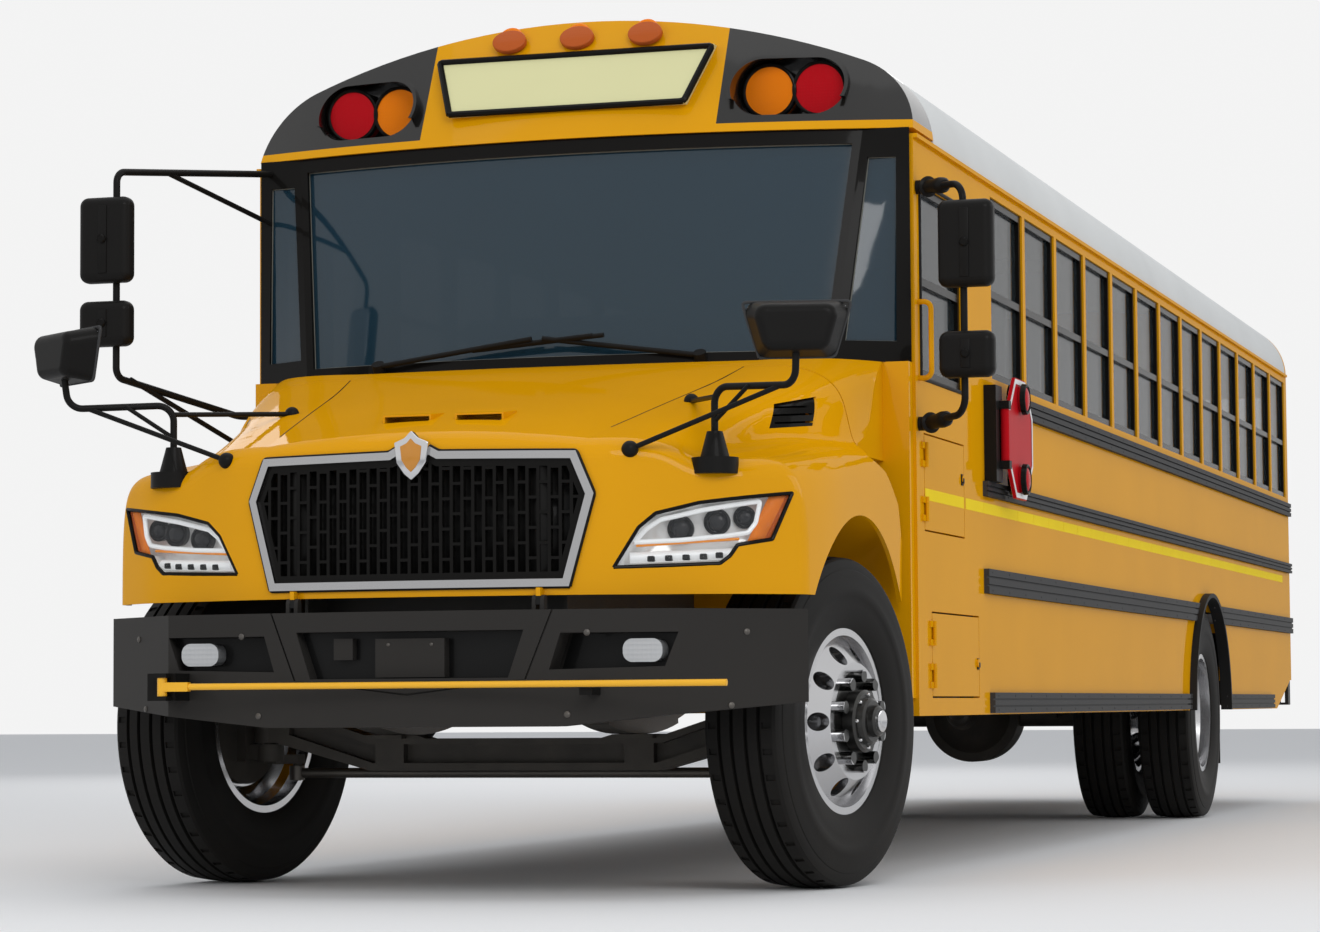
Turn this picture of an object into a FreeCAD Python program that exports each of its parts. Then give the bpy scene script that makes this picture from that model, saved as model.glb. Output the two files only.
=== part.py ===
import FreeCAD, Part
import math
import os
from FreeCAD import Vector

# School bus of the conventional kind, with its hood ahead of the windshield.
# Millimetres. X points to the bus's left, Y to its rear, Z up from the ground.
# Stations along Y are counted from the front axle, and the whole bus is moved
# by FRAME_SHIFT at the end, so that the origin is the middle of its footprint.

# Chassis
WHEELBASE = 7010.0
TYRE_RADIUS = 527.0
TYRE_WIDTH = 279.0
RIM_FLANGE_RADIUS = 303.0
RIM_WIDTH = 224.0
AXLE_HEIGHT = TYRE_RADIUS
FRONT_TRACK_HALF = 1010.0
KINGPIN_HALF = 880.0
STEER_AT_REST = -11.0
STEERING_ARM = 160.0
REAR_TRACK_HALF = 892.0
DUAL_SPACING = 325.0
RAIL_HALF = 432.0
RAIL_DEPTH = 254.0
RAIL_FLANGE = 80.0
RAIL_WEB = 10.0
FLOOR_BOTTOM = 1040.0
FLOOR_THICKNESS = 45.0
RUNNING_GAP = 0.3
MOVING_GAP = 6.0

# Body shell
BODY_HALF = 1200.0
BODY_FRONT = 640.0
BODY_REAR = 10250.0
SKIRT_BOTTOM = 540.0
SKIRT_THICKNESS = 22.0
WALL = 50.0
GUTTER = 2510.0
ROOF_PEAK = 2975.0
CROWN_RADIUS = 2800.0
ROOF_THICKNESS = 45.0
CAP_REAR = 950.0
CAP_SPLIT = 540.0

# Windows
WINDOW_COUNT = 13
WINDOW_PITCH = 640.0
WINDOW_PILLAR = 50.0
WINDOW_FIRST = 1875.0
WINDOW_SILL = 1780.0
WINDOW_TOP = 2460.0
SASH_BAR = 2100.0
SASH_WIDTH = 28.0
SASH_DEPTH = 36.0
GLASS = 6.0

# Windshield
COWL_TOP = 1730.0
SHIELD_CENTRE = 350.0
SHIELD_RAKE = 130.0
SHIELD_BOW = 130.0
PILLAR_BASE_X = 950.0
PILLAR_TOP_X = 1030.0
FRAME_DEPTH = 45.0

# Hood and grille
HOOD_NOSE = -930.0
HOOD_REAR = 330.0
HOOD_SIDE_REAR = 200.0
FENDER_HALF = 1170.0
FENDER_REAR = 530.0
HOOD_WALL = 14.0
HOOD_BOTTOM = 915.0
FRONT_ARCH_RADIUS = 655.0
REAR_ARCH_RADIUS = 600.0
ARCH_LIP = 35.0

# Doors
DOOR_FRONT = 745.0
DOOR_WIDTH = 850.0
DOOR_BOTTOM = 430.0
DOOR_TOP = 2360.0
DOOR_THICKNESS = 36.0
REAR_DOOR_HALF = 320.0
REAR_DOOR_TOP = 2370.0


def box(x0, x1, y0, y1, z0, z1):
    return Part.makeBox(x1 - x0, y1 - y0, z1 - z0, Vector(x0, y0, z0))


def face_of(points):
    return Part.Face(Part.makePolygon(points + [points[0]]))


def prism_x(points, x0, x1):
    """An outline of (y, z) points carried from x0 to x1."""
    return face_of([Vector(x0, y, z) for y, z in points]).extrude(Vector(x1 - x0, 0, 0))


def prism_y(points, y0, y1):
    """An outline of (x, z) points carried from y0 to y1."""
    return face_of([Vector(x, y0, z) for x, z in points]).extrude(Vector(0, y1 - y0, 0))


def prism_z(points, z0, z1):
    """An outline of (x, y) points carried from z0 to z1."""
    return face_of([Vector(x, y, z0) for x, y in points]).extrude(Vector(0, 0, z1 - z0))


def rod(start, end, radius):
    line = Vector(*end) - Vector(*start)
    return Part.makeCylinder(radius, line.Length, Vector(*start), line)


def mirrored(shape):
    return shape.mirror(Vector(0, 0, 0), Vector(1, 0, 0))


def fuse(shapes):
    joined = shapes[0].fuse(shapes[1:]) if len(shapes) > 1 else shapes[0]
    return joined.removeSplitter()


def both_sides(shape):
    return [shape, mirrored(shape)]


def group(shapes):
    return Part.makeCompound(shapes)


def bent_tube(points, radius, bend):
    """A round bar through the points, with an arc of the bend radius at each corner."""
    places = [Vector(*p) for p in points]
    edges = []
    start = places[0]
    for before, corner, after in zip(places, places[1:], places[2:]):
        back = (before - corner).normalize()
        ahead = (after - corner).normalize()
        half_turn = (math.pi - back.getAngle(ahead)) / 2
        reach = bend * math.tan(half_turn)
        leave = corner + back * reach
        join = corner + ahead * reach
        middle_way = (back + ahead).normalize()
        middle = corner + middle_way * (bend / math.cos(half_turn) - bend)
        edges.append(Part.LineSegment(start, leave).toShape())
        edges.append(Part.Arc(leave, middle, join).toShape())
        start = join
    edges.append(Part.LineSegment(start, places[-1]).toShape())
    profile = Part.Wire(Part.makeCircle(radius, places[0], places[1] - places[0]))
    return Part.Wire(edges).makePipeShell([profile], True, True)


def revolve_x(points, x, y=0.0, z=AXLE_HEIGHT):
    """An outline of (axial, radius) points turned about a line along X."""
    outline = face_of([Vector(x + axial, y, z + radius) for axial, radius in points])
    return outline.revolve(Vector(x, y, z), Vector(1, 0, 0), 360)


def corner_radius():
    """The roof's corner arc, tangent to the side wall and to the crown."""
    rise = ROOF_PEAK - GUTTER
    span = 2 * CROWN_RADIUS * rise - rise ** 2 - BODY_HALF ** 2
    return span / (2 * (CROWN_RADIUS - BODY_HALF))


def arch_outline(inset, base, y):
    """The body's cross section down to base, drawn in by inset, at station y."""
    corner = corner_radius()
    crown_centre = Vector(0, y, ROOF_PEAK - CROWN_RADIUS)
    corner_centre = Vector(BODY_HALF - corner, y, GUTTER)
    way = (corner_centre - crown_centre).normalize()
    tangent = crown_centre + way * (CROWN_RADIUS - inset)
    side = BODY_HALF - inset
    halfway = (way + Vector(1, 0, 0)).normalize()
    bulge = corner_centre + halfway * (corner - inset)
    top = Vector(0, y, ROOF_PEAK - inset)
    spring = Vector(side, y, GUTTER)

    def other(p):
        return Vector(-p.x, p.y, p.z)

    edges = [
        Part.LineSegment(Vector(-side, y, base), Vector(side, y, base)).toShape(),
        Part.Arc(spring, bulge, tangent).toShape(),
        Part.Arc(tangent, top, other(tangent)).toShape(),
        Part.Arc(other(tangent), other(bulge), other(spring)).toShape()]
    if base < GUTTER:
        edges.insert(1, Part.LineSegment(Vector(side, y, base), spring).toShape())
        edges.append(Part.LineSegment(other(spring), Vector(-side, y, base)).toShape())
    return Part.Wire(edges)


def arch_prism(inset, base, y0, y1):
    return Part.Face(arch_outline(inset, base, y0)).extrude(Vector(0, y1 - y0, 0))


def steered(shape, side):
    """A front wheel's piece, turned about its kingpin to the resting angle."""
    turned = shape.copy()
    turned.rotate(Vector(side * KINGPIN_HALF, 0, 0), Vector(0, 0, 1), STEER_AT_REST)
    return turned


# Hinges
HINGE_STANDOFF = 9.0
HINGE_RADIUS = 7.0
HINGE_PIN = 3.5
HINGE_HALF = 42.0
HINGE_MIDDLE = 20.0
STRAP_THICKNESS = 6.0


def hinge(place, leaf_way, inward, leaf_reach, post_reach):
    """Butt hinge with its pin at place, outside the faces it is fixed to.

    Returns the leaf's half, the post's half with the pin, and the room that both faces need.
    """
    across = leaf_way.cross(inward)
    matrix = FreeCAD.Matrix(leaf_way.x, inward.x, across.x, place[0],
                            leaf_way.y, inward.y, across.y, place[1],
                            leaf_way.z, inward.z, across.z, place[2], 0, 0, 0, 1)
    near = HINGE_STANDOFF - STRAP_THICKNESS
    deep = HINGE_STANDOFF + 2
    barrel = rod((0, 0, -HINGE_MIDDLE), (0, 0, HINGE_MIDDLE), HINGE_RADIUS)
    strap = box(2, leaf_reach, near, deep, -HINGE_MIDDLE, HINGE_MIDDLE)
    bore = rod((0, 0, -HINGE_HALF), (0, 0, HINGE_HALF), HINGE_PIN + RUNNING_GAP)
    leaf_half = fuse([barrel, strap]).cut(bore)
    post = [rod((0, 0, -HINGE_HALF), (0, 0, HINGE_HALF), HINGE_PIN)]
    for end in (-1, 1):
        z0, z1 = sorted((end * (HINGE_MIDDLE + RUNNING_GAP), end * HINGE_HALF))
        post.append(rod((0, 0, z0), (0, 0, z1), HINGE_RADIUS))
        post.append(box(-post_reach, -2, near, deep, z0, z1))
    room_half = HINGE_HALF + MOVING_GAP
    room = rod((0, 0, -room_half), (0, 0, room_half), HINGE_RADIUS + MOVING_GAP)
    made = []
    for shape in (leaf_half, fuse(post), room):
        shape.Placement = FreeCAD.Placement(matrix)
        made.append(shape)
    return made


def hung(leaf, hinges):
    """A leaf with its halves of the hinges."""
    return fuse([leaf.cut([h[2] for h in hinges])] + [h[0] for h in hinges])


def posted(wall, hinges):
    """A wall with its halves of the hinges."""
    return fuse([wall.cut([h[2] for h in hinges])] + [h[1] for h in hinges])


# Wheels
def tyre(x, y=0.0):
    half = TYRE_WIDTH / 2
    bead = RIM_WIDTH / 2 - 15
    heel = RIM_FLANGE_RADIUS + 1
    toe = RIM_FLANGE_RADIUS - 14
    return revolve_x([
        (-bead, toe), (-bead, heel), (-half * 0.93, TYRE_RADIUS * 0.66),
        (-half, TYRE_RADIUS * 0.78), (-half * 0.95, TYRE_RADIUS * 0.9),
        (-half * 0.83, TYRE_RADIUS - 12), (-half * 0.55, TYRE_RADIUS), (half * 0.55, TYRE_RADIUS),
        (half * 0.83, TYRE_RADIUS - 12), (half * 0.95, TYRE_RADIUS * 0.9),
        (half, TYRE_RADIUS * 0.78), (half * 0.93, TYRE_RADIUS * 0.66),
        (bead, heel), (bead, toe)], x, y)


RIM_SEAT = RIM_FLANGE_RADIUS - 15.5
RIM_DROP = RIM_FLANGE_RADIUS - 36
RIM_METAL = 11.0
DISC_METAL = 20.0
DISC_OUTSET = 150.0
HAND_HOLES = 10
HAND_HOLE_RADIUS = 29.0
HAND_HOLE_CIRCLE = 217.0
NUT_COUNT = 10
NUT_CIRCLE = 142.9
NUT_RADIUS = 20.0
NUT_LENGTH = 32.0
HUB_RADIUS = 98.0
DRUM_RADIUS = 208.0
SPINDLE_RADIUS = 45.0


def rim_ring(x, y, side):
    half = RIM_WIDTH / 2
    outline = [
        (-half, RIM_FLANGE_RADIUS), (-half + 10, RIM_FLANGE_RADIUS), (-half + 14, RIM_SEAT),
        (-half + 52, RIM_SEAT - 3), (-half + 74, RIM_DROP), (half - 90, RIM_DROP),
        (half - 60, RIM_SEAT - 3), (half - 14, RIM_SEAT), (half - 10, RIM_FLANGE_RADIUS),
        (half, RIM_FLANGE_RADIUS), (half, RIM_SEAT - RIM_METAL - 4),
        (half - 56, RIM_SEAT - RIM_METAL - 4), (half - 90, RIM_DROP - RIM_METAL),
        (-half + 74, RIM_DROP - RIM_METAL), (-half + 50, RIM_SEAT - RIM_METAL - 4),
        (-half, RIM_SEAT - RIM_METAL - 4)]
    return revolve_x([(side * a, r) for a, r in outline], x, y)


def wheel_disc(x, y, side):
    """The dished disc with its round hand holes, from the rim to the hub's face."""
    rim_edge = RIM_WIDTH / 2 - 60
    outline = [
        (rim_edge, RIM_SEAT - 8), (rim_edge + 20, RIM_SEAT - 10),
        (DISC_OUTSET, 186.0), (DISC_OUTSET, 60.0),
        (DISC_OUTSET - DISC_METAL, 60.0), (DISC_OUTSET - DISC_METAL, 178.0),
        (rim_edge - 14, RIM_SEAT - 24)]
    disc = revolve_x([(side * a, r) for a, r in outline], x, y)
    holes = []
    for k in range(HAND_HOLES):
        turn = 2 * math.pi * (k + 0.5) / HAND_HOLES
        dy = HAND_HOLE_CIRCLE * math.sin(turn)
        dz = HAND_HOLE_CIRCLE * math.cos(turn)
        inner = x + side * (rim_edge - 30)
        outer = x + side * (DISC_OUTSET + 10)
        holes.append(rod((inner, y + dy, AXLE_HEIGHT + dz), (outer, y + dy, AXLE_HEIGHT + dz),
                         HAND_HOLE_RADIUS))
    return disc.cut(holes)


def wheel_nuts(x, y, side):
    nuts = []
    for k in range(NUT_COUNT):
        turn = 2 * math.pi * k / NUT_COUNT
        dy = NUT_CIRCLE * math.sin(turn)
        dz = NUT_CIRCLE * math.cos(turn)
        start = (x - side * 4, y + dy, AXLE_HEIGHT + dz)
        end = (x + side * NUT_LENGTH, y + dy, AXLE_HEIGHT + dz)
        nuts.append(rod(start, end, NUT_RADIUS))
    return nuts


def hub(x, y, side, reach, bore_from, drum_from):
    """Brake drum and hub, bored for the spindle from the inboard side."""
    outline = [
        (drum_from, 0), (drum_from, DRUM_RADIUS), (DISC_OUTSET - DISC_METAL, DRUM_RADIUS - 30),
        (DISC_OUTSET - DISC_METAL + 2, HUB_RADIUS), (DISC_OUTSET + 34, HUB_RADIUS),
        (DISC_OUTSET + 40, HUB_RADIUS - 8), (DISC_OUTSET + 40, HUB_RADIUS - 22),
        (DISC_OUTSET + reach - 30, HUB_RADIUS - 26), (DISC_OUTSET + reach - 24, HUB_RADIUS - 34),
        (DISC_OUTSET + reach - 24, HUB_RADIUS - 48), (DISC_OUTSET + reach - 6, HUB_RADIUS - 50),
        (DISC_OUTSET + reach, HUB_RADIUS - 58), (DISC_OUTSET + reach, 0)]
    solid = revolve_x([(side * a, r) for a, r in outline], x, y)
    bore = rod((x + side * (drum_from - 10), y, AXLE_HEIGHT), (x + side * bore_from, y, AXLE_HEIGHT),
               SPINDLE_RADIUS + RUNNING_GAP)
    return solid.cut(bore)


FRONT_DRUM_FROM = -20.0
FRONT_BORE_END = 110.0
HUB_REACH = 86.0


def front_wheel(side):
    x = side * FRONT_TRACK_HALF
    pieces = [rim_ring(x, 0, side), wheel_disc(x, 0, side),
              hub(x, 0, side, HUB_REACH, FRONT_BORE_END, FRONT_DRUM_FROM)]
    pieces += wheel_nuts(x + side * DISC_OUTSET, 0, side)
    return steered(fuse(pieces), side)


REAR_DRUM_FROM = -60.0
REAR_HUB_REACH = 60.0


def rear_wheel(side):
    """Two rims back to back on one hub."""
    outer = side * (REAR_TRACK_HALF + DUAL_SPACING / 2)
    inner = side * (REAR_TRACK_HALF - DUAL_SPACING / 2)
    middle = side * REAR_TRACK_HALF
    face = DUAL_SPACING / 2 - DISC_OUTSET
    pieces = [rim_ring(outer, WHEELBASE, -side), wheel_disc(outer, WHEELBASE, -side),
              rim_ring(inner, WHEELBASE, side), wheel_disc(inner, WHEELBASE, side)]
    outline = [(-DUAL_SPACING / 2 + REAR_DRUM_FROM, 0), (-DUAL_SPACING / 2 + REAR_DRUM_FROM, DRUM_RADIUS),
               (-face - 40, DRUM_RADIUS - 20), (-face - 8, 170), (face + 8, 170),
               (face + 8, HUB_RADIUS), (face + 110, HUB_RADIUS - 6),
               (face + 110 + REAR_HUB_REACH, HUB_RADIUS - 30), (face + 110 + REAR_HUB_REACH, 0)]
    core = revolve_x([(side * a, r) for a, r in outline], middle, WHEELBASE)
    bore = rod((inner + side * (REAR_DRUM_FROM - 10), WHEELBASE, AXLE_HEIGHT),
               (middle, WHEELBASE, AXLE_HEIGHT), SPINDLE_RADIUS + RUNNING_GAP)
    pieces.append(core.cut(bore))
    pieces += wheel_nuts(middle + side * (face + 20), WHEELBASE, side)
    return fuse(pieces)


# Front axle, knuckles and tie rod
AXLE_EYE_LOW = AXLE_HEIGHT - 62
AXLE_EYE_HIGH = AXLE_HEIGHT + 62
AXLE_BEAM_DROP = 100.0
SPRING_HALF_GAUGE = 432.0
KINGPIN_RADIUS = 21.0
TIE_ROD_HEIGHT = AXLE_HEIGHT - 130
TIE_PIN_RADIUS = 14.0
TIE_END_RADIUS = 26.0


def front_axle():
    """Forged I-beam, dropped in the middle, with an eye for each kingpin."""
    low = AXLE_HEIGHT - AXLE_BEAM_DROP
    half = [(0, low - 55), (SPRING_HALF_GAUGE + 70, low - 55), (KINGPIN_HALF - 40, AXLE_EYE_LOW),
            (KINGPIN_HALF, AXLE_EYE_LOW), (KINGPIN_HALF, AXLE_EYE_HIGH - 4),
            (KINGPIN_HALF - 60, AXLE_EYE_HIGH - 4), (SPRING_HALF_GAUGE + 90, low + 62),
            (SPRING_HALF_GAUGE - 90, low + 62), (SPRING_HALF_GAUGE - 130, low + 50), (0, low + 50)]
    outline = half + [(-x, z) for x, z in reversed(half[1:-1])]
    beam = prism_y(outline, -50, 50)
    web_half = [(0, low - 30), (SPRING_HALF_GAUGE + 60, low - 30), (KINGPIN_HALF - 90, AXLE_EYE_LOW + 26),
                (KINGPIN_HALF - 90, AXLE_EYE_HIGH - 34), (SPRING_HALF_GAUGE + 80, low + 34),
                (0, low + 26)]
    web = web_half + [(-x, z) for x, z in reversed(web_half[1:-1])]
    beam = beam.cut([prism_y(web, -60, -12), prism_y(web, 12, 60)])
    pads = []
    eyes = []
    bores = []
    for side in (-1, 1):
        x = side * SPRING_HALF_GAUGE
        pads.append(box(x - 60, x + 60, -95, 95, low + 50, low + 62))
        pads.append(box(x - 50, x + 50, -50, 50, low - 55, low + 55))
        eyes.append(rod((side * KINGPIN_HALF, 0, AXLE_EYE_LOW), (side * KINGPIN_HALF, 0, AXLE_EYE_HIGH), 52))
        bores.append(rod((side * KINGPIN_HALF, 0, AXLE_EYE_LOW - 40),
                         (side * KINGPIN_HALF, 0, AXLE_EYE_HIGH + 40), KINGPIN_RADIUS + RUNNING_GAP))
    return fuse([beam] + pads + eyes).cut(bores)


def knuckle(side):
    """Yoke over the axle's eye, with its kingpin, spindle, brake plate and steering arm."""
    x = side * KINGPIN_HALF
    drum_face = FRONT_TRACK_HALF + FRONT_DRUM_FROM
    upper = rod((x, 0, AXLE_EYE_HIGH + MOVING_GAP), (x, 0, AXLE_EYE_HIGH + 62), 46)
    lower = rod((x, 0, AXLE_EYE_LOW - 62), (x, 0, AXLE_EYE_LOW - MOVING_GAP), 46)
    pin = rod((x, 0, AXLE_EYE_LOW - 50), (x, 0, AXLE_EYE_HIGH + 50), KINGPIN_RADIUS)
    near = side * (KINGPIN_HALF + 60)
    far = side * (drum_face - 14)
    low_x, high_x = sorted((near, far))
    back = box(low_x, high_x, -60, 60, AXLE_EYE_LOW - 62, AXLE_EYE_HIGH + 62)
    low_x, high_x = sorted((x, far))
    lugs = [box(low_x, high_x, -40, 40, AXLE_EYE_HIGH + MOVING_GAP, AXLE_EYE_HIGH + 56),
            box(low_x, high_x, -40, 40, AXLE_EYE_LOW - 56, AXLE_EYE_LOW - MOVING_GAP)]
    plate = rod((side * (drum_face - 16), 0, AXLE_HEIGHT), (side * (drum_face - MOVING_GAP), 0, AXLE_HEIGHT),
                DRUM_RADIUS - 8)
    spindle = rod((side * (drum_face - 20), 0, AXLE_HEIGHT),
                  (side * (FRONT_TRACK_HALF + FRONT_BORE_END - 6), 0, AXLE_HEIGHT), SPINDLE_RADIUS)
    arm = prism_z([(x - 24, 0), (x + 24, 0), (x + 16, STEERING_ARM), (x - 16, STEERING_ARM)],
                  TIE_ROD_HEIGHT - 4, TIE_ROD_HEIGHT + 26)
    arm_end = rod((x, STEERING_ARM, TIE_ROD_HEIGHT - 4),
                  (x, STEERING_ARM, TIE_ROD_HEIGHT + 26), TIE_END_RADIUS)
    stud = rod((x, STEERING_ARM, TIE_ROD_HEIGHT - 62), (x, STEERING_ARM, TIE_ROD_HEIGHT), TIE_PIN_RADIUS)
    can_x = x - side * 60
    can = rod((can_x, -70, AXLE_EYE_HIGH + 96), (can_x, -190, AXLE_EYE_HIGH + 96), 62)
    can_arm = box(min(can_x, x + side * 20), max(can_x, x + side * 20), -90, 20,
                  AXLE_EYE_HIGH + 40, AXLE_EYE_HIGH + 80)
    return steered(fuse([upper, lower, pin, back, plate, spindle, arm, arm_end, stud, can, can_arm]
                        + lugs), side)


def tie_pin(side):
    """Where a steering arm's stud stands in the resting pose."""
    turn = math.radians(STEER_AT_REST)
    return (side * KINGPIN_HALF - STEERING_ARM * math.sin(turn), STEERING_ARM * math.cos(turn))


OPEN_PIN_CLEARANCE = 1.0


def tie_rod():
    """Cross tube between the two steering arms, with a ball socket at each end."""
    (left_x, y), (right_x, _) = tie_pin(1), tie_pin(-1)
    z = TIE_ROD_HEIGHT - 36
    tube = rod((right_x + TIE_END_RADIUS - 4, y, z), (left_x - TIE_END_RADIUS + 4, y, z), 17)
    ends = [rod((x, y, z - 24), (x, y, z + 24), TIE_END_RADIUS) for x in (left_x, right_x)]
    bores = [rod((left_x, y, z - 30), (left_x, y, z + 30), TIE_PIN_RADIUS + RUNNING_GAP),
             rod((right_x, y, z - 30), (right_x, y, z + 30), TIE_PIN_RADIUS + OPEN_PIN_CLEARANCE)]
    return fuse([tube] + ends).cut(bores)


# Springs and rear axle
LEAF = 15.0
LEAF_WIDTH = 90.0


def leaf(y, seat, half_length, rise, number, x):
    """One leaf of a pack, an arc through its seat, number thicknesses down from the main leaf."""
    radius = (half_length ** 2 + rise ** 2) / (2 * rise)
    centre = seat + radius
    low = radius + number * LEAF
    high = low - LEAF

    def at(r, reach):
        angle = math.asin(reach / radius)
        return Vector(x - LEAF_WIDTH / 2, y + r * math.sin(angle), centre - r * math.cos(angle))

    reach = half_length * (1 - 0.16 * number)
    outline = Part.Wire([
        Part.Arc(at(low, -reach), at(low, 0), at(low, reach)).toShape(),
        Part.LineSegment(at(low, reach), at(high, reach)).toShape(),
        Part.Arc(at(high, reach), at(high, 0), at(high, -reach)).toShape(),
        Part.LineSegment(at(high, -reach), at(low, -reach)).toShape()])
    return Part.Face(outline).extrude(Vector(LEAF_WIDTH, 0, 0))


FRONT_SPRING_HALF = 700.0
FRONT_SPRING_RISE = 120.0
REAR_SPRING_HALF = 760.0
REAR_SPRING_RISE = 90.0
LEAVES = 4


def spring_pack(x, y, seat, half_length, rise):
    """Leaves, two eyes and the hangers that carry them under the frame rail."""
    main_seat = seat + RUNNING_GAP + (LEAVES - 1) * LEAF
    pieces = [leaf(y, main_seat, half_length, rise, number, x) for number in range(LEAVES)]
    eye_height = main_seat + rise + 18
    half_width = LEAF_WIDTH / 2
    for end in (-1, 1):
        eye_y = y + end * (half_length + 12)
        pieces.append(rod((x - half_width, eye_y, eye_height), (x + half_width, eye_y, eye_height), 32))
        top = FLOOR_BOTTOM - RAIL_DEPTH - RUNNING_GAP
        pieces.append(box(x - half_width - 12, x + half_width + 12, eye_y - 70, eye_y + 70, top - 12, top))
        for cheek in (-1, 1):
            cheek_x = x + cheek * (half_width + 6)
            pieces.append(prism_x([(eye_y - 42, eye_height - 30), (eye_y + 42, eye_height - 30),
                                   (eye_y + 70, top), (eye_y - 70, top)], cheek_x - 6, cheek_x + 6))
    return fuse(pieces)


def leaf_springs():
    packs = []
    front_seat = AXLE_HEIGHT - AXLE_BEAM_DROP + 62
    rear_seat = AXLE_HEIGHT + 70
    for side in (-1, 1):
        x = side * (RAIL_HALF - RAIL_FLANGE / 2)
        packs.append(spring_pack(x, 0, front_seat, FRONT_SPRING_HALF, FRONT_SPRING_RISE))
        packs.append(spring_pack(x, WHEELBASE, rear_seat, REAR_SPRING_HALF, REAR_SPRING_RISE))
    return group(packs)


DIFFERENTIAL_RADIUS = 245.0
DIFFERENTIAL_NOSE = 310.0


def rear_axle():
    """Banjo housing with its differential, spring seats and a spindle for each hub."""
    inner_face = REAR_TRACK_HALF - DUAL_SPACING / 2 + REAR_DRUM_FROM
    tube = rod((-inner_face + 20, WHEELBASE, AXLE_HEIGHT), (inner_face - 20, WHEELBASE, AXLE_HEIGHT), 66)
    spindles = rod((-REAR_TRACK_HALF + 10, WHEELBASE, AXLE_HEIGHT),
                   (REAR_TRACK_HALF - 10, WHEELBASE, AXLE_HEIGHT), SPINDLE_RADIUS)
    banjo = rod((0, WHEELBASE - 90, AXLE_HEIGHT), (0, WHEELBASE + 90, AXLE_HEIGHT), DIFFERENTIAL_RADIUS)
    bowl = Part.makeSphere(DIFFERENTIAL_RADIUS - 15, Vector(0, WHEELBASE + 60, AXLE_HEIGHT))
    nose = Part.makeCone(DIFFERENTIAL_RADIUS - 40, 80, DIFFERENTIAL_NOSE - 80,
                         Vector(0, WHEELBASE - 80, AXLE_HEIGHT), Vector(0, -1, 0))
    plates = [rod((side * (inner_face - 26), WHEELBASE, AXLE_HEIGHT),
                  (side * (inner_face - MOVING_GAP), WHEELBASE, AXLE_HEIGHT), DRUM_RADIUS - 8)
              for side in (-1, 1)]
    x = RAIL_HALF - RAIL_FLANGE / 2
    seats = [box(side * x - 55, side * x + 55, WHEELBASE - 110, WHEELBASE + 110,
                 AXLE_HEIGHT - 20, AXLE_HEIGHT + 70) for side in (-1, 1)]
    return fuse([tube, spindles, banjo, bowl, nose] + plates + seats)


# Frame, engine and what hangs from the frame
RAIL_FRONT = -760.0
RAIL_REAR = 10060.0
CROSS_STATIONS = (-560.0, 1250.0, 3000.0, 4700.0, 6100.0, 7900.0, 9950.0)


def frame_rails():
    top = FLOOR_BOTTOM
    low = top - RAIL_DEPTH
    outer = box(-RAIL_HALF, RAIL_HALF, RAIL_FRONT, RAIL_REAR, low, top)
    inner_half = RAIL_HALF - RAIL_WEB
    hollow = box(-inner_half, inner_half, RAIL_FRONT - 1, RAIL_REAR + 1, low + RAIL_WEB, top - RAIL_WEB)
    middle_half = RAIL_HALF - RAIL_FLANGE
    middle = box(-middle_half, middle_half, RAIL_FRONT - 1, RAIL_REAR + 1, low - 1, top + 1)
    pieces = [outer.cut([hollow, middle])]
    for y in CROSS_STATIONS:
        member = box(-inner_half - 1, inner_half + 1, y - 45, y + 45, low + 30, top - 30)
        web = box(-middle_half, middle_half, y - 35, y + 60, low + 40, top - 40)
        pieces.append(member.cut(web))
    return fuse(pieces)


ENGINE_HALF = 330.0
ENGINE_FRONT = -400.0
ENGINE_REAR = 480.0
ENGINE_LOW = 660.0
ENGINE_HIGH = 1340.0


def engine():
    """One plain block at the engine's place, on four feet that stand on the rails."""
    block = box(-ENGINE_HALF, ENGINE_HALF, ENGINE_FRONT, ENGINE_REAR, ENGINE_LOW, ENGINE_HIGH)
    rail_top = FLOOR_BOTTOM
    feet = []
    for side in (-1, 1):
        for y in (ENGINE_FRONT + 80, ENGINE_REAR - 120):
            x0, x1 = sorted((side * (ENGINE_HALF - 5), side * RAIL_HALF))
            feet.append(box(x0, x1, y - 40, y + 40, rail_top, rail_top + 30))
    return fuse([block] + feet)


GEARBOX_REAR = 1180.0
SHAFT_RADIUS = 50.0


def driveshaft():
    """Gearbox behind the engine and the shaft back to the axle, on its centre bearings."""
    z0 = FLOOR_BOTTOM - RAIL_DEPTH - 50
    start_y = ENGINE_REAR + RUNNING_GAP
    gearbox = Part.makeCone(ENGINE_HALF * 0.6, 140, GEARBOX_REAR - start_y,
                            Vector(0, start_y, z0), Vector(0, 1, 0))
    bearing_back = 45 + 15 + RUNNING_GAP
    joint_radius = SHAFT_RADIUS + 18
    nose_y = WHEELBASE - DIFFERENTIAL_NOSE - RUNNING_GAP
    joint = (0, nose_y - joint_radius, AXLE_HEIGHT)
    bearings = [(0, CROSS_STATIONS[number] - bearing_back, z0) for number in (2, 3, 4)]
    line = [(0, GEARBOX_REAR - 5, z0)] + bearings + [joint]
    pieces = [gearbox, Part.makeSphere(joint_radius - 2, Vector(*joint)),
              rod(joint, (0, nose_y, AXLE_HEIGHT), 44)]
    for start, end in zip(line, line[1:]):
        pieces.append(rod(start, end, SHAFT_RADIUS))
    for place in bearings:
        pieces.append(Part.makeSphere(joint_radius, Vector(*place)))
        pieces.append(box(-60, 60, place[1] - 15, place[1] + 15, z0 - 10, FLOOR_BOTTOM - 40))
    return fuse(pieces)


TANK_FRONT = 2700.0
TANK_LENGTH = 1500.0


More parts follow.
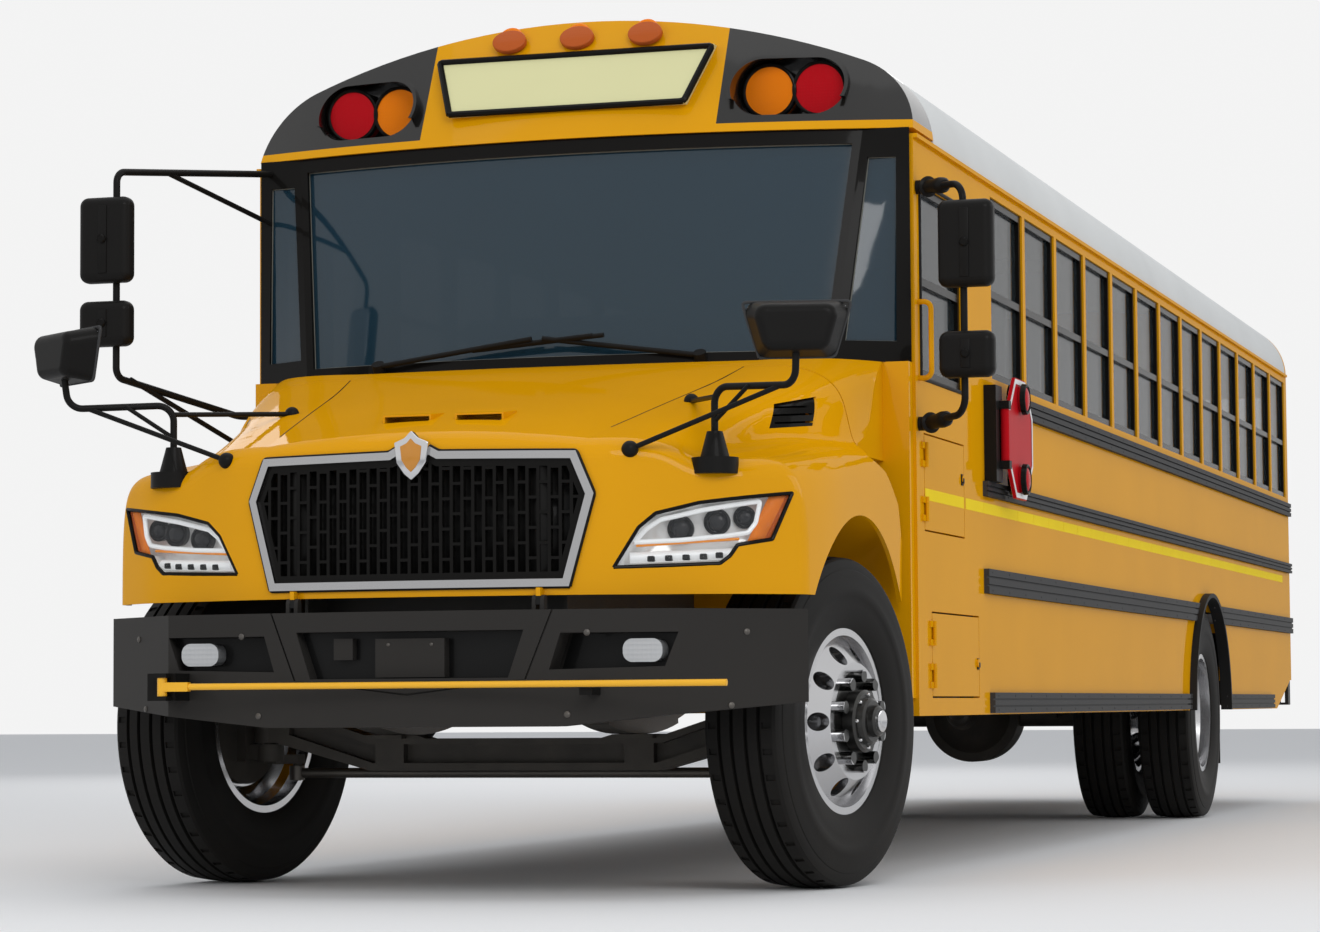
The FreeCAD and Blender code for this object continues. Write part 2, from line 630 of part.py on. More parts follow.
def fuel_tank():
    """Tank outboard of the right rail, in two straps."""
    inner = -RAIL_HALF - 30
    outer = -BODY_HALF + SKIRT_THICKNESS + 90
    tank = box(outer, inner, TANK_FRONT, TANK_FRONT + TANK_LENGTH, 590, FLOOR_BOTTOM - 60)
    edges = [e for e in tank.Edges if abs(e.Vertexes[0].Point.y - e.Vertexes[1].Point.y) > 1]
    tank = tank.makeFillet(70, edges)
    brackets = []
    for y in (TANK_FRONT + 300, TANK_FRONT + TANK_LENGTH - 360):
        strap = box(outer - 8, -RAIL_HALF, y, y + 60, 582, FLOOR_BOTTOM - 52)
        brackets.append(strap)
    return fuse([tank] + brackets)


PIPE_RADIUS = 52.0
MUFFLER_RADIUS = 130.0


def exhaust():
    """Pipe, silencer and tailpipe outboard of the left rail, on two hangers."""
    x = RAIL_HALF + 190
    z = FLOOR_BOTTOM - 250
    silencer = rod((x, 2800, z), (x, 4100, z), MUFFLER_RADIUS)
    front = bent_tube([(x, 2810, z), (x, 1500, z), (RAIL_HALF + 70, 1100, z), (RAIL_HALF + 70, 700, z)],
                      PIPE_RADIUS, 180)
    tail = rod((x, 4090, z), (x, 6150, z), PIPE_RADIUS)
    pieces = [silencer, front, tail]
    for y in (2900, 4000, 5900):
        pieces.append(box(RAIL_HALF, x, y - 20, y + 20, z - 10, z + 30))
    return fuse(pieces)


def radiator():
    """Cooler pack behind the grille, standing on the rails."""
    core = box(-RAIL_HALF, RAIL_HALF, -700, -560, FLOOR_BOTTOM, 1330)
    return core


# Bumpers
BUMPER_HALF = 1155.0
BUMPER_NOSE = -1000.0
BUMPER_END = -625.0
BUMPER_TOP = 870.0
BUMPER_LOW = 520.0
BUMPER_DEPTH = 90.0


def bowed_band(half, nose, end, depth, z0, z1):
    """A band bowed in plan, from -half to half, with its nose on the centre line."""
    shoulder = (half * 0.72, nose + (end - nose) * 0.26)

    def arc_edge(inset, z):
        a = Vector(-shoulder[0] + inset * 0.2, shoulder[1] + inset, z)
        b = Vector(0, nose + inset, z)
        c = Vector(shoulder[0] - inset * 0.2, shoulder[1] + inset, z)
        return a, b, c

    a, b, c = arc_edge(0, z0)
    d, e, f = arc_edge(depth, z0)
    left_out = Vector(-half, end, z0)
    right_out = Vector(half, end, z0)
    left_in = Vector(-half + depth * 0.55, end, z0)
    right_in = Vector(half - depth * 0.55, end, z0)
    wire = Part.Wire([
        Part.LineSegment(left_out, a).toShape(), Part.Arc(a, b, c).toShape(),
        Part.LineSegment(c, right_out).toShape(), Part.LineSegment(right_out, right_in).toShape(),
        Part.LineSegment(right_in, f).toShape(), Part.Arc(f, e, d).toShape(),
        Part.LineSegment(d, left_in).toShape(), Part.LineSegment(left_in, left_out).toShape()])
    return Part.Face(wire).extrude(Vector(0, 0, z1 - z0))


HOOD_PIVOT_Y = -925.0
HOOD_PIVOT_Z = 900.0
HOOD_PIN = 8.0
HOOD_LUG_X = 400.0
HOOD_LUG = 14.0


def hood_ears(side):
    """Two ears on the bumper's bracket with the pin of the hood's hinge."""
    made = []
    inner = HOOD_LUG / 2 + RUNNING_GAP
    for end in (-1, 1):
        x0, x1 = sorted((side * HOOD_LUG_X + end * inner, side * HOOD_LUG_X + end * (inner + 12)))
        made.append(box(x0, x1, HOOD_PIVOT_Y - 16, HOOD_PIVOT_Y + 16, BUMPER_TOP - 20, HOOD_PIVOT_Z))
        made.append(rod((x0, HOOD_PIVOT_Y, HOOD_PIVOT_Z), (x1, HOOD_PIVOT_Y, HOOD_PIVOT_Z), 15))
    reach = inner + 12
    made.append(rod((side * HOOD_LUG_X - reach, HOOD_PIVOT_Y, HOOD_PIVOT_Z),
                    (side * HOOD_LUG_X + reach, HOOD_PIVOT_Y, HOOD_PIVOT_Z), HOOD_PIN))
    return made


FOG_X = 720.0
FOG_HEIGHT = 746.0
MOUTH_LOW = 667.0
MOUTH_TOP = 810.0
MOUTH_LOW_HALF = 320.0
MOUTH_TOP_HALF = 368.0


def front_bumper():
    """Bumper in three sections, with its mouth, fog lamp openings and chassis brackets."""
    band = bowed_band(BUMPER_HALF, BUMPER_NOSE, BUMPER_END, BUMPER_DEPTH, BUMPER_LOW, BUMPER_TOP)
    ahead = BUMPER_NOSE - 50
    rise = 70.0
    under = [prism_y([(side * 420, BUMPER_LOW - 5), (side * (BUMPER_HALF + 10), BUMPER_LOW - 5),
                      (side * (BUMPER_HALF + 10), BUMPER_LOW + rise)], ahead, BUMPER_END + 50)
             for side in (-1, 1)]
    recess = BUMPER_NOSE + 72
    mouth = prism_y([(-MOUTH_LOW_HALF, MOUTH_LOW), (MOUTH_LOW_HALF, MOUTH_LOW), (MOUTH_TOP_HALF, MOUTH_TOP),
                     (-MOUTH_TOP_HALF, MOUTH_TOP)], ahead, recess)
    skin = bowed_band(BUMPER_HALF, BUMPER_NOSE, BUMPER_END, 8, BUMPER_LOW, BUMPER_TOP)
    seams = []
    for side in (-1, 1):
        top_x = MOUTH_TOP_HALF + 85
        low_x = MOUTH_LOW_HALF + 50
        seams.append(prism_y([(side * top_x, BUMPER_TOP + 1), (side * (top_x + 6), BUMPER_TOP + 1),
                              (side * (low_x + 6), MOUTH_LOW - 5), (side * low_x, MOUTH_LOW - 5)],
                             ahead, recess).common(skin))
        seams.append(prism_y([(side * low_x, MOUTH_LOW - 5), (side * (low_x + 6), MOUTH_LOW - 5),
                              (0, MOUTH_LOW - 52), (0, MOUTH_LOW - 46)], ahead, recess).common(skin))
    fogs = [prism_y([(side * 445, 690), (side * 790, 698), (side * 830, 800), (side * 480, 800)],
                    ahead, BUMPER_NOSE + 160) for side in (-1, 1)]
    backs = [box(min(side * 430, side * 850), max(side * 430, side * 850), BUMPER_NOSE + 150,
                 BUMPER_NOSE + 175, 680, 810) for side in (-1, 1)]
    x_in = RAIL_HALF - 60
    rail_low = FLOOR_BOTTOM - RAIL_DEPTH + RUNNING_GAP
    brackets = [box(min(side * x_in, side * RAIL_HALF), max(side * x_in, side * RAIL_HALF),
                    BUMPER_NOSE + 70, RAIL_FRONT, rail_low, BUMPER_TOP - 10) for side in (-1, 1)]
    plate = box(-112, 112, BUMPER_NOSE + 28, recess + 4, MOUTH_LOW + 4, MOUTH_TOP - 22)
    socket = box(-252, -190, BUMPER_NOSE + 38, recess + 4, 725, 790)
    ears = hood_ears(-1) + hood_ears(1)
    return fuse([band.cut(under + [mouth] + fogs + seams)] + backs + brackets + [plate, socket] + ears)


def fog_lamps():
    """Oval fog lamps on the backs of the bumper's openings."""
    lamps = []
    for side in (-1, 1):
        x = side * FOG_X
        lamp = box(x - 62, x + 62, BUMPER_NOSE + 88, BUMPER_NOSE + 150, FOG_HEIGHT - 35, FOG_HEIGHT + 35)
        along = [e for e in lamp.Edges if abs(e.Vertexes[0].Point.y - e.Vertexes[1].Point.y) > 1]
        lamps.append(lamp.makeFillet(30, along))
    return group(lamps)


REAR_BUMPER_HALF = 1180.0
REAR_BUMPER_LOW = 560.0
REAR_BUMPER_TOP = 800.0
REAR_BUMPER_OUT = 150.0
REAR_WALL_LOW = 705.0
TOW_PLATE = 20.0
TOW_BORE = 22.0
TOW_HEIGHT = 515.0


def rear_bumper():
    out = BODY_REAR + REAR_BUMPER_OUT
    near = BODY_REAR + RUNNING_GAP
    band = prism_z([(-REAR_BUMPER_HALF, near), (-REAR_BUMPER_HALF, out - 60),
                    (-REAR_BUMPER_HALF + 80, out), (REAR_BUMPER_HALF - 80, out),
                    (REAR_BUMPER_HALF, out - 60), (REAR_BUMPER_HALF, near)],
                   REAR_BUMPER_LOW, REAR_BUMPER_TOP)
    hollow = box(-REAR_BUMPER_HALF + 20, REAR_BUMPER_HALF - 20, BODY_REAR - 1, out - 14,
                 REAR_BUMPER_LOW + 14, REAR_BUMPER_TOP - 14)
    arm_low = REAR_BUMPER_LOW + 40
    arm_outline = [(RAIL_REAR - 140, arm_low), (out - 14, arm_low), (out - 14, REAR_WALL_LOW - 5),
                   (BODY_REAR - WALL - 10, REAR_WALL_LOW - 5), (BODY_REAR - WALL - 10, FLOOR_BOTTOM - 140),
                   (RAIL_REAR - 140, FLOOR_BOTTOM - 140)]
    eye_y = BODY_REAR + 20
    arms = []
    eyes = []
    bores = []
    for side in (-1, 1):
        x0, x1 = sorted((side * (RAIL_HALF + RUNNING_GAP), side * (RAIL_HALF + RUNNING_GAP + TOW_PLATE)))
        arms.append(prism_x(arm_outline, x0, x1))
        eyes.append(box(x0, x1, eye_y - 60, eye_y + 60, TOW_HEIGHT, arm_low + 20))
        eyes.append(rod((x0, eye_y, TOW_HEIGHT), (x1, eye_y, TOW_HEIGHT), 50))
        bores.append(rod((x0 - 5, eye_y, TOW_HEIGHT), (x1 + 5, eye_y, TOW_HEIGHT), TOW_BORE))
    return fuse([band.cut(hollow)] + arms + eyes).cut(bores)


# Body shell
DRIP_OUT = 14.0


def wall_blank(side):
    """Side wall from the skirt to the gutter, thin below the floor."""
    upper_low = FLOOR_BOTTOM
    x0, x1 = sorted((side * (BODY_HALF - WALL), side * BODY_HALF))
    upper = box(x0, x1, BODY_FRONT, BODY_REAR - WALL, upper_low, GUTTER)
    x0, x1 = sorted((side * (BODY_HALF - SKIRT_THICKNESS), side * BODY_HALF))
    skirt = box(x0, x1, BODY_FRONT, BODY_REAR - WALL, SKIRT_BOTTOM, upper_low)
    chamfer = prism_x([(BODY_REAR - 650, SKIRT_BOTTOM - 1), (BODY_REAR + 1, SKIRT_BOTTOM - 1),
                       (BODY_REAR + 1, SKIRT_BOTTOM + 180)], x0 - 1, x1 + 1)
    arch = rod((-BODY_HALF - 10, WHEELBASE, AXLE_HEIGHT), (BODY_HALF + 10, WHEELBASE, AXLE_HEIGHT),
               REAR_ARCH_RADIUS)
    x0, x1 = sorted((side * (BODY_HALF - 5), side * (BODY_HALF + DRIP_OUT)))
    drip = box(x0, x1, BODY_FRONT, BODY_REAR - WALL, GUTTER - DRIP_OUT, GUTTER)
    return fuse([upper, skirt, drip]).cut([chamfer, arch])


def window_start(number):
    return WINDOW_FIRST + number * WINDOW_PITCH


def window_opening(side, number):
    start = window_start(number)
    x0, x1 = sorted((side * (BODY_HALF - WALL - 5), side * (BODY_HALF + 5)))
    return box(x0, x1, start, start + WINDOW_PITCH - WINDOW_PILLAR, WINDOW_SILL, WINDOW_TOP)


DRIVER_WINDOW = (720.0, 1370.0, 1690.0, 2350.0)
UPPER_HATCH = (750.0, 1376.0, 1165.0, 1500.0)
LOWER_HATCH = (841.0, 1594.0, 600.0, 895.0)
HATCH_THICKNESS = 20.0


def driver_opening():
    y0, y1, z0, z1 = DRIVER_WINDOW
    return box(BODY_HALF - WALL - 5, BODY_HALF + 5, y0, y1, z0, z1)


def hatch_hinges(place):
    """The two hinges on an access door's front edge."""
    y0, _, z0, z1 = place
    pin_x = BODY_HALF + HINGE_STANDOFF
    return [hinge((pin_x, y0 + MOVING_GAP / 2, z), Vector(0, 1, 0), Vector(-1, 0, 0), 45, 45)
            for z in (z0 + 75, z1 - 75)]


DOOR_HINGE_HEIGHTS = (700.0, 1400.0, 2150.0)


def entrance_hinges(y, leaf_sign):
    """Hinges of one entrance leaf along the doorway's edge at y."""
    return [hinge((-BODY_HALF - HINGE_STANDOFF, y, z), Vector(0, leaf_sign, 0), Vector(1, 0, 0), 45, 45)
            for z in DOOR_HINGE_HEIGHTS]


def front_leaf_hinges():
    return entrance_hinges(DOOR_FRONT + MOVING_GAP / 2, 1)


def rear_leaf_hinges():
    return entrance_hinges(DOOR_FRONT + DOOR_WIDTH - MOVING_GAP / 2, -1)


def rear_door_hinges():
    return [hinge((-REAR_DOOR_HALF + MOVING_GAP / 2, BODY_REAR + HINGE_STANDOFF, z), Vector(1, 0, 0),
                  Vector(0, -1, 0), 60, 60) for z in (1240.0, 1720.0, 2240.0)]


def grab_handle():
    """Bent rail at the front foot of the driver's window."""
    y = BODY_FRONT + 45
    inner = BODY_HALF - 5
    outer = BODY_HALF + 45
    low = DRIVER_WINDOW[2] - 10
    return bent_tube([(inner, y, low), (outer, y, low), (outer, y, low + 260), (inner, y, low + 260)], 9, 25)


def left_wall():
    """Driver's side wall: windows, driver's window and two small access openings."""
    cuts = [window_opening(1, number) for number in range(WINDOW_COUNT)]
    cuts.append(driver_opening())
    y0, y1, z0, z1 = UPPER_HATCH
    cuts.append(box(BODY_HALF - HATCH_THICKNESS - 12, BODY_HALF + 5, y0, y1, z0, z1))
    y0, y1, z0, z1 = LOWER_HATCH
    cuts.append(box(BODY_HALF - WALL - 5, BODY_HALF + 5, y0, y1, z0, z1))
    wall = fuse([wall_blank(1).cut(cuts), grab_handle()])
    return posted(wall, hatch_hinges(UPPER_HATCH) + hatch_hinges(LOWER_HATCH))


def right_wall():
    """Entrance side wall, with its windows and the doorway."""
    cuts = [window_opening(-1, number) for number in range(WINDOW_COUNT)]
    cuts.append(box(-BODY_HALF - 5, -BODY_HALF + WALL + 5, DOOR_FRONT, DOOR_FRONT + DOOR_WIDTH,
                    SKIRT_BOTTOM - 5, DOOR_TOP))
    return posted(wall_blank(-1).cut(cuts), front_leaf_hinges() + rear_leaf_hinges())


HATCH_STATIONS = (3900.0, 7750.0)
HATCH_SIZE = 620.0
HATCH_CURB = 20.0
HATCH_CURB_WIDTH = 40.0
HATCH_LID = 34.0


def roof_hinges(y):
    """The two hinges across a roof hatch's front edge."""
    level = ROOF_PEAK + HATCH_CURB + RUNNING_GAP / 2
    return [hinge((x, y - HATCH_SIZE / 2 - HINGE_STANDOFF, level), Vector(0, 0, 1), Vector(0, 1, 0), 22, 22)
            for x in (-180, 180)]


def roof():
    """Crowned roof from the front cap to the rear wall, with two hatch openings."""
    shell = arch_prism(0, GUTTER, CAP_REAR, BODY_REAR - WALL)
    hollow = arch_prism(ROOF_THICKNESS, GUTTER - 1, CAP_REAR - 1, BODY_REAR - WALL + 1)
    shell = shell.cut(hollow)
    curbs = []
    holes = []
    half = HATCH_SIZE / 2
    mouth = half - HATCH_CURB_WIDTH
    above = ROOF_PEAK + 100
    for y in HATCH_STATIONS:
        curbs.append(box(-half, half, y - half, y + half,
                         ROOF_PEAK - ROOF_THICKNESS - 8, ROOF_PEAK + HATCH_CURB))
        holes.append(box(-mouth, mouth, y - mouth, y + mouth, ROOF_PEAK - 300, above))
        for seam in (y - mouth - RUNNING_GAP, y + mouth):
            holes.append(box(-BODY_HALF - 5, BODY_HALF + 5, seam, seam + RUNNING_GAP, GUTTER - 5, above))
    hinges = [h for y in HATCH_STATIONS for h in roof_hinges(y)]
    return posted(fuse([shell] + curbs).cut(holes), hinges)


def roof_hatch(y):
    """Lid that stands on the curb, hinged along its front edge."""
    half = HATCH_SIZE / 2
    low = ROOF_PEAK + HATCH_CURB + RUNNING_GAP
    lid = box(-half, half, y - half, y + half, low, low + HATCH_LID)
    lid = lid.makeChamfer(8, [e for e in lid.Edges if e.CenterOfMass.z > low + HATCH_LID - 1])
    return hung(lid, roof_hinges(y))


REAR_GLASS_INNER = 430.0
REAR_GLASS_OUTER = 1080.0
REAR_GLASS_LOW = 1700.0
REAR_GLASS_TOP = 2380.0


def rear_wall():
    """Flat back of the body with the emergency doorway and a window each side."""
    panel = arch_prism(0, REAR_WALL_LOW, BODY_REAR - WALL, BODY_REAR)
    door = box(-REAR_DOOR_HALF, REAR_DOOR_HALF, BODY_REAR - WALL - 5, BODY_REAR + 5,
               FLOOR_BOTTOM + FLOOR_THICKNESS, REAR_DOOR_TOP)
    windows = []
    for side in (-1, 1):
        x0, x1 = sorted((side * REAR_GLASS_INNER, side * REAR_GLASS_OUTER))
        windows.append(box(x0, x1, BODY_REAR - WALL - 5, BODY_REAR + 5, REAR_GLASS_LOW, REAR_GLASS_TOP))
    return posted(panel.cut([door] + windows), rear_door_hinges())


WELL_FRONT = 762.0
WELL_REAR = 1578.0
WELL_INNER = -546.7
STEP_PLATE = 12.0
WHEEL_BOX_HALF = 660.0
WHEEL_BOX_INNER = 560.0
WHEEL_BOX_TOP = 1230.0
WHEEL_BOX_METAL = 8.0


def floor():
    """Floor on the rails, cut for the entrance and raised over the rear wheels."""
    top = FLOOR_BOTTOM + FLOOR_THICKNESS
    inner = BODY_HALF - WALL
    deck = box(-inner, inner, BODY_FRONT, BODY_REAR - WALL, FLOOR_BOTTOM, top)
    well_end = WELL_REAR + STEP_PLATE
    box_front = WHEELBASE - WHEEL_BOX_HALF
    box_rear = WHEELBASE + WHEEL_BOX_HALF
    cuts = [box(-inner - 5, WELL_INNER, WELL_FRONT - STEP_PLATE, well_end, FLOOR_BOTTOM - 5, top + 5),
            box(-inner - 5, inner + 5, well_end, well_end + RUNNING_GAP, FLOOR_BOTTOM - 5, top + 5),
            box(WELL_INNER, WELL_INNER + RUNNING_GAP, BODY_FRONT - 5, well_end, FLOOR_BOTTOM - 5, top + 5)]
    boxes = []
    for side in (-1, 1):
        x0, x1 = sorted((side * (WHEEL_BOX_INNER - RUNNING_GAP), side * (inner + 5)))
        cuts.append(box(x0, x1, box_front - RUNNING_GAP, box_rear + RUNNING_GAP, FLOOR_BOTTOM - 5, top + 5))
        x0, x1 = sorted((side * WHEEL_BOX_INNER, side * inner))
        shell = box(x0, x1, box_front, box_rear, FLOOR_BOTTOM, WHEEL_BOX_TOP)
        x0, x1 = sorted((side * (WHEEL_BOX_INNER + WHEEL_BOX_METAL), side * (inner + 1)))
        hollow = box(x0, x1, box_front + WHEEL_BOX_METAL, box_rear - WHEEL_BOX_METAL,
                     FLOOR_BOTTOM - 1, WHEEL_BOX_TOP - WHEEL_BOX_METAL)
        boxes.append(shell.cut(hollow))
    return group([deck.cut(cuts)] + boxes)


STEP_HEIGHTS = (430.0, 650.0, 870.0)
STEP_RUN = 195.0


def entrance_steps():
    """Folded step plates between two side sheets, hung from the floor at the doorway."""
    outer = -BODY_HALF + DOOR_THICKNESS + 20
    top = FLOOR_BOTTOM + FLOOR_THICKNESS
    stairs = []
    risers = STEP_HEIGHTS[1:] + (top - STEP_PLATE,)
    for number, (height, next_height) in enumerate(zip(STEP_HEIGHTS, risers)):
        x = outer + number * STEP_RUN
        edge = x + STEP_RUN
        stairs.append(box(x, edge + STEP_PLATE, WELL_FRONT, WELL_REAR, height, height + STEP_PLATE))
        stairs.append(box(edge, edge + STEP_PLATE, WELL_FRONT, WELL_REAR, height, next_height + STEP_PLATE))
    sides = []
    for y in (WELL_FRONT - STEP_PLATE, WELL_REAR):
        outline = [(outer, STEP_HEIGHTS[0]), (outer + STEP_RUN + STEP_PLATE, STEP_HEIGHTS[0]),
                   (edge + STEP_PLATE, top - 160), (edge + STEP_PLATE, top), (outer, top)]
        sides.append(prism_y(outline, y, y + STEP_PLATE))
    return fuse(stairs + sides)


def shield_plan(z, inset, x_end, y_end):
    """Plan of the windshield frame at height z: bowed between the pillars, straight past them."""
    lift = (z - COWL_TOP) / (GUTTER - COWL_TOP)
    pillar = PILLAR_BASE_X + (PILLAR_TOP_X - PILLAR_BASE_X) * lift
    centre = SHIELD_CENTRE + SHIELD_RAKE * lift
    ends = centre + SHIELD_BOW
    a = Vector(-x_end + inset * 0.9, y_end - (FRAME_DEPTH - inset) * 0.3, z)
    b = Vector(-pillar + inset * 0.25, ends + inset, z)
    c = Vector(0, centre + inset, z)
    return a, b, c


def shield_shell(inset, thickness, z0, z1):
    """The bowed shell of the windshield frame between two heights."""
    wires = []
    for z in (z0, z1):
        a, b, c = shield_plan(z, inset, BODY_HALF - 10, BODY_FRONT)
        d, e, f = shield_plan(z, inset + thickness, BODY_HALF - 10, BODY_FRONT)

        def other(p):
            return Vector(-p.x, p.y, p.z)

        wires.append(Part.Wire([
            Part.LineSegment(a, b).toShape(), Part.Arc(b, c, other(b)).toShape(),
            Part.LineSegment(other(b), other(a)).toShape(), Part.LineSegment(other(a), other(d)).toShape(),
            Part.LineSegment(other(d), other(e)).toShape(), Part.Arc(other(e), f, e).toShape(),
            Part.LineSegment(e, d).toShape(), Part.LineSegment(d, a).toShape()]))
    return Part.makeLoft(wires, True, True)


SHIELD_LOW = 1765.0
SHIELD_HIGH = 2480.0
SHIELD_MARGIN = 28.0
QUARTER_LOW = 1800.0
QUARTER_HIGH = 2430.0


def pillar_x(z):
    lift = (z - COWL_TOP) / (GUTTER - COWL_TOP)
    return PILLAR_BASE_X + (PILLAR_TOP_X - PILLAR_BASE_X) * lift


def shield_windows(shrink):
    """Cutting solids for the windshield and both quarter panes, drawn in by shrink."""
    low = SHIELD_LOW + shrink
    high = SHIELD_HIGH - shrink
    low_x = pillar_x(low) - SHIELD_MARGIN - shrink
    high_x = pillar_x(high) - SHIELD_MARGIN - shrink
    cuts = [prism_y([(-low_x, low), (low_x, low), (high_x, high), (-high_x, high)], 0, BODY_FRONT + 200)]
    low = QUARTER_LOW + shrink
    high = QUARTER_HIGH - shrink
    outer = BODY_HALF - 55 - shrink
    inner_low = pillar_x(low) + SHIELD_MARGIN + shrink
    inner_high = pillar_x(high) + SHIELD_MARGIN + shrink
    pane = prism_y([(inner_low, low), (outer, low), (outer, high), (inner_high, high)], 0, BODY_FRONT + 200)
    return cuts + both_sides(pane)


# Hood
# Each row: station, height on the centre line, then (x, z) of the seam beside the middle panel,
# the shoulder, the waist over the fender, the fender's crown and its outer corner, and the
# half-width at the foot.
HOOD_SECTIONS = (
    (HOOD_NOSE - 60, 1398.0, (505.0, 1352.0), (700.0, 1345.0), (800.0, 1290.0), (880.0, 1290.0),
     (1030.0, 1285.0), 1085.0),
    (-700.0, 1470.0, (548.0, 1430.0), (745.0, 1425.0), (830.0, 1318.0), (940.0, 1330.0),
     (1110.0, 1322.0), 1130.0),
    (-400.0, 1546.0, (596.0, 1511.0), (820.0, 1512.0), (890.0, 1366.0), (1020.0, 1366.0),
     (1165.0, 1350.0), 1162.0),
    (-100.0, 1620.0, (643.0, 1590.0), (905.0, 1600.0), (975.0, 1430.0), (1045.0, 1402.0),
     (1178.0, 1385.0), FENDER_HALF),
    (200.0, 1700.0, (690.0, 1676.0), (1010.0, 1698.0), (1078.0, 1500.0), (1085.0, 1415.0),
     (1185.0, 1395.0), FENDER_HALF),
    (400.0, 1742.0, (720.0, 1738.0), (1060.0, 1765.0), (1105.0, 1570.0), (1100.0, 1430.0),
     (1190.0, 1400.0), FENDER_HALF),
    (BODY_FRONT, 1758.0, (760.0, 1750.0), (1190.0, 1790.0), (1190.0, 1600.0), (1190.0, 1440.0),
     (1190.0, 1400.0), FENDER_HALF))


def hood_section(row, inset, base):
    """Closed section of the hood at one station, its sides drawn through their poles."""
    y, crown, seam = row[:3]
    foot = row[-1]

    def place(x, z, side):
        return Vector(side * (x - inset), y, z - inset)

    def flank(side):
        poles = [place(x, z, side) for x, z in row[2:-1]]
        poles.append(Vector(side * (foot - inset), y, (row[-2][1] + base) / 2))
        poles.append(Vector(side * (foot - inset), y, base))
        curve = Part.BSplineCurve()
        curve.buildFromPoles(poles, False, 3)
        return curve.toShape()

    top = Vector(0, y, crown - inset)
    return Part.Wire([
        flank(-1), Part.Arc(place(*seam, -1), top, place(*seam, 1)).toShape(), flank(1),
        Part.LineSegment(Vector(foot - inset, y, base), Vector(inset - foot, y, base)).toShape()])


def hood_mass(inset, base):
    return Part.makeLoft([hood_section(row, inset, base) for row in HOOD_SECTIONS], True, False)


HOOD_ROUND = 70.0
NOSE_PLAN = ((0.0, 0.0), (300.0, 15.0), (600.0, 60.0), (780.0, 125.0), (960.0, 190.0), (1080.0, 280.0),
             (FENDER_HALF + 20, 370.0))


def hood_plan(inset, z0, z1):
    """The nose's plan, one bowed curve, as a solid that reaches back past the hood."""
    left = [Vector(x, HOOD_NOSE + back + inset, z0) for x, back in NOSE_PLAN]
    right = [Vector(-p.x, p.y, p.z) for p in reversed(left[1:])]
    nose = Part.BSplineCurve()
    nose.interpolate(right + left)
    half = NOSE_PLAN[-1][0]
    far = FENDER_REAR + 50
    wire = Part.Wire([
        nose.toShape(), Part.LineSegment(left[-1], Vector(half, far, z0)).toShape(),
        Part.LineSegment(Vector(half, far, z0), Vector(-half, far, z0)).toShape(),
        Part.LineSegment(Vector(-half, far, z0), right[0]).toShape()])
    return Part.Face(wire).extrude(Vector(0, 0, z1 - z0))


def behind_hood(gap, z0, z1):
    """What lies behind the hood's bowed rear edge, gap farther back, between two heights."""
    half = BODY_HALF + 20
    corner = HOOD_SIDE_REAR - 30 + gap
    a = Vector(-half, corner, z0)
    b = Vector(0, HOOD_REAR + gap, z0)
    c = Vector(half, corner, z0)
    far = BODY_FRONT + 260
    face = Part.Face(Part.Wire([
        Part.Arc(a, b, c).toShape(), Part.LineSegment(c, Vector(half, far, z0)).toShape(),
        Part.LineSegment(Vector(half, far, z0), Vector(-half, far, z0)).toShape(),
        Part.LineSegment(Vector(-half, far, z0), a).toShape()]))
    return face.extrude(Vector(0, 0, z1 - z0))


# Cowl
COWL_SIDE_LOW = 1395.0
COWL_SIDE_HALF = 1100.0
COWL_METAL = 30.0
FIREWALL_FRONT = 560.0


def windshield_frame():
    """Moulded frame round the windshield and its quarter panes."""
    return shield_shell(0, FRAME_DEPTH, COWL_TOP, GUTTER + 20).cut(shield_windows(0))


def cowl():
    """The cowl under the windshield, flush with the hood, and the firewall down to the floor."""
    top = COWL_TOP - RUNNING_GAP
    deep = COWL_SIDE_LOW - 200
    outer = hood_mass(0, deep).common(behind_hood(MOVING_GAP, COWL_SIDE_LOW, top))
    outer = outer.common(box(-COWL_SIDE_HALF, COWL_SIDE_HALF, 0, BODY_FRONT, COWL_SIDE_LOW, top))
    inner = hood_mass(COWL_METAL, deep).common(
        behind_hood(MOVING_GAP + COWL_METAL, COWL_SIDE_LOW + COWL_METAL, top - COWL_METAL))
    inner = inner.common(box(COWL_METAL - COWL_SIDE_HALF, COWL_SIDE_HALF - COWL_METAL, 0, BODY_FRONT + 1,
                             COWL_SIDE_LOW, top))
    upper = outer.cut(inner)
    wall = box(-BODY_HALF + 60, BODY_HALF - 60, FIREWALL_FRONT + 20, FIREWALL_FRONT + 20 + COWL_METAL,
               FLOOR_BOTTOM - 240, COWL_SIDE_LOW + COWL_METAL)
    sill = box(-BODY_HALF + 60, BODY_HALF - 60, FIREWALL_FRONT + 20, BODY_FRONT, FLOOR_BOTTOM,
               FLOOR_BOTTOM + FLOOR_THICKNESS)
    ends = []
    for side in (-1, 1):
        x0, x1 = sorted((side * (COWL_SIDE_HALF - COWL_METAL), side * (BODY_HALF - 10)))
        ends.append(box(x0, x1, FIREWALL_FRONT + 20, BODY_FRONT, FLOOR_BOTTOM - 440, top))
    rails_gap = box(-RAIL_HALF, RAIL_HALF, FIREWALL_FRONT, BODY_FRONT + 1, FLOOR_BOTTOM - 300, FLOOR_BOTTOM)
    return fuse([upper, wall.cut(rails_gap), sill] + ends)


def windshield():
    """Glass in the windshield frame: one bowed pane and two quarter panes."""
    sheet = shield_shell(FRAME_DEPTH / 2 - GLASS / 2, GLASS, COWL_TOP, GUTTER + 20)
    return group([sheet.common(cut) for cut in shield_windows(0)])


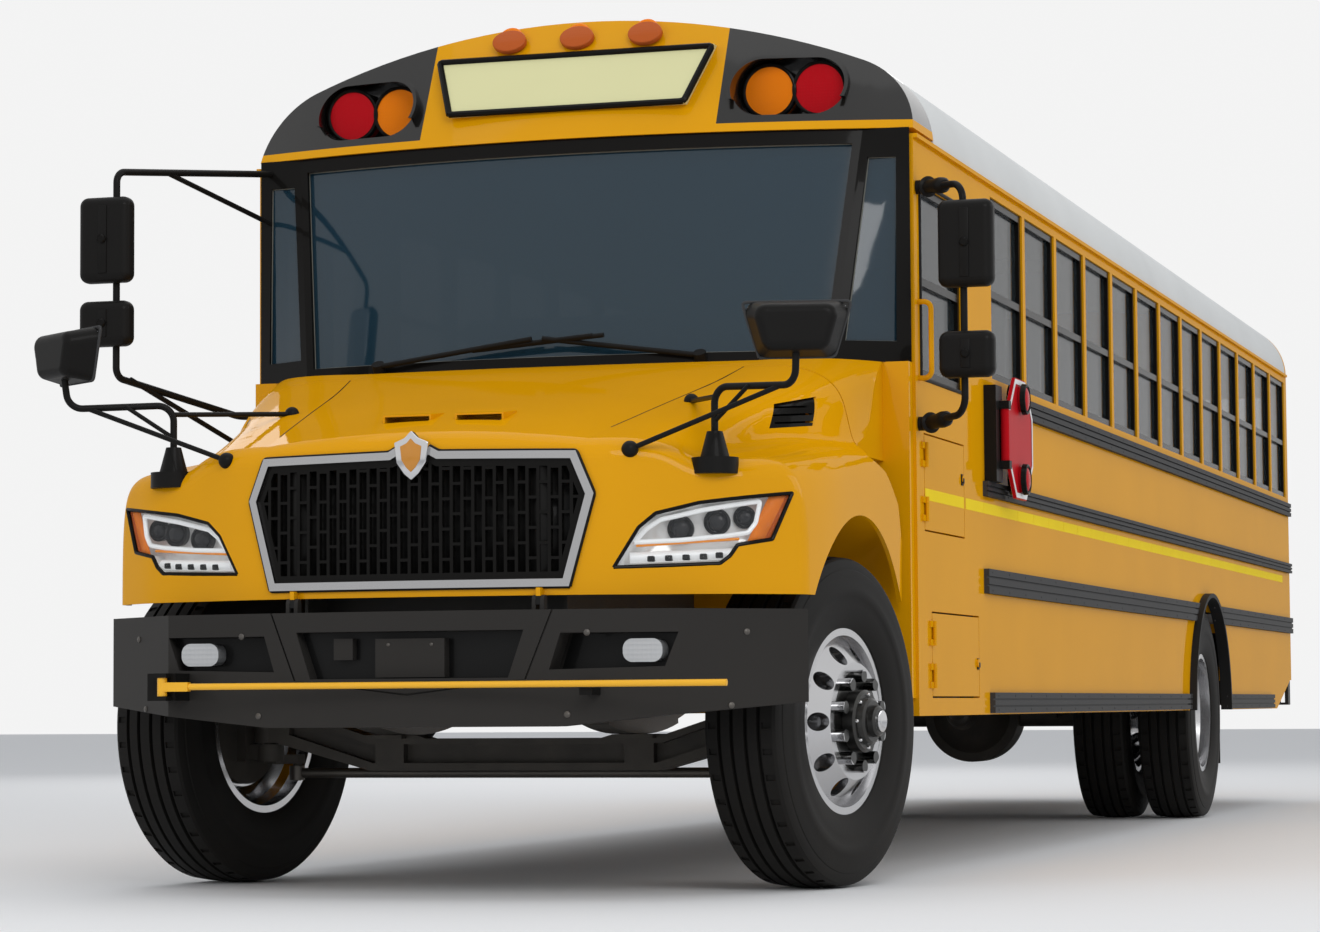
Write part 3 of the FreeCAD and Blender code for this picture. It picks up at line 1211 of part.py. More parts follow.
# Front cap and its lamps
CAP_LOW = GUTTER + 20
CAP_LIP = 30.0
CAP_CENTRE = 470.0
CAP_LEAN = 0.50
CAP_BOW = 140.0
LAMP_HEIGHT = CAP_LOW + 160
LAMP_RADIUS = 89.0
LAMP_RED_X = 862.0
LAMP_AMBER_X = 684.0
LAMP_DEPTH = 70.0
POCKET_FLOOR = 760.0
POCKET_MARGIN = 14.0
VISOR_METAL = 12.0
VISOR_OUT = 34.0


def cap_plan(inset, z):
    y = CAP_CENTRE + inset + CAP_LEAN * (z - CAP_LOW)
    half = BODY_HALF + 20
    a = Vector(-half, y + CAP_BOW + 40, z)
    b = Vector(0, y, z)
    c = Vector(half, y + CAP_BOW + 40, z)
    rear = CAP_REAR
    return Part.Wire([Part.Arc(a, b, c).toShape(), Part.LineSegment(c, Vector(c.x, rear, z)).toShape(),
                      Part.LineSegment(Vector(c.x, rear, z), Vector(a.x, rear, z)).toShape(),
                      Part.LineSegment(Vector(a.x, rear, z), a).toShape()])


def cap_shell():
    high = ROOF_PEAK + 20
    outer = Part.makeLoft([cap_plan(0, CAP_LOW), cap_plan(0, high)], True, True)
    outer = outer.common(arch_prism(0, GUTTER, 0, CAP_REAR))
    inner = Part.makeLoft([cap_plan(ROOF_THICKNESS, CAP_LOW - 1), cap_plan(ROOF_THICKNESS, high)], True, True)
    inner = inner.common(arch_prism(ROOF_THICKNESS, GUTTER - 2, 0, CAP_REAR + 1))
    return outer, inner


def lamp_slot(side, margin, y1):
    """A long round-ended slot round a pair of warning lamps, from ahead of the cap back to y1."""
    reach = LAMP_RADIUS + margin
    x0, x1 = sorted((side * LAMP_RED_X, side * LAMP_AMBER_X))
    ends = [rod((x, 300, LAMP_HEIGHT), (x, y1, LAMP_HEIGHT), reach) for x in (x0, x1)]
    return fuse(ends + [box(x0, x1, 300, y1, LAMP_HEIGHT - reach, LAMP_HEIGHT + reach)])


def lamp_visor(side, ahead):
    """Hood over a pair of warning lamps, standing out of the cap's face."""
    ring = lamp_slot(side, POCKET_MARGIN + VISOR_METAL, POCKET_FLOOR).cut(
        lamp_slot(side, POCKET_MARGIN, POCKET_FLOOR + 1))
    below = box(-BODY_HALF, BODY_HALF, 0, CAP_REAR, CAP_LOW, LAMP_HEIGHT - LAMP_RADIUS * 0.5)
    return ring.common(ahead).cut(below)


def pocket_box(side):
    x0, x1 = sorted((side * (LAMP_AMBER_X - LAMP_RADIUS - 30), side * (LAMP_RED_X + LAMP_RADIUS + 30)))
    return box(x0, x1, 500, POCKET_FLOOR + 20, LAMP_HEIGHT - LAMP_RADIUS - 30, LAMP_HEIGHT + LAMP_RADIUS + 30)


def cap_band():
    """The lip along the cap's foot, over its whole width."""
    return box(-BODY_HALF - 30, BODY_HALF + 30, 0, CAP_REAR + 1, CAP_LOW - 5, CAP_LOW + CAP_LIP)


def front_cap():
    """Middle of the moulded front cap, which carries the sign, and the lip along its foot."""
    outer, inner = cap_shell()
    shell = outer.cut(inner)
    middle = box(-CAP_SPLIT, CAP_SPLIT, 0, CAP_REAR + 1, CAP_LOW - 5, ROOF_PEAK + 30)
    return fuse([shell.common(middle), shell.common(cap_band())])


def lamp_pods():
    """The cap's black corners with the warning lamps' pockets."""
    outer, inner = cap_shell()
    ahead = Part.makeLoft([cap_plan(-VISOR_OUT, CAP_LOW), cap_plan(-VISOR_OUT, ROOF_PEAK + 20)], True, True)
    pods = []
    for side in (-1, 1):
        x0, x1 = sorted((side * CAP_SPLIT, side * (BODY_HALF + 30)))
        corner = box(x0, x1, 0, CAP_REAR + 1, CAP_LOW + CAP_LIP, ROOF_PEAK + 30)
        pocket = pocket_box(side).common(outer)
        solid = fuse([outer.cut(inner).common(corner), pocket, lamp_visor(side, ahead)])
        pods.append(solid.cut(lamp_slot(side, POCKET_MARGIN, POCKET_FLOOR)))
    return group(pods)


REAR_LAMP_HEIGHT = GUTTER + 90
REAR_LAMP_X = 1010.0
REAR_LAMP_STEP = 200.0
TAIL_LAMPS_RED = ((980.0, 1500.0, 88.0), (980.0, 1290.0, 50.0))
TAIL_LAMPS_AMBER = ((760.0, 1500.0, 88.0),)
MARKER_X = 250.0
MARKER_RADIUS = 44.0
MARKER_OUT = 20.0


def front_lamps(x):
    return [rod((side * x, POCKET_FLOOR, LAMP_HEIGHT), (side * x, POCKET_FLOOR - LAMP_DEPTH, LAMP_HEIGHT),
                LAMP_RADIUS - 2) for side in (-1, 1)]


def rear_lamps(x, z, radius):
    return [rod((side * x, BODY_REAR, z), (side * x, BODY_REAR + 42, z), radius) for side in (-1, 1)]


def red_lamps():
    """Red flashing lamps, front and back, with the stop lamps and the markers of the rear wall."""
    lamps = front_lamps(LAMP_RED_X) + rear_lamps(REAR_LAMP_X - REAR_LAMP_STEP, REAR_LAMP_HEIGHT, LAMP_RADIUS)
    for x, z, radius in TAIL_LAMPS_RED:
        lamps += rear_lamps(x, z, radius)
    for x in (-MARKER_X, 0, MARKER_X):
        lamps.append(box(x - 60, x + 60, BODY_REAR, BODY_REAR + 25, ROOF_PEAK - 205, ROOF_PEAK - 175))
    return group(lamps)


def amber_lamps():
    """Amber flashing lamps, front and back, the turn lamps and the three markers on the cap."""
    lamps = front_lamps(LAMP_AMBER_X)
    lamps += rear_lamps(REAR_LAMP_X - 2 * REAR_LAMP_STEP, REAR_LAMP_HEIGHT, LAMP_RADIUS)
    for x, z, radius in TAIL_LAMPS_AMBER:
        lamps += rear_lamps(x, z, radius)
    cap = Part.makeLoft([cap_plan(-RUNNING_GAP, CAP_LOW), cap_plan(-RUNNING_GAP, ROOF_PEAK + 20)], True, True)
    out = Vector(0, -1, CAP_LEAN).normalize()
    height = ROOF_PEAK - MARKER_RADIUS - 16
    for x in (-MARKER_X, 0, MARKER_X):
        foot = Vector(x, CAP_CENTRE + CAP_LEAN * (height - CAP_LOW) + MARKER_OUT, height)
        lens = Part.makeCylinder(MARKER_RADIUS, 2 * MARKER_OUT, foot, out)
        rims = [edge for edge in lens.Edges if edge.isClosed()]
        lens = lens.makeFillet(MARKER_OUT * 0.7, [min(rims, key=lambda edge: edge.CenterOfMass.y)])
        lamps.append(lens.cut(cap))
    return group(lamps)


SIGN_HALF_TOP = 505.0
SIGN_HALF_LOW = 430.0
SIGN_LOW = CAP_LOW + 105
SIGN_TOP = CAP_LOW + 325
SIGN_METAL = 14.0


def signs():
    """Blank sign panels at the front cap and over the rear door."""
    lean = CAP_LEAN
    low_y = CAP_CENTRE + lean * (SIGN_LOW - CAP_LOW)
    top_y = CAP_CENTRE + lean * (SIGN_TOP - CAP_LOW)
    face = face_of([Vector(-SIGN_HALF_LOW, low_y, SIGN_LOW), Vector(SIGN_HALF_LOW, low_y, SIGN_LOW),
                    Vector(SIGN_HALF_TOP, top_y, SIGN_TOP), Vector(-SIGN_HALF_TOP, top_y, SIGN_TOP)])
    front = face.extrude(Vector(0, CAP_BOW, 0))
    front.translate(Vector(0, -SIGN_METAL, 0))
    cap = Part.makeLoft([cap_plan(-RUNNING_GAP, CAP_LOW), cap_plan(-RUNNING_GAP, ROOF_PEAK + 20)], True, True)
    front = front.cut(cap)
    back_y = BODY_REAR + RUNNING_GAP
    back = box(-450, 450, back_y, back_y + SIGN_METAL, GUTTER - 10, GUTTER + 190)
    return group([front, back])


def rounded_hood(inset, low):
    """The hood's mass behind its nose, with the nose's upper edge rounded."""
    solid = hood_mass(inset, low + 5).common(hood_plan(inset, low, ROOF_PEAK))
    nose_rear = HOOD_NOSE + NOSE_PLAN[-1][1] + 60
    upper = [e for e in solid.Edges
             if e.CenterOfMass.y < nose_rear and e.BoundBox.ZMax > low + 100 and e.Length > 100]
    return solid.makeFillet(HOOD_ROUND - inset, upper)


GRILLE_OUTLINE = ((488.0, 940.0), (563.0, 1220.0), (510.0, 1350.0), (82.0, 1357.0), (0.0, 1402.0))
GRILLE_RIM = 24.0
MESH_PITCH = 34.0
MESH_BAR = 10.0
MESH_CELL = 92.0
MESH_TIE = 9.0
HEADLAMP_OUTLINE = ((614.0, 996.0), (685.0, 1117.0), (734.0, 1160.0), (859.0, 1191.0), (1108.0, 1222.0),
                    (1056.0, 1080.0), (966.0, 1062.0), (945.0, 1029.0), (917.0, 1006.0))
HEADLAMP_BACK = -420.0
SCOOP_X = (40.0, 200.0)
SCOOP_PROFILE = ((-684.0, 1440.0), (-684.0, 1492.0), (-560.0, 1506.0), (-560.0, 1470.0))
SCOOP_METAL = 6.0
VENT_OUTLINE = ((-102.0, 1540.0), (97.0, 1577.0), (8.0, 1475.0), (-224.0, 1452.0))
VENT_X = (820.0, 1120.0)
VENT_SUNK = 5.0
LOUVRES = 4


def scoop(side):
    """One air scoop of the middle panel: its through opening and its raised lip."""
    x0, x1 = sorted((side * SCOOP_X[0], side * SCOOP_X[1]))
    (front, low), (_, high), (rear, rear_high), (_, rear_low) = SCOOP_PROFILE
    mouth = prism_x([(front - 12, low - 60), (front - 12, high - SCOOP_METAL), (rear - 30, rear_high - 14),
                     (rear - 30, rear_low - 60)], x0 + SCOOP_METAL, x1 - SCOOP_METAL)
    return mouth, prism_x(SCOOP_PROFILE, x0, x1).cut(mouth)


def side_prism(points, inset, x0, x1):
    """A solid across the bus from x0 to x1 with a drawn-in outline of (y, z) points."""
    corners = [Vector(0, y, z) for y, z in points]
    wire = Part.makePolygon(corners + corners[:1])
    if inset:
        wire = wire.makeOffset2D(-inset, 2, False, False)
    face = Part.Face(wire)
    low, high = sorted((x0, x1))
    face.translate(Vector(low, 0, 0))
    return face.extrude(Vector(high - low, 0, 0))


def shrunk(points, inset):
    """An outline of straight sides drawn in by inset, as (x, z) points."""
    wire = Part.makePolygon([Vector(x, 0, z) for x, z in points] + [Vector(points[0][0], 0, points[0][1])])
    return Part.Face(wire.makeOffset2D(-inset, 2, False, False))


def grille_outline():
    half = list(GRILLE_OUTLINE[:-1])
    return half + [GRILLE_OUTLINE[-1]] + [(-x, z) for x, z in reversed(half)]


def ahead_prism(points, inset, y0, y1):
    """A solid through the nose from y0 to y1 with a drawn-in outline."""
    face = shrunk(points, inset)
    face.translate(Vector(0, y0, 0))
    return face.extrude(Vector(0, y1 - y0, 0))


def hood():
    """Tilting hood and fenders in one moulding, open underneath."""
    shell = rounded_hood(0, HOOD_BOTTOM - 5).cut(rounded_hood(HOOD_WALL, HOOD_BOTTOM - 45))
    shell = shell.cut(box(-BODY_HALF, BODY_HALF, HOOD_NOSE - 10, FENDER_REAR + 10,
                          HOOD_BOTTOM - 60, HOOD_BOTTOM))
    arches = rod((-FENDER_HALF - 50, 0, AXLE_HEIGHT), (FENDER_HALF + 50, 0, AXLE_HEIGHT), FRONT_ARCH_RADIUS)
    behind = prism_x([(HOOD_SIDE_REAR, 1380), (HOOD_SIDE_REAR + 130, 1340), (FENDER_REAR - 60, 1240),
                      (FENDER_REAR - 5, 1120), (FENDER_REAR - 5, 800), (FENDER_REAR + 100, 800),
                      (FENDER_REAR + 100, 1900), (FENDER_REAR - 100, 1900), (HOOD_SIDE_REAR + 400, 1380)],
                     -FENDER_HALF - 50, FENDER_HALF + 50)
    rear = behind_hood(0, 1380.0, 1980.0)
    above = box(-BODY_HALF, BODY_HALF, 0, BODY_FRONT, COWL_TOP - RUNNING_GAP, ROOF_PEAK)
    openings = [prism_y(grille_outline(), HOOD_NOSE - 100, HOOD_NOSE + 150)]
    lips = []
    for side in (-1, 1):
        slot, lip = scoop(side)
        openings.append(slot)
        lips.append(lip)
        openings.append(side_prism(VENT_OUTLINE, 0, side * VENT_X[0], side * VENT_X[1]))
        openings.append(prism_y([(side * x, z) for x, z in HEADLAMP_OUTLINE], HOOD_NOSE - 100, HEADLAMP_BACK))
    lugs = []
    bores = []
    for side in (-1, 1):
        x0, x1 = sorted((side * (HOOD_LUG_X - HOOD_LUG / 2), side * (HOOD_LUG_X + HOOD_LUG / 2)))
        lugs.append(box(x0, x1, HOOD_PIVOT_Y - 14, HOOD_PIVOT_Y + 42, HOOD_PIVOT_Z - 14, HOOD_BOTTOM + 22))
        bores.append(rod((x0 - 5, HOOD_PIVOT_Y, HOOD_PIVOT_Z), (x1 + 5, HOOD_PIVOT_Y, HOOD_PIVOT_Z),
                         HOOD_PIN + RUNNING_GAP))
    inside = COWL_SIDE_HALF + MOVING_GAP
    under_cowl = box(-inside, inside, HOOD_SIDE_REAR - 30, FENDER_REAR + 100, 700, 1381)
    panel = shell.cut([arches, behind, rear, above, under_cowl] + openings)
    return fuse([panel] + lips + lugs).cut(bores)


def nose_skin(out, deep, z0, z1):
    """A bent sheet along the nose, from out ahead of it to deep behind its face."""
    return hood_plan(-out, z0, z1).cut(hood_plan(deep, z0 - 1, z1 + 1))


def grille_surround():
    """Bright rim of the grille, proud of the hood."""
    low, high = GRILLE_OUTLINE[0][1] - 10, GRILLE_OUTLINE[-1][1] + 10
    rim = ahead_prism(grille_outline(), RUNNING_GAP, HOOD_NOSE - 100, HOOD_NOSE + 150).cut(
        ahead_prism(grille_outline(), GRILLE_RIM, HOOD_NOSE - 101, HOOD_NOSE + 151))
    return nose_skin(14, 20, low, high).common(rim)


def grille():
    """Mesh of standing cells, each column half a cell above the next, in a plain border."""
    low, high = GRILLE_OUTLINE[0][1] - 10, GRILLE_OUTLINE[-1][1] + 10
    outline = grille_outline()
    outer = ahead_prism(outline, GRILLE_RIM + RUNNING_GAP, HOOD_NOSE - 100, HOOD_NOSE + 150)
    sheet = nose_skin(2, 18, low, high).common(outer)
    window = ahead_prism(outline, GRILLE_RIM + 22, HOOD_NOSE - 101, HOOD_NOSE + 151)
    columns = int(GRILLE_OUTLINE[1][0] / MESH_PITCH) + 1
    cells = []
    foot = GRILLE_OUTLINE[0][1] + GRILLE_RIM + 22
    for column in range(-columns, columns + 1):
        x = column * MESH_PITCH
        z = foot + (column % 2) * MESH_CELL / 2 - MESH_CELL
        while z < high:
            cells.append(box(x - (MESH_PITCH - MESH_BAR) / 2, x + (MESH_PITCH - MESH_BAR) / 2,
                             HOOD_NOSE - 60, HOOD_NOSE + 150, z, z + MESH_CELL - MESH_TIE))
            z += MESH_CELL
    return group([sheet.cut(group(cells).common(window))] + hood_vents())


def hood_vents():
    """Louvred plates in the openings of the hood's flanks."""
    opening = side_prism(VENT_OUTLINE, RUNNING_GAP, *VENT_X)
    plate = hood_mass(VENT_SUNK, HOOD_BOTTOM).common(opening).cut(hood_mass(HOOD_WALL, HOOD_BOTTOM))
    louvres = []
    low = VENT_OUTLINE[-1][1]
    pitch = (VENT_OUTLINE[1][1] - low) / (LOUVRES + 1)
    for number in range(1, LOUVRES + 1):
        z = low + number * pitch - pitch / 2
        louvres.append(prism_x([(VENT_OUTLINE[-1][0] + 60, z + 6), (VENT_OUTLINE[-1][0] + 60, z + 12),
                                (VENT_OUTLINE[1][0] - 60, z + 29), (VENT_OUTLINE[1][0] - 60, z + 23)],
                               *VENT_X))
    return both_sides(plate.cut(louvres))


def headlamps():
    """Wrap-round headlamp units in the fenders, with a raised brow and four small lamps under it."""
    lamps = []
    lens = hood_mass(HOOD_WALL + 2, HOOD_BOTTOM).common(hood_plan(10, HOOD_BOTTOM, ROOF_PEAK))
    back = hood_plan(90, HOOD_BOTTOM - 10, ROOF_PEAK + 10)
    tube = ahead_prism(HEADLAMP_OUTLINE, RUNNING_GAP, HOOD_NOSE - 100, HEADLAMP_BACK)
    for shape in both_sides(tube):
        lamps.append(shape.common(lens).cut(back))
    return group(lamps)


# Side windows, rub rails and doors
SASH_OUT = 8.0
PANE_GRIP = 5.0


def sash_places():
    """Side, front, rear, sill, top and bar height of every framed window."""
    width = WINDOW_PITCH - WINDOW_PILLAR
    places = [(side, window_start(number), window_start(number) + width, WINDOW_SILL, WINDOW_TOP, SASH_BAR)
              for side in (-1, 1) for number in range(WINDOW_COUNT)]
    y0, y1, z0, z1 = DRIVER_WINDOW
    places.append((1, y0, y1, z0, z1, (z0 + z1) / 2))
    return places


def side_pane(side, y0, y1, z0, z1, grown=0.0):
    """A side window's glass, which sits in a groove round its frame."""
    middle = BODY_HALF - SASH_OUT - SASH_DEPTH / 2
    half = GLASS / 2 + grown
    x0, x1 = sorted((side * (middle - half), side * (middle + half)))
    edge = SASH_WIDTH - PANE_GRIP - grown
    return box(x0, x1, y0 + edge, y1 - edge, z0 + edge, z1 - edge)


def side_windows():
    """Sash frames in every side opening and in the driver's window."""
    frames = []
    outer = BODY_HALF - SASH_OUT
    for side, y0, y1, z0, z1, bar in sash_places():
        x0, x1 = sorted((side * (outer - SASH_DEPTH), side * outer))
        lights = [(z0 + SASH_WIDTH, bar - SASH_WIDTH / 2), (bar + SASH_WIDTH / 2, z1 - SASH_WIDTH)]
        cuts = [box(x0 - 1, x1 + 1, y0 + SASH_WIDTH, y1 - SASH_WIDTH, low, high) for low, high in lights]
        cuts.append(side_pane(side, y0, y1, z0, z1, RUNNING_GAP))
        frames.append(box(x0, x1, y0, y1, z0, z1).cut(cuts))
    return group(frames)


def window_glass():
    """The panes of the side windows and the two beside the rear door."""
    panes = [side_pane(side, y0, y1, z0, z1) for side, y0, y1, z0, z1, bar in sash_places()]
    y = BODY_REAR - WALL / 2
    for side in (-1, 1):
        x0, x1 = sorted((side * REAR_GLASS_INNER, side * REAR_GLASS_OUTER))
        panes.append(box(x0, x1, y - GLASS, y + GLASS, REAR_GLASS_LOW, REAR_GLASS_TOP))
    return group(panes)


RAIL_BANDS = ((1670.0, 1745.0, 2380.0), (1335.0, 1390.0, 1690.0), (980.0, 1070.0, 1690.0),
              (545.0, 620.0, 1770.0))
RAIL_PROUD = 20.0
RAIL_GROOVE = 7.0


def rub_rails():
    """Four ribbed rails along each side, the lowest broken at the rear wheels."""
    rails = []
    for side in (-1, 1):
        for number, (low, high, start) in enumerate(RAIL_BANDS):
            end = BODY_REAR - 20 if number < 3 else BODY_REAR - 870
            face = BODY_HALF + RAIL_PROUD
            x0, x1 = sorted((side * BODY_HALF, side * face))
            cuts = []
            for share in (1 / 3, 2 / 3):
                z = low + (high - low) * share
                g0, g1 = sorted((side * (face - RAIL_GROOVE), side * (face + 1)))
                cuts.append(box(g0, g1, start - 1, end + 1, z - RAIL_GROOVE / 2, z + RAIL_GROOVE / 2))
            if number > 1:
                cuts.append(rod((x0 - 10, WHEELBASE, AXLE_HEIGHT), (x1 + 10, WHEELBASE, AXLE_HEIGHT),
                                REAR_ARCH_RADIUS + ARCH_LIP))
            rails.append(box(x0, x1, start, end, low, high).cut(cuts))
    return group(rails)


def arch_lips():
    """Black flares round the rear wheel openings."""
    lips = []
    for side in (-1, 1):
        x0, x1 = sorted((side * (BODY_HALF - SKIRT_THICKNESS), side * (BODY_HALF + ARCH_LIP)))
        outer = rod((x0, WHEELBASE, AXLE_HEIGHT), (x1, WHEELBASE, AXLE_HEIGHT), REAR_ARCH_RADIUS - 0.2)
        inner = rod((x0 - 1, WHEELBASE, AXLE_HEIGHT), (x1 + 1, WHEELBASE, AXLE_HEIGHT), REAR_ARCH_RADIUS - 22)
        below = box(x0 - 2, x1 + 2, WHEELBASE - 900, WHEELBASE + 900, -REAR_ARCH_RADIUS, SKIRT_BOTTOM)
        lips.append(outer.cut([inner, below]))
    return lips


def door_leaf(y0, y1):
    """Glazed leaf of the entrance door: a frame, a middle rail and two panes."""
    outer = -BODY_HALF
    inner = outer + DOOR_THICKNESS
    leaf = box(outer, inner, y0, y1, DOOR_BOTTOM, DOOR_TOP - MOVING_GAP)
    frame = 60.0
    middle = 1350.0
    lights = [(DOOR_BOTTOM + 90, middle - frame / 2), (middle + frame / 2, DOOR_TOP - MOVING_GAP - frame)]
    holes = [box(outer - 1, inner + 1, y0 + frame, y1 - frame, low, high) for low, high in lights]
    pane_x = (outer + inner) / 2
    panes = [box(pane_x - GLASS / 2, pane_x + GLASS / 2, y0 + frame - 5, y1 - frame + 5, low - 5, high + 5)
             for low, high in lights]
    return fuse([leaf.cut(holes)] + panes)


def entrance_door_front():
    leaf = door_leaf(DOOR_FRONT + MOVING_GAP, DOOR_FRONT + DOOR_WIDTH / 2 - MOVING_GAP)
    return hung(leaf, front_leaf_hinges())


def entrance_door_rear():
    leaf = door_leaf(DOOR_FRONT + DOOR_WIDTH / 2 + MOVING_GAP, DOOR_FRONT + DOOR_WIDTH - MOVING_GAP)
    return hung(leaf, rear_leaf_hinges())


def emergency_door():
    """Rear door with an upper and a lower pane and its handle."""
    y1 = BODY_REAR
    y0 = y1 - 40
    low = FLOOR_BOTTOM + FLOOR_THICKNESS + MOVING_GAP
    leaf = box(-REAR_DOOR_HALF + MOVING_GAP, REAR_DOOR_HALF - MOVING_GAP, y0, y1, low,
               REAR_DOOR_TOP - MOVING_GAP)
    lights = [(1240.0, 1600.0), (1700.0, 2290.0)]
    holes = [box(-REAR_DOOR_HALF + 80, REAR_DOOR_HALF - 80, y0 - 1, y1 + 1, z0, z1) for z0, z1 in lights]
    panes = [box(-REAR_DOOR_HALF + 76, REAR_DOOR_HALF - 76, y0 + 17, y0 + 23, z0 - 4, z1 + 4)
             for z0, z1 in lights]
    handle = fuse([rod((150, y1 + 45, 1650), (270, y1 + 45, 1650), 11),
                   rod((160, y1 - 5, 1650), (160, y1 + 45, 1650), 9),
                   rod((260, y1 - 5, 1650), (260, y1 + 45, 1650), 9)])
    return hung(fuse([leaf.cut(holes), handle] + panes), rear_door_hinges())


def side_hatch(place):
    """Flat access door in the driver's side wall with a small latch."""
    y0, y1, z0, z1 = place
    gap = MOVING_GAP
    leaf = box(BODY_HALF - HATCH_THICKNESS, BODY_HALF, y0 + gap, y1 - gap, z0 + gap, z1 - gap)
    latch_z = z1 - 125 if z0 > FLOOR_BOTTOM else z1 - 170
    latch = rod((BODY_HALF - 5, y1 - 36, latch_z), (BODY_HALF + 7, y1 - 36, latch_z), 15)
    return hung(fuse([leaf, latch]), hatch_hinges(place))


# Stop arm and crossing arm
STOP_HINGE_Y = 1800.0
STOP_HINGE_X = BODY_HALF + 62.0
STOP_MIDDLE = 1564.0
STOP_SIZE = 450.0
STOP_SIGN_METAL = 12.0
CROSS_HINGE_X = -785.0
CROSS_HINGE_Y = BUMPER_NOSE - 46.0
CROSS_HEIGHT = 647.0
CROSS_END = 1020.0


def stop_arm():
    """Octagonal sign, folded flat along the side, with a lamp above and below its middle."""
    half = STOP_SIZE / 2
    flat = half * math.tan(math.radians(22.5))
    y = STOP_HINGE_Y + 30 + half
    z = STOP_MIDDLE
    outline = [(y - flat, z - half), (y + flat, z - half), (y + half, z - flat), (y + half, z + flat),
               (y + flat, z + half), (y - flat, z + half), (y - half, z + flat), (y - half, z - flat)]
    plate = prism_x(outline, STOP_HINGE_X - STOP_SIGN_METAL / 2, STOP_HINGE_X + STOP_SIGN_METAL / 2)
    lamps = [rod((STOP_HINGE_X - 28, y, z + dz), (STOP_HINGE_X + 28, y, z + dz), 48) for dz in (-150, 150)]
    arm = box(STOP_HINGE_X - 10, STOP_HINGE_X + 10, STOP_HINGE_Y + 24, y - half + 60, z - 95, z + 95)
    barrel = rod((STOP_HINGE_X, STOP_HINGE_Y, z - 95), (STOP_HINGE_X, STOP_HINGE_Y, z + 95), 16)
    knuckle_web = box(STOP_HINGE_X - 8, STOP_HINGE_X + 8, STOP_HINGE_Y, STOP_HINGE_Y + 30, z - 95, z + 95)
    return fuse([plate, arm, barrel, knuckle_web] + lamps)


def crossing_arm():
    """Long rod folded across the bumper, on its hinge barrel."""
    z = CROSS_HEIGHT
    x = CROSS_HINGE_X
    y = CROSS_HINGE_Y
    barrel = rod((x, y, z - 28), (x, y, z + 28), 15)
    socket = box(x + 5, x + 90, y - 12, y + 12, z - 14, z + 14)
    bar = rod((x + 80, y, z), (CROSS_END, y, z), 10)
    return fuse([barrel, socket, bar])


def arm_brackets():
    """Hinge boxes that carry the stop arm and the crossing arm, and the crossing arm's rest."""
    z = STOP_MIDDLE
    x = STOP_HINGE_X
    y = STOP_HINGE_Y
    stop_low = RAIL_BANDS[1][1] + RUNNING_GAP
    stop_box = box(BODY_HALF + RUNNING_GAP, BODY_HALF + 46, y - 80, y + 28, stop_low, z + 180)
    ears = []
    for end in (-1, 1):
        z0, z1 = sorted((z + end * (95 + RUNNING_GAP), z + end * 125))
        ears.append(box(BODY_HALF + 40, x + 20, y - 20, y + 20, z0, z1))
    pocket = rod((x, y, z - 95 - RUNNING_GAP), (x, y, z + 95 + RUNNING_GAP), 24)
    stop_bracket = fuse([stop_box] + ears).cut(pocket)
    z = CROSS_HEIGHT
    x = CROSS_HINGE_X
    y = CROSS_HINGE_Y
    body = box(x - 60, x + 34, BUMPER_NOSE - 24, BUMPER_NOSE + 160, z - 42, z + 42)
    plates = []
    for end in (-1, 1):
        z0, z1 = sorted((z + end * (28 + RUNNING_GAP), z + end * 42))
        plates.append(box(x - 20, x + 20, y - 18, BUMPER_NOSE, z0, z1))
    bumper = bowed_band(BUMPER_HALF, BUMPER_NOSE - RUNNING_GAP, BUMPER_END, 400, BUMPER_LOW, BUMPER_TOP)
    cross_bracket = fuse([body] + plates).cut(bumper)
    rest = box(560, 600, BUMPER_NOSE - 30, BUMPER_NOSE + 72, z - 34, z - 12).cut(bumper)
    return group([stop_bracket, cross_bracket, rest])


# Mirrors
MIRROR_TUBE = 12.0
SIDE_MIRROR_X = 1415.0
LEFT_MIRROR_Y = 500.0
RIGHT_MIRROR_Y = -130.0
RIGHT_FOOT_Y = 480.0
RIGHT_FOOT_Z = 1605.0
MIRROR_WIDTH = 188.0
MIRROR_DEPTH = 76.0
FLAT_MIRROR = 292.0
ROUND_MIRROR = 155.0
LEFT_ARM_HIGH = 2330.0
LEFT_ARM_LOW = 1525.0
LEFT_HEADS = (2105.0, 1735.0)
RIGHT_HEADS = (2165.0, 1880.0)


def mirror_heads(x, y, middles):
    """The flat mirror's rounded case and, below it, the convex one's, their glass to the rear."""
    heads = []
    for z, height in zip(middles, (FLAT_MIRROR, ROUND_MIRROR)):
        case = box(x - MIRROR_WIDTH / 2, x + MIRROR_WIDTH / 2, y - MIRROR_DEPTH / 2, y + MIRROR_DEPTH / 2,
                   z - height / 2, z + height / 2)
        heads.append(case.makeFillet(MIRROR_DEPTH * 0.4, case.Edges))
    return heads


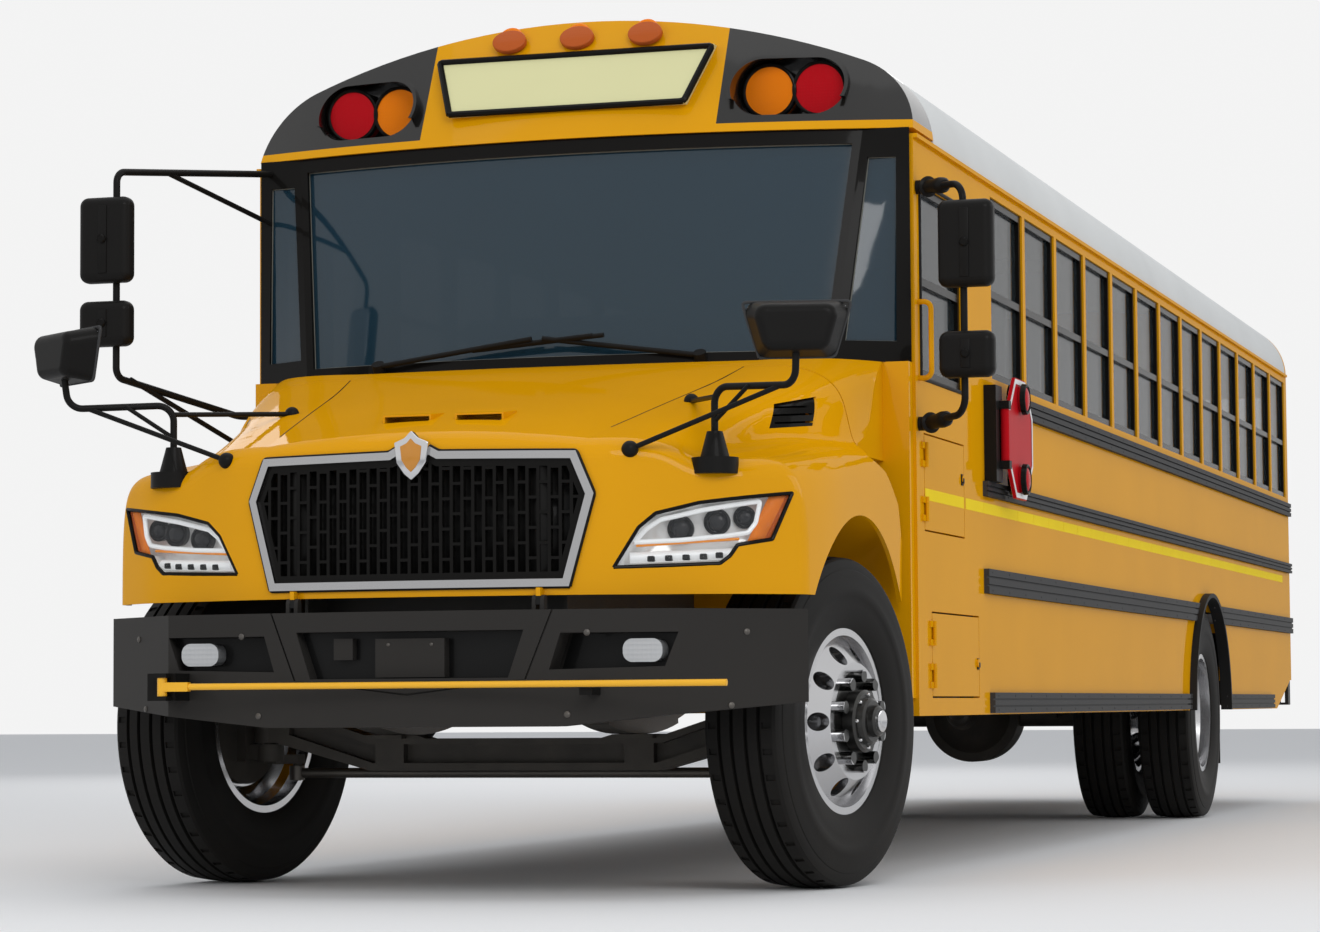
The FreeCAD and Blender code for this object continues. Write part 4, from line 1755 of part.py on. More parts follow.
def side_mirrors():
    """A flat and a convex mirror each side, on tube arms from the body's front corners."""
    left_x = SIDE_MIRROR_X
    y = LEFT_MIRROR_Y
    tube_x = left_x - 15
    foot_y = BODY_FRONT + 40
    foot_x = BODY_HALF + RUNNING_GAP
    left_tube = bent_tube([(foot_x + 6, foot_y, LEFT_ARM_HIGH), (tube_x, y, LEFT_ARM_HIGH - 20),
                           (tube_x, y, LEFT_ARM_LOW + 15), (foot_x + 6, foot_y, LEFT_ARM_LOW)],
                          MIRROR_TUBE, 60)
    feet = [rod((foot_x, foot_y, z), (foot_x + 22, foot_y, z), 24) for z in (LEFT_ARM_HIGH, LEFT_ARM_LOW)]
    left = fuse([left_tube.cut(box(0, foot_x, 0, 2000, 1400, 2500))] + feet
                + mirror_heads(left_x, y - 20, LEFT_HEADS))
    right_x = -SIDE_MIRROR_X
    y = RIGHT_MIRROR_Y
    tube_x = right_x + 25
    corner = -BODY_HALF + 60
    upper = bent_tube([(corner, BODY_FRONT + 20, 2490), (tube_x, y, 2400), (tube_x, y, 1700),
                       (-BODY_HALF, RIGHT_FOOT_Y - 20, RIGHT_FOOT_Z),
                       (10 - COWL_SIDE_HALF, RIGHT_FOOT_Y, RIGHT_FOOT_Z)], MIRROR_TUBE, 40)
    share = 0.3
    fork = (tube_x + (corner - tube_x) * share, y + (BODY_FRONT + 20 - y) * share, 2400 + 90 * share)
    brace = rod(fork, (corner, BODY_FRONT, 2300), MIRROR_TUBE - 3)
    knee = (tube_x + 25, y + 60, RIGHT_FOOT_Z + 92)
    second = (-BODY_HALF + 10, RIGHT_FOOT_Y + 50, RIGHT_FOOT_Z - 120)
    low_brace = rod(knee, second, MIRROR_TUBE - 3)
    inside = 10 - COWL_SIDE_HALF
    feet = [rod((inside, RIGHT_FOOT_Y, RIGHT_FOOT_Z), (inside - 34, RIGHT_FOOT_Y, RIGHT_FOOT_Z), 24),
            rod((inside, second[1], second[2]), second, 14),
            rod((inside, second[1], second[2]), (inside - 30, second[1], second[2]), 22)]
    behind = shield_shell(-RUNNING_GAP, FRAME_DEPTH * 3, COWL_TOP, GUTTER + 20)
    body = box(-BODY_HALF, BODY_HALF, BODY_FRONT - RUNNING_GAP, BODY_FRONT + 200, COWL_SIDE_LOW, GUTTER)
    edge = COWL_SIDE_HALF + RUNNING_GAP
    cowl_side = box(-edge, edge, 0, BODY_FRONT, COWL_SIDE_LOW, COWL_TOP)
    arms = fuse([upper, brace, low_brace] + feet).cut([behind, body, cowl_side])
    arms = max(arms.Solids, key=lambda solid: solid.Volume)
    return group([left, fuse([arms] + mirror_heads(right_x, y - 20, RIGHT_HEADS))])


CROSS_MIRROR = (1200.0, -900.0, 1695.0)
CROSS_TURN_LEFT = 13.0
CROSS_TURN_RIGHT = 37.0
CONE_FOOT = (896.0, -730.0, 1318.0)
BALL_FOOT = (662.0, -842.0, 1353.0)
UPPER_FOOT = (685.0, -273.0, 1543.0)


def mirror_tray(top_width, low_width, height, depth):
    """Tapered, domed mirror case about its centre, its glass to the rear."""
    outlines = []
    for y, share in ((-depth / 2, 0.78), (depth / 2, 1.0)):
        low, high, tall = low_width * share / 2, top_width * share / 2, height * share / 2
        corners = [(-low, -tall), (low, -tall), (high, tall), (-high, tall), (-low, -tall)]
        outlines.append(Part.makePolygon([Vector(x, y, z) for x, z in corners]))
    case = Part.makeLoft(outlines, True, True)
    corners = [e for e in case.Edges if abs(e.Vertexes[0].Y - e.Vertexes[1].Y) > 1]
    case = case.makeFillet(height * 0.22, corners)
    ahead = [e for e in case.Edges if e.CenterOfMass.y < 1 - depth / 2]
    return case.makeFillet(depth * 0.28, ahead)


def hood_mirrors():
    """Cross-view mirrors, each turned to the driver, on bent stalks on the hood's shoulders."""
    x, y, z = CROSS_MIRROR
    foot_x, foot_y, foot_z = CONE_FOOT
    arm_z = foot_z + 225
    cone = Part.makeCone(56, 24, 120, Vector(foot_x, foot_y, foot_z - 30), Vector(0, 0, 1))
    flange = Part.makeCylinder(72, 50, Vector(foot_x, foot_y, foot_z - 40), Vector(0, 0, 1))
    stalk = bent_tube([(foot_x, foot_y, foot_z + 80), (foot_x, foot_y, arm_z),
                       (x - 10, y + 20, arm_z - 15), (x, y, z - 40)], 11, 50)
    braces = [rod(BALL_FOOT, (x - 60, y + 50, arm_z - 12), 8),
              rod(UPPER_FOOT, (foot_x, foot_y, arm_z - 30), 8),
              rod((foot_x, foot_y, foot_z + 120), (foot_x + 130, foot_y - 80, arm_z - 6), 7)]
    balls = [Part.makeSphere(26, Vector(*BALL_FOOT)), Part.makeSphere(24, Vector(*UPPER_FOOT))]
    stand = fuse([cone, flange, stalk] + braces + balls).cut(rounded_hood(0, HOOD_BOTTOM - 5))
    whole = []
    for side, turn, shape in ((1, CROSS_TURN_LEFT, stand), (-1, -CROSS_TURN_RIGHT, mirrored(stand))):
        head = mirror_tray(330, 230, 170, 100)
        head.rotate(Vector(0, 0, 0), Vector(0, 0, 1), turn)
        head.translate(Vector(side * x, y, z))
        whole.append(fuse([head, shape]))
    return group(whole)


# Inside
SEAT_PITCH = 690.0
SEAT_ROWS = 12
SEAT_FIRST = 2050.0
SEAT_WIDTH = 930.0
SEAT_HEIGHT = 430.0
SEAT_DEPTH = 400.0
BACK_HEIGHT = 1090.0
BACK_THICKNESS = 90.0


def seat(x0, x1, y, floor_z, legs):
    """Bench with a high padded back; its legs stand on the floor."""
    rear = y + SEAT_DEPTH
    under = floor_z + SEAT_HEIGHT - 110
    back_top = floor_z + BACK_HEIGHT
    cushion = box(x0, x1, y, rear, under, floor_z + SEAT_HEIGHT)
    back = prism_x([(rear - 20, under), (rear + 60, back_top), (rear + 60 + BACK_THICKNESS, back_top),
                    (rear + BACK_THICKNESS, under)], x0, x1)
    pieces = [cushion, back]
    for leg_x in legs:
        for leg_y in (y + 40, rear - 40):
            pieces.append(box(leg_x - 16, leg_x + 16, leg_y - 16, leg_y + 16, floor_z, under + 5))
    return fuse(pieces)


def seats():
    """Rows of passenger benches each side of the aisle, and the driver's seat."""
    top = FLOOR_BOTTOM + FLOOR_THICKNESS
    wall = BODY_HALF - WALL - 12
    benches = []
    for row in range(SEAT_ROWS):
        y = SEAT_FIRST + row * SEAT_PITCH
        for side in (-1, 1):
            x0, x1 = sorted((side * (wall - SEAT_WIDTH), side * wall))
            aisle_leg = side * (wall - SEAT_WIDTH + 60)
            legs = [aisle_leg]
            over_wheel = abs(y + SEAT_DEPTH / 2 - WHEELBASE) < WHEEL_BOX_HALF + 260
            if not over_wheel:
                legs.append(side * (wall - 80))
            benches.append(seat(x0, x1, y, top, legs))
    driver_cushion = box(380, 880, 1290, 1760, top + 380, top + 480)
    driver_back = prism_x([(1700, top + 400), (1760, top + 1150), (1850, top + 1150), (1810, top + 400)],
                          390, 870)
    pedestal = box(500, 760, 1400, 1660, top, top + 390)
    return group(benches + [fuse([driver_cushion, driver_back, pedestal])])


WHEEL_X = 630.0


def dashboard():
    """Dash across the cowl, with the steering column and wheel."""
    inner = BODY_HALF - WALL - 12
    low = 1440.0
    front = FIREWALL_FRONT + 20 + COWL_METAL + RUNNING_GAP
    rear = BODY_FRONT + RUNNING_GAP
    panel = prism_x([(front, low), (900, low), (960, 1560), (900, 1700), (rear, 1715), (rear, 1690),
                     (front, 1690)], -COWL_SIDE_HALF + 40, COWL_SIDE_HALF - 40)
    front_cut = box(-BODY_HALF, WELL_INNER + 20, DOOR_FRONT - 10, 1200, low - 5, 1800)
    panel = panel.common(box(-inner, inner, 0, 2000, 0, 3000)).cut(front_cut)
    column = rod((WHEEL_X, 880, 1500), (WHEEL_X, 1130, 1760), 34)
    tilt = Vector(0, 250, 260)
    rim = Part.makeTorus(225, 15, Vector(WHEEL_X, 1145, 1775), tilt)
    hub_disc = Part.makeCylinder(60, 30, Vector(WHEEL_X, 1120, 1750), tilt)
    spokes = []
    for turn in (0, 120, 240):
        spoke = rod((WHEEL_X, 1145, 1775), (WHEEL_X + 225, 1145, 1775), 11)
        spoke.rotate(Vector(WHEEL_X, 1145, 1775), tilt, turn + 30)
        spokes.append(spoke)
    return fuse([panel, column, rim, hub_disc] + spokes)


def wipers():
    """Two wiper arms with their blades, parked along the foot of the windshield."""
    arms = []
    for pivot_x, tip_x in ((-640.0, -60.0), (520.0, -20.0)):
        z = COWL_TOP + 24
        base_y = SHIELD_CENTRE - 10
        tip_z = z + 70
        boss = rod((pivot_x, base_y + 60, z - 34), (pivot_x, base_y + 30, z + 10), 22)
        arm = rod((pivot_x, base_y + 32, z), (tip_x, base_y - 22, tip_z), 9)
        blade = rod((tip_x - 260, base_y + 2, tip_z - 30), (tip_x + 220, base_y - 26, tip_z + 4), 8)
        arms.append(fuse([boss, arm, blade]))
    frame = windshield_frame()
    frame.translate(Vector(0, -RUNNING_GAP, 0))
    below = box(-BODY_HALF, BODY_HALF, 0, BODY_FRONT, COWL_SIDE_LOW, COWL_TOP)
    return group(arms).cut([below, frame])


def mud_flaps():
    """Rubber flaps behind the rear wheels, each on a bar from the frame."""
    flaps = []
    y = WHEELBASE + 700
    for side in (-1, 1):
        x0, x1 = sorted((side * 600, side * 1150))
        flap = box(x0, x1, y, y + 12, 260, 940)
        x0, x1 = sorted((side * RAIL_HALF, side * 1150))
        bar = box(x0, x1, y + 12, y + 52, 900, 940)
        flaps.append(fuse([flap, bar]))
    return flaps


def rear_arch_rubber():
    """Black flares round the rear wheel openings and the flaps behind the wheels."""
    return group(arch_lips() + mud_flaps())


# Everything, set out about the middle of the footprint
FOREMOST = CROSS_HINGE_Y - 18.0
REARMOST = BODY_REAR + REAR_BUMPER_OUT
FRAME_SHIFT = -(FOREMOST + REARMOST) / 2


def pieces():
    found = {
        "frame_rails": frame_rails(), "front_axle": front_axle(), "leaf_springs": leaf_springs(),
        "rear_axle": rear_axle(), "engine": engine(), "driveshaft": driveshaft(),
        "fuel_tank": fuel_tank(), "exhaust": exhaust(), "radiator": radiator(),
        "front_bumper": front_bumper(), "fog_lamps": fog_lamps(), "rear_bumper": rear_bumper(),
        "left_wall": left_wall(), "right_wall": right_wall(), "roof": roof(),
        "rear_wall": rear_wall(), "floor": floor(), "entrance_steps": entrance_steps(),
        "cowl": cowl(), "windshield_frame": windshield_frame(), "windshield": windshield(),
        "front_cap": front_cap(), "lamp_pods": lamp_pods(),
        "red_lamps": red_lamps(), "amber_lamps": amber_lamps(), "signs": signs(),
        "hood": hood(), "grille": grille(), "grille_surround": grille_surround(),
        "headlamps": headlamps(), "hood_mirrors": hood_mirrors(),
        "side_windows": side_windows(), "window_glass": window_glass(), "rub_rails": rub_rails(),
        "rear_arch_rubber": rear_arch_rubber(), "entrance_door_front": entrance_door_front(),
        "entrance_door_rear": entrance_door_rear(), "emergency_door": emergency_door(),
        "upper_side_hatch": side_hatch(UPPER_HATCH), "lower_side_hatch": side_hatch(LOWER_HATCH),
        "roof_hatch_front": roof_hatch(HATCH_STATIONS[0]), "roof_hatch_rear": roof_hatch(HATCH_STATIONS[1]),
        "stop_arm": stop_arm(), "crossing_arm": crossing_arm(), "arm_brackets": arm_brackets(),
        "side_mirrors": side_mirrors(), "seats": seats(), "dashboard": dashboard(), "wipers": wipers(),
        "tie_rod": tie_rod(),
    }
    for word, side in (("left", 1), ("right", -1)):
        found["knuckle_" + word] = knuckle(side)
        found["front_tyre_" + word] = steered(tyre(side * FRONT_TRACK_HALF), side)
        found["front_wheel_" + word] = front_wheel(side)
        duals = [tyre(side * (REAR_TRACK_HALF + step * DUAL_SPACING / 2), WHEELBASE) for step in (-1, 1)]
        found["rear_tyres_" + word] = group(duals)
        found["rear_wheels_" + word] = rear_wheel(side)
    return found


def export(found):
    os.makedirs("parts", exist_ok=True)
    for name, shape in found.items():
        placed = shape.copy()
        placed.translate(Vector(0, FRAME_SHIFT, 0))
        placed.exportStep("parts/" + name + ".step")


export(pieces())
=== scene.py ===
import math

import bpy
from bpy.props import FloatProperty, FloatVectorProperty, PointerProperty
from mathutils import Matrix, Vector


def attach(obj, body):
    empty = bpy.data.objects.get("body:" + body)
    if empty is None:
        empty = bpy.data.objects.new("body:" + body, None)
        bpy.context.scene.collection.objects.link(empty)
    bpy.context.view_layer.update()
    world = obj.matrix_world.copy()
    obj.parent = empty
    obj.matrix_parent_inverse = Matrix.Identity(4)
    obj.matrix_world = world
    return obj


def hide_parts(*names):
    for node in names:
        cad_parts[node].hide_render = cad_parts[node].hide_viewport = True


bl_info = {
    "name": "School bus",
    "version": (1, 0, 0),
    "blender": (4, 5, 0),
    "location": "3D View > Sidebar > Bus",
    "description": "Builds the outer finish and the fine parts of a school bus round its frame",
    "category": "Add Mesh",
}

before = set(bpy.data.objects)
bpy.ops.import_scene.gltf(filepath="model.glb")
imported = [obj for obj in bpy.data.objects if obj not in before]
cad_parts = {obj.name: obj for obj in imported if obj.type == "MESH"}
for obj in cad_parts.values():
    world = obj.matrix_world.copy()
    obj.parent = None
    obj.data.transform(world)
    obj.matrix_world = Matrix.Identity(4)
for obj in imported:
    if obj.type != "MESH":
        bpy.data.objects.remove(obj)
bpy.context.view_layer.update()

# The stations along the bus are counted from the front axle.
# This is the front axle's place along the bus, whose middle is at 0 and whose nose is at negative y.
AXLE_Y = -4.668
WHEELBASE = 7.010
AXLE_HEIGHT = 0.527
BODY_HALF = 1.200
BODY_REAR = 10.250
# Stations ahead of the bus and behind it, from which lines are sent to its surface.
AHEAD = -3.0
BEHIND = 12.0
# A face whose normal's y is below this one looks ahead.
FRONTAL = -0.3
SMOOTH_ANGLE = math.radians(35)
MERGE = 1e-6
COARSE_MERGE = 1e-5
BOTH = ((1, "left"), (-1, "right"))


def at(x, y, z):
    """A point given with its station from the front axle."""
    return Vector((x, y + AXLE_Y, z))


# Selecting and shaping by hand
def deselect():
    """Leaves edit mode and selects nothing."""
    if bpy.context.object and bpy.context.object.mode != "OBJECT":
        bpy.ops.object.mode_set(mode="OBJECT")
    bpy.ops.object.select_all(action="DESELECT")


def pick(piece):
    """Selects one piece alone and makes it the active one."""
    deselect()
    bpy.context.view_layer.objects.active = piece
    piece.select_set(True)


def edit(piece):
    """Opens a piece in edit mode with all of it selected."""
    pick(piece)
    bpy.ops.object.mode_set(mode="EDIT")
    bpy.ops.mesh.select_all(action="SELECT")


def done(piece, angle=SMOOTH_ANGLE):
    """Leaves edit mode, puts the piece's place in its mesh and smooths it by angle."""
    pick(piece)
    bpy.ops.object.transform_apply(location=True, rotation=True, scale=True)
    bpy.ops.object.shade_smooth_by_angle(angle=angle)
    return piece


def merge_shell(threshold):
    """Merges the doubles of the piece in edit mode and turns its faces outwards."""
    bpy.ops.mesh.select_all(action="SELECT")
    bpy.ops.mesh.remove_doubles(threshold=threshold)
    bpy.ops.mesh.normals_make_consistent(inside=False)


def line(points):
    """A chain of edges through the points, drawn by extruding one corner after another."""
    deselect()
    bpy.ops.mesh.primitive_plane_add(size=0.01, location=(0, 0, 0))
    piece = bpy.context.object
    bpy.ops.object.mode_set(mode="EDIT")
    bpy.ops.mesh.select_all(action="SELECT")
    bpy.ops.mesh.merge(type="CENTER")
    bpy.ops.transform.translate(value=points[0])
    for before, after in zip(points, points[1:]):
        bpy.ops.mesh.extrude_region_move(TRANSFORM_OT_translate={"value": Vector(after) - Vector(before)})
    bpy.ops.mesh.select_all(action="SELECT")
    return piece


def turned(profile, centre, axis, steps, angle=SMOOTH_ANGLE):
    """A closed profile of (along, radius) pairs turned about an axis through centre."""
    axis = Vector(axis).normalized()
    side = axis.orthogonal().normalized()
    centre = Vector(centre)
    points = [centre + axis * along + side * radius for along, radius in profile]
    piece = line(points + points[:1])
    bpy.ops.mesh.remove_doubles(threshold=MERGE)
    bpy.ops.mesh.spin(steps=steps, angle=2 * math.pi, center=centre, axis=axis)
    merge_shell(COARSE_MERGE)
    return done(piece, angle)


def plate(outline, depth, bevel=0.0, segments=2):
    """A flat outline carried along depth, its edges rounded."""
    piece = line(outline)
    bpy.ops.mesh.edge_face_add()
    bpy.ops.mesh.extrude_region_move(TRANSFORM_OT_translate={"value": depth})
    bpy.ops.mesh.select_all(action="SELECT")
    bpy.ops.mesh.normals_make_consistent(inside=False)
    if bevel:
        bpy.ops.mesh.bevel(offset=bevel, segments=segments, affect="EDGES", clamp_overlap=True)
    return done(piece)


def piped(radius, sides):
    """Turns the edges of the active piece into round bars."""
    bpy.ops.object.mode_set(mode="OBJECT")
    bpy.ops.object.convert(target="CURVE")
    curve = bpy.context.object.data
    curve.bevel_depth = radius
    curve.bevel_resolution = sides // 2 - 2
    curve.use_fill_caps = True
    bpy.ops.object.convert(target="MESH")
    return bpy.context.object


def tube(points, radius, bend, segments, sides=8):
    """A round bar through the points, its corners rounded by bend."""
    line(points)
    bpy.ops.mesh.bevel(offset=bend, segments=segments, affect="VERTICES", clamp_overlap=True)
    piece = piped(radius, sides)
    edit(piece)
    merge_shell(MERGE)
    return done(piece)


def rounded_box(low, high, bevel, segments=2):
    """A block between two corners, every edge rounded."""
    deselect()
    bpy.ops.mesh.primitive_cube_add(size=1.0, location=(low + high) / 2, scale=high - low)
    piece = bpy.context.object
    bpy.ops.object.transform_apply(location=True, rotation=True, scale=True)
    edit(piece)
    bpy.ops.mesh.bevel(offset=bevel, segments=segments, affect="EDGES", clamp_overlap=True)
    return done(piece)


def joined(pieces):
    """Joins the pieces into the first of them."""
    deselect()
    for piece in pieces:
        piece.select_set(True)
    bpy.context.view_layer.objects.active = pieces[0]
    if len(pieces) > 1:
        bpy.ops.object.join()
    return pieces[0]


def copied(piece, matrix):
    """A copy with its own mesh, moved by the matrix."""
    pick(piece)
    bpy.ops.object.duplicate(linked=False)
    copy = bpy.context.object
    copy.matrix_world = matrix
    bpy.ops.object.transform_apply(location=True, rotation=True, scale=True)
    if matrix.determinant() < 0:
        edit(copy)
        bpy.ops.mesh.normals_make_consistent(inside=False)
        bpy.ops.object.mode_set(mode="OBJECT")
    return copy


def mirrored(piece):
    """A copy on the other side of the bus."""
    return copied(piece, Matrix.Diagonal((-1, 1, 1, 1)))


def both_sides(piece):
    """The piece and its mirror image."""
    return [piece, mirrored(piece)]


def remove(piece):
    """Deletes a piece that only served as a pattern."""
    pick(piece)
    bpy.ops.object.delete()


def moved(piece, matrix):
    """The piece carried to another place."""
    copy = copied(piece, matrix)
    remove(piece)
    return copy


def scattered(pattern, spots):
    """Copies of a small pattern piece, one at each spot and facing its normal."""
    copies = []
    for place, normal in spots:
        turn = Vector(normal).to_track_quat("Z", "Y").to_matrix().to_4x4()
        copies.append(copied(pattern, Matrix.Translation(place) @ turn))
    remove(pattern)
    return copies


def modified(piece, kind, **settings):
    """Adds one modifier, sets it up and applies it."""
    pick(piece)
    bpy.ops.object.modifier_add(type=kind)
    modifier = piece.modifiers[-1]
    for label, value in settings.items():
        setattr(modifier, label, value)
    bpy.ops.object.modifier_apply(modifier=modifier.name)
    return piece


def rowed(piece, step, count):
    """Repeats a piece along the bus."""
    return modified(piece, "ARRAY", use_relative_offset=False, use_constant_offset=True,
                    constant_offset_displace=(0, step, 0), count=count)


def choose_faces(piece, wanted):
    """Selects in edit mode the faces whose middle and normal pass the test."""
    edit(piece)
    bpy.ops.mesh.select_mode(type="FACE")
    bpy.ops.mesh.select_all(action="DESELECT")
    bpy.ops.object.mode_set(mode="OBJECT")
    for face in piece.data.polygons:
        face.select = wanted(face.center, face.normal)
    bpy.ops.object.mode_set(mode="EDIT")


def drop_faces():
    """Deletes the chosen faces and selects by corners again."""
    bpy.ops.mesh.delete(type="FACE")
    bpy.ops.mesh.select_mode(type="VERT")


def fitted(name, pieces, finish_name, body):
    """Joins new pieces in one, named, with its finish and its body."""
    piece = joined(pieces)
    piece.name = name
    piece.data.materials.clear()
    piece.data.materials.append(FINISHES[finish_name])
    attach(piece, body)
    return piece


# Placing on the frame
def struck(name, start, way):
    """Where a line from start first meets a node of the frame, and the surface's normal there."""
    hit, place, normal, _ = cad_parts[name].ray_cast(Vector(start), Vector(way))
    if not hit:
        raise RuntimeError("no surface of " + name + " ahead of " + str(tuple(start)))
    return place, normal


def facing(name, x, z, way=1):
    """What a line along the bus meets, sent backwards from ahead of it, or forwards when way is -1."""
    return struck(name, at(x, AHEAD if way == 1 else BEHIND, z), (0, way, 0))


def node_copy(name):
    """A copy of a frame node's shape with its loose triangles merged."""
    copy = copied(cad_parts[name], Matrix.Identity(4))
    edit(copy)
    bpy.ops.mesh.remove_doubles(threshold=COARSE_MERGE)
    bpy.ops.object.mode_set(mode="OBJECT")
    return copy


# Shader helpers
def feed(tree, value, socket):
    """Gives a socket a link or a plain value."""
    if isinstance(value, bpy.types.NodeSocket):
        tree.links.new(value, socket)
    else:
        socket.default_value = value


def new_group(name, inputs, outputs):
    """An empty node group with its sockets, and its input and output nodes."""
    group = bpy.data.node_groups.new(name, "ShaderNodeTree")
    for label, kind, value in inputs:
        socket = group.interface.new_socket(name=label, in_out="INPUT", socket_type=kind)
        socket.default_value = value
    for label, kind in outputs:
        group.interface.new_socket(name=label, in_out="OUTPUT", socket_type=kind)
    return group, group.nodes.new("NodeGroupInput"), group.nodes.new("NodeGroupOutput")


def place_group(tree, name, place, **values):
    """Puts a shared group in a material, with its own values."""
    node = tree.nodes.new("ShaderNodeGroup")
    node.node_tree = bpy.data.node_groups[name]
    feed(tree, place, node.inputs["Place"])
    for label, value in values.items():
        feed(tree, value, node.inputs[label])
    return node


def math_node(tree, operation, first, second, clamp=False):
    """The result of a calculation with two numbers."""
    node = tree.nodes.new("ShaderNodeMath")
    node.operation = operation
    node.use_clamp = clamp
    feed(tree, first, node.inputs[0])
    feed(tree, second, node.inputs[1])
    return node.outputs[0]


def mix_colour(tree, factor, first, second):
    """One colour turning to another as factor grows from 0 to 1."""
    node = tree.nodes.new("ShaderNodeMix")
    node.data_type = "RGBA"
    feed(tree, factor, node.inputs["Factor"])
    feed(tree, first, node.inputs[6])
    feed(tree, second, node.inputs[7])
    return node.outputs[2]


def noise(tree, vector, scale, detail):
    """A cloudy value between 0 and 1."""
    node = tree.nodes.new("ShaderNodeTexNoise")
    node.inputs["Detail"].default_value = detail
    feed(tree, scale, node.inputs["Scale"])
    feed(tree, vector, node.inputs["Vector"])
    return node.outputs["Fac"]


def split_place(tree, place):
    """The x, y and z of a place."""
    split = tree.nodes.new("ShaderNodeSeparateXYZ")
    feed(tree, place, split.inputs[0])
    return split.outputs


def build_groups():
    """The shared effects: grain for roughness and height, and dust that gathers low down."""
    colour = "NodeSocketColor"
    number = "NodeSocketFloat"
    vector = "NodeSocketVector"
    group, source, sink = new_group(
        "Surface grain",
        [("Place", vector, (0, 0, 0)), ("Scale", number, 80.0), ("Roughness", number, 0.4),
         ("Spread", number, 0.1)],
        [("Roughness", number), ("Height", number)])
    fine = noise(group, source.outputs["Place"], source.outputs["Scale"], 4.0)
    broad = noise(group, source.outputs["Place"], 3.0, 2.0)
    both = math_node(group, "ADD", math_node(group, "MULTIPLY", fine, 0.5),
                     math_node(group, "MULTIPLY", broad, 0.5))
    centred = math_node(group, "SUBTRACT", both, 0.5)
    shift = math_node(group, "MULTIPLY", centred, source.outputs["Spread"])
    feed(group, math_node(group, "ADD", source.outputs["Roughness"], shift, True), sink.inputs["Roughness"])
    feed(group, fine, sink.inputs["Height"])

    group, source, sink = new_group(
        "Road dust",
        [("Place", vector, (0, 0, 0)), ("Colour", colour, (1, 1, 1, 1)), ("Dust", colour, ROAD_DUST),
         ("Top", number, 1.0), ("Amount", number, 0.3)],
        [("Colour", colour)])
    height = split_place(group, source.outputs["Place"])["Z"]
    below = math_node(group, "SUBTRACT", source.outputs["Top"], height)
    fade = math_node(group, "DIVIDE", below, source.outputs["Top"], True)
    cloud = noise(group, source.outputs["Place"], 6.0, 5.0)
    cover = math_node(group, "MULTIPLY", math_node(group, "MULTIPLY", fade, cloud),
                      source.outputs["Amount"], True)
    dusty = mix_colour(group, cover, source.outputs["Colour"], source.outputs["Dust"])
    feed(group, dusty, sink.inputs["Colour"])


# Finishes
FINISHES = {}
ROAD_DUST = (0.30, 0.26, 0.21, 1)
# How much darker the darkest patches of a finish are.
SHADE = 0.88
GLAZING = (0.02, 0.03, 0.035, 1)
CLEAR_SHARE = 0.5
HUB_DARK = (0.07, 0.07, 0.068, 1)
HUB_REACH = 0.158
HINGE_BLACK = (0.01, 0.01, 0.01, 1)
HOOD_EDGE = 0.912
BLACK = (0.007, 0.0065, 0.006)
LAMP_RED = (0.50, 0.006, 0.012)
NOSE_PAINT = {"roughness": 0.30, "spread": 0.08, "grain": 140, "coat": 0.26, "dust": 0.03, "specular": 0.0}
# Boxes round the panes of the doors, as the lowest and highest x, y and z of each.
ENTRANCE_X = (-1.186, -1.178)
ENTRANCE_Y = (0.813 + AXLE_Y, 1.530 + AXLE_Y)
ENTRANCE_PANES = ((ENTRANCE_X, ENTRANCE_Y, (0.521, 1.319)), (ENTRANCE_X, ENTRANCE_Y, (1.381, 2.293)))
REAR_DOOR_X = (-0.239, 0.239)
REAR_DOOR_Y = (BODY_REAR + AXLE_Y - 0.024, BODY_REAR + AXLE_Y - 0.016)
REAR_DOOR_PANES = ((REAR_DOOR_X, REAR_DOOR_Y, (1.241, 1.599)), (REAR_DOOR_X, REAR_DOOR_Y, (1.701, 2.289)))


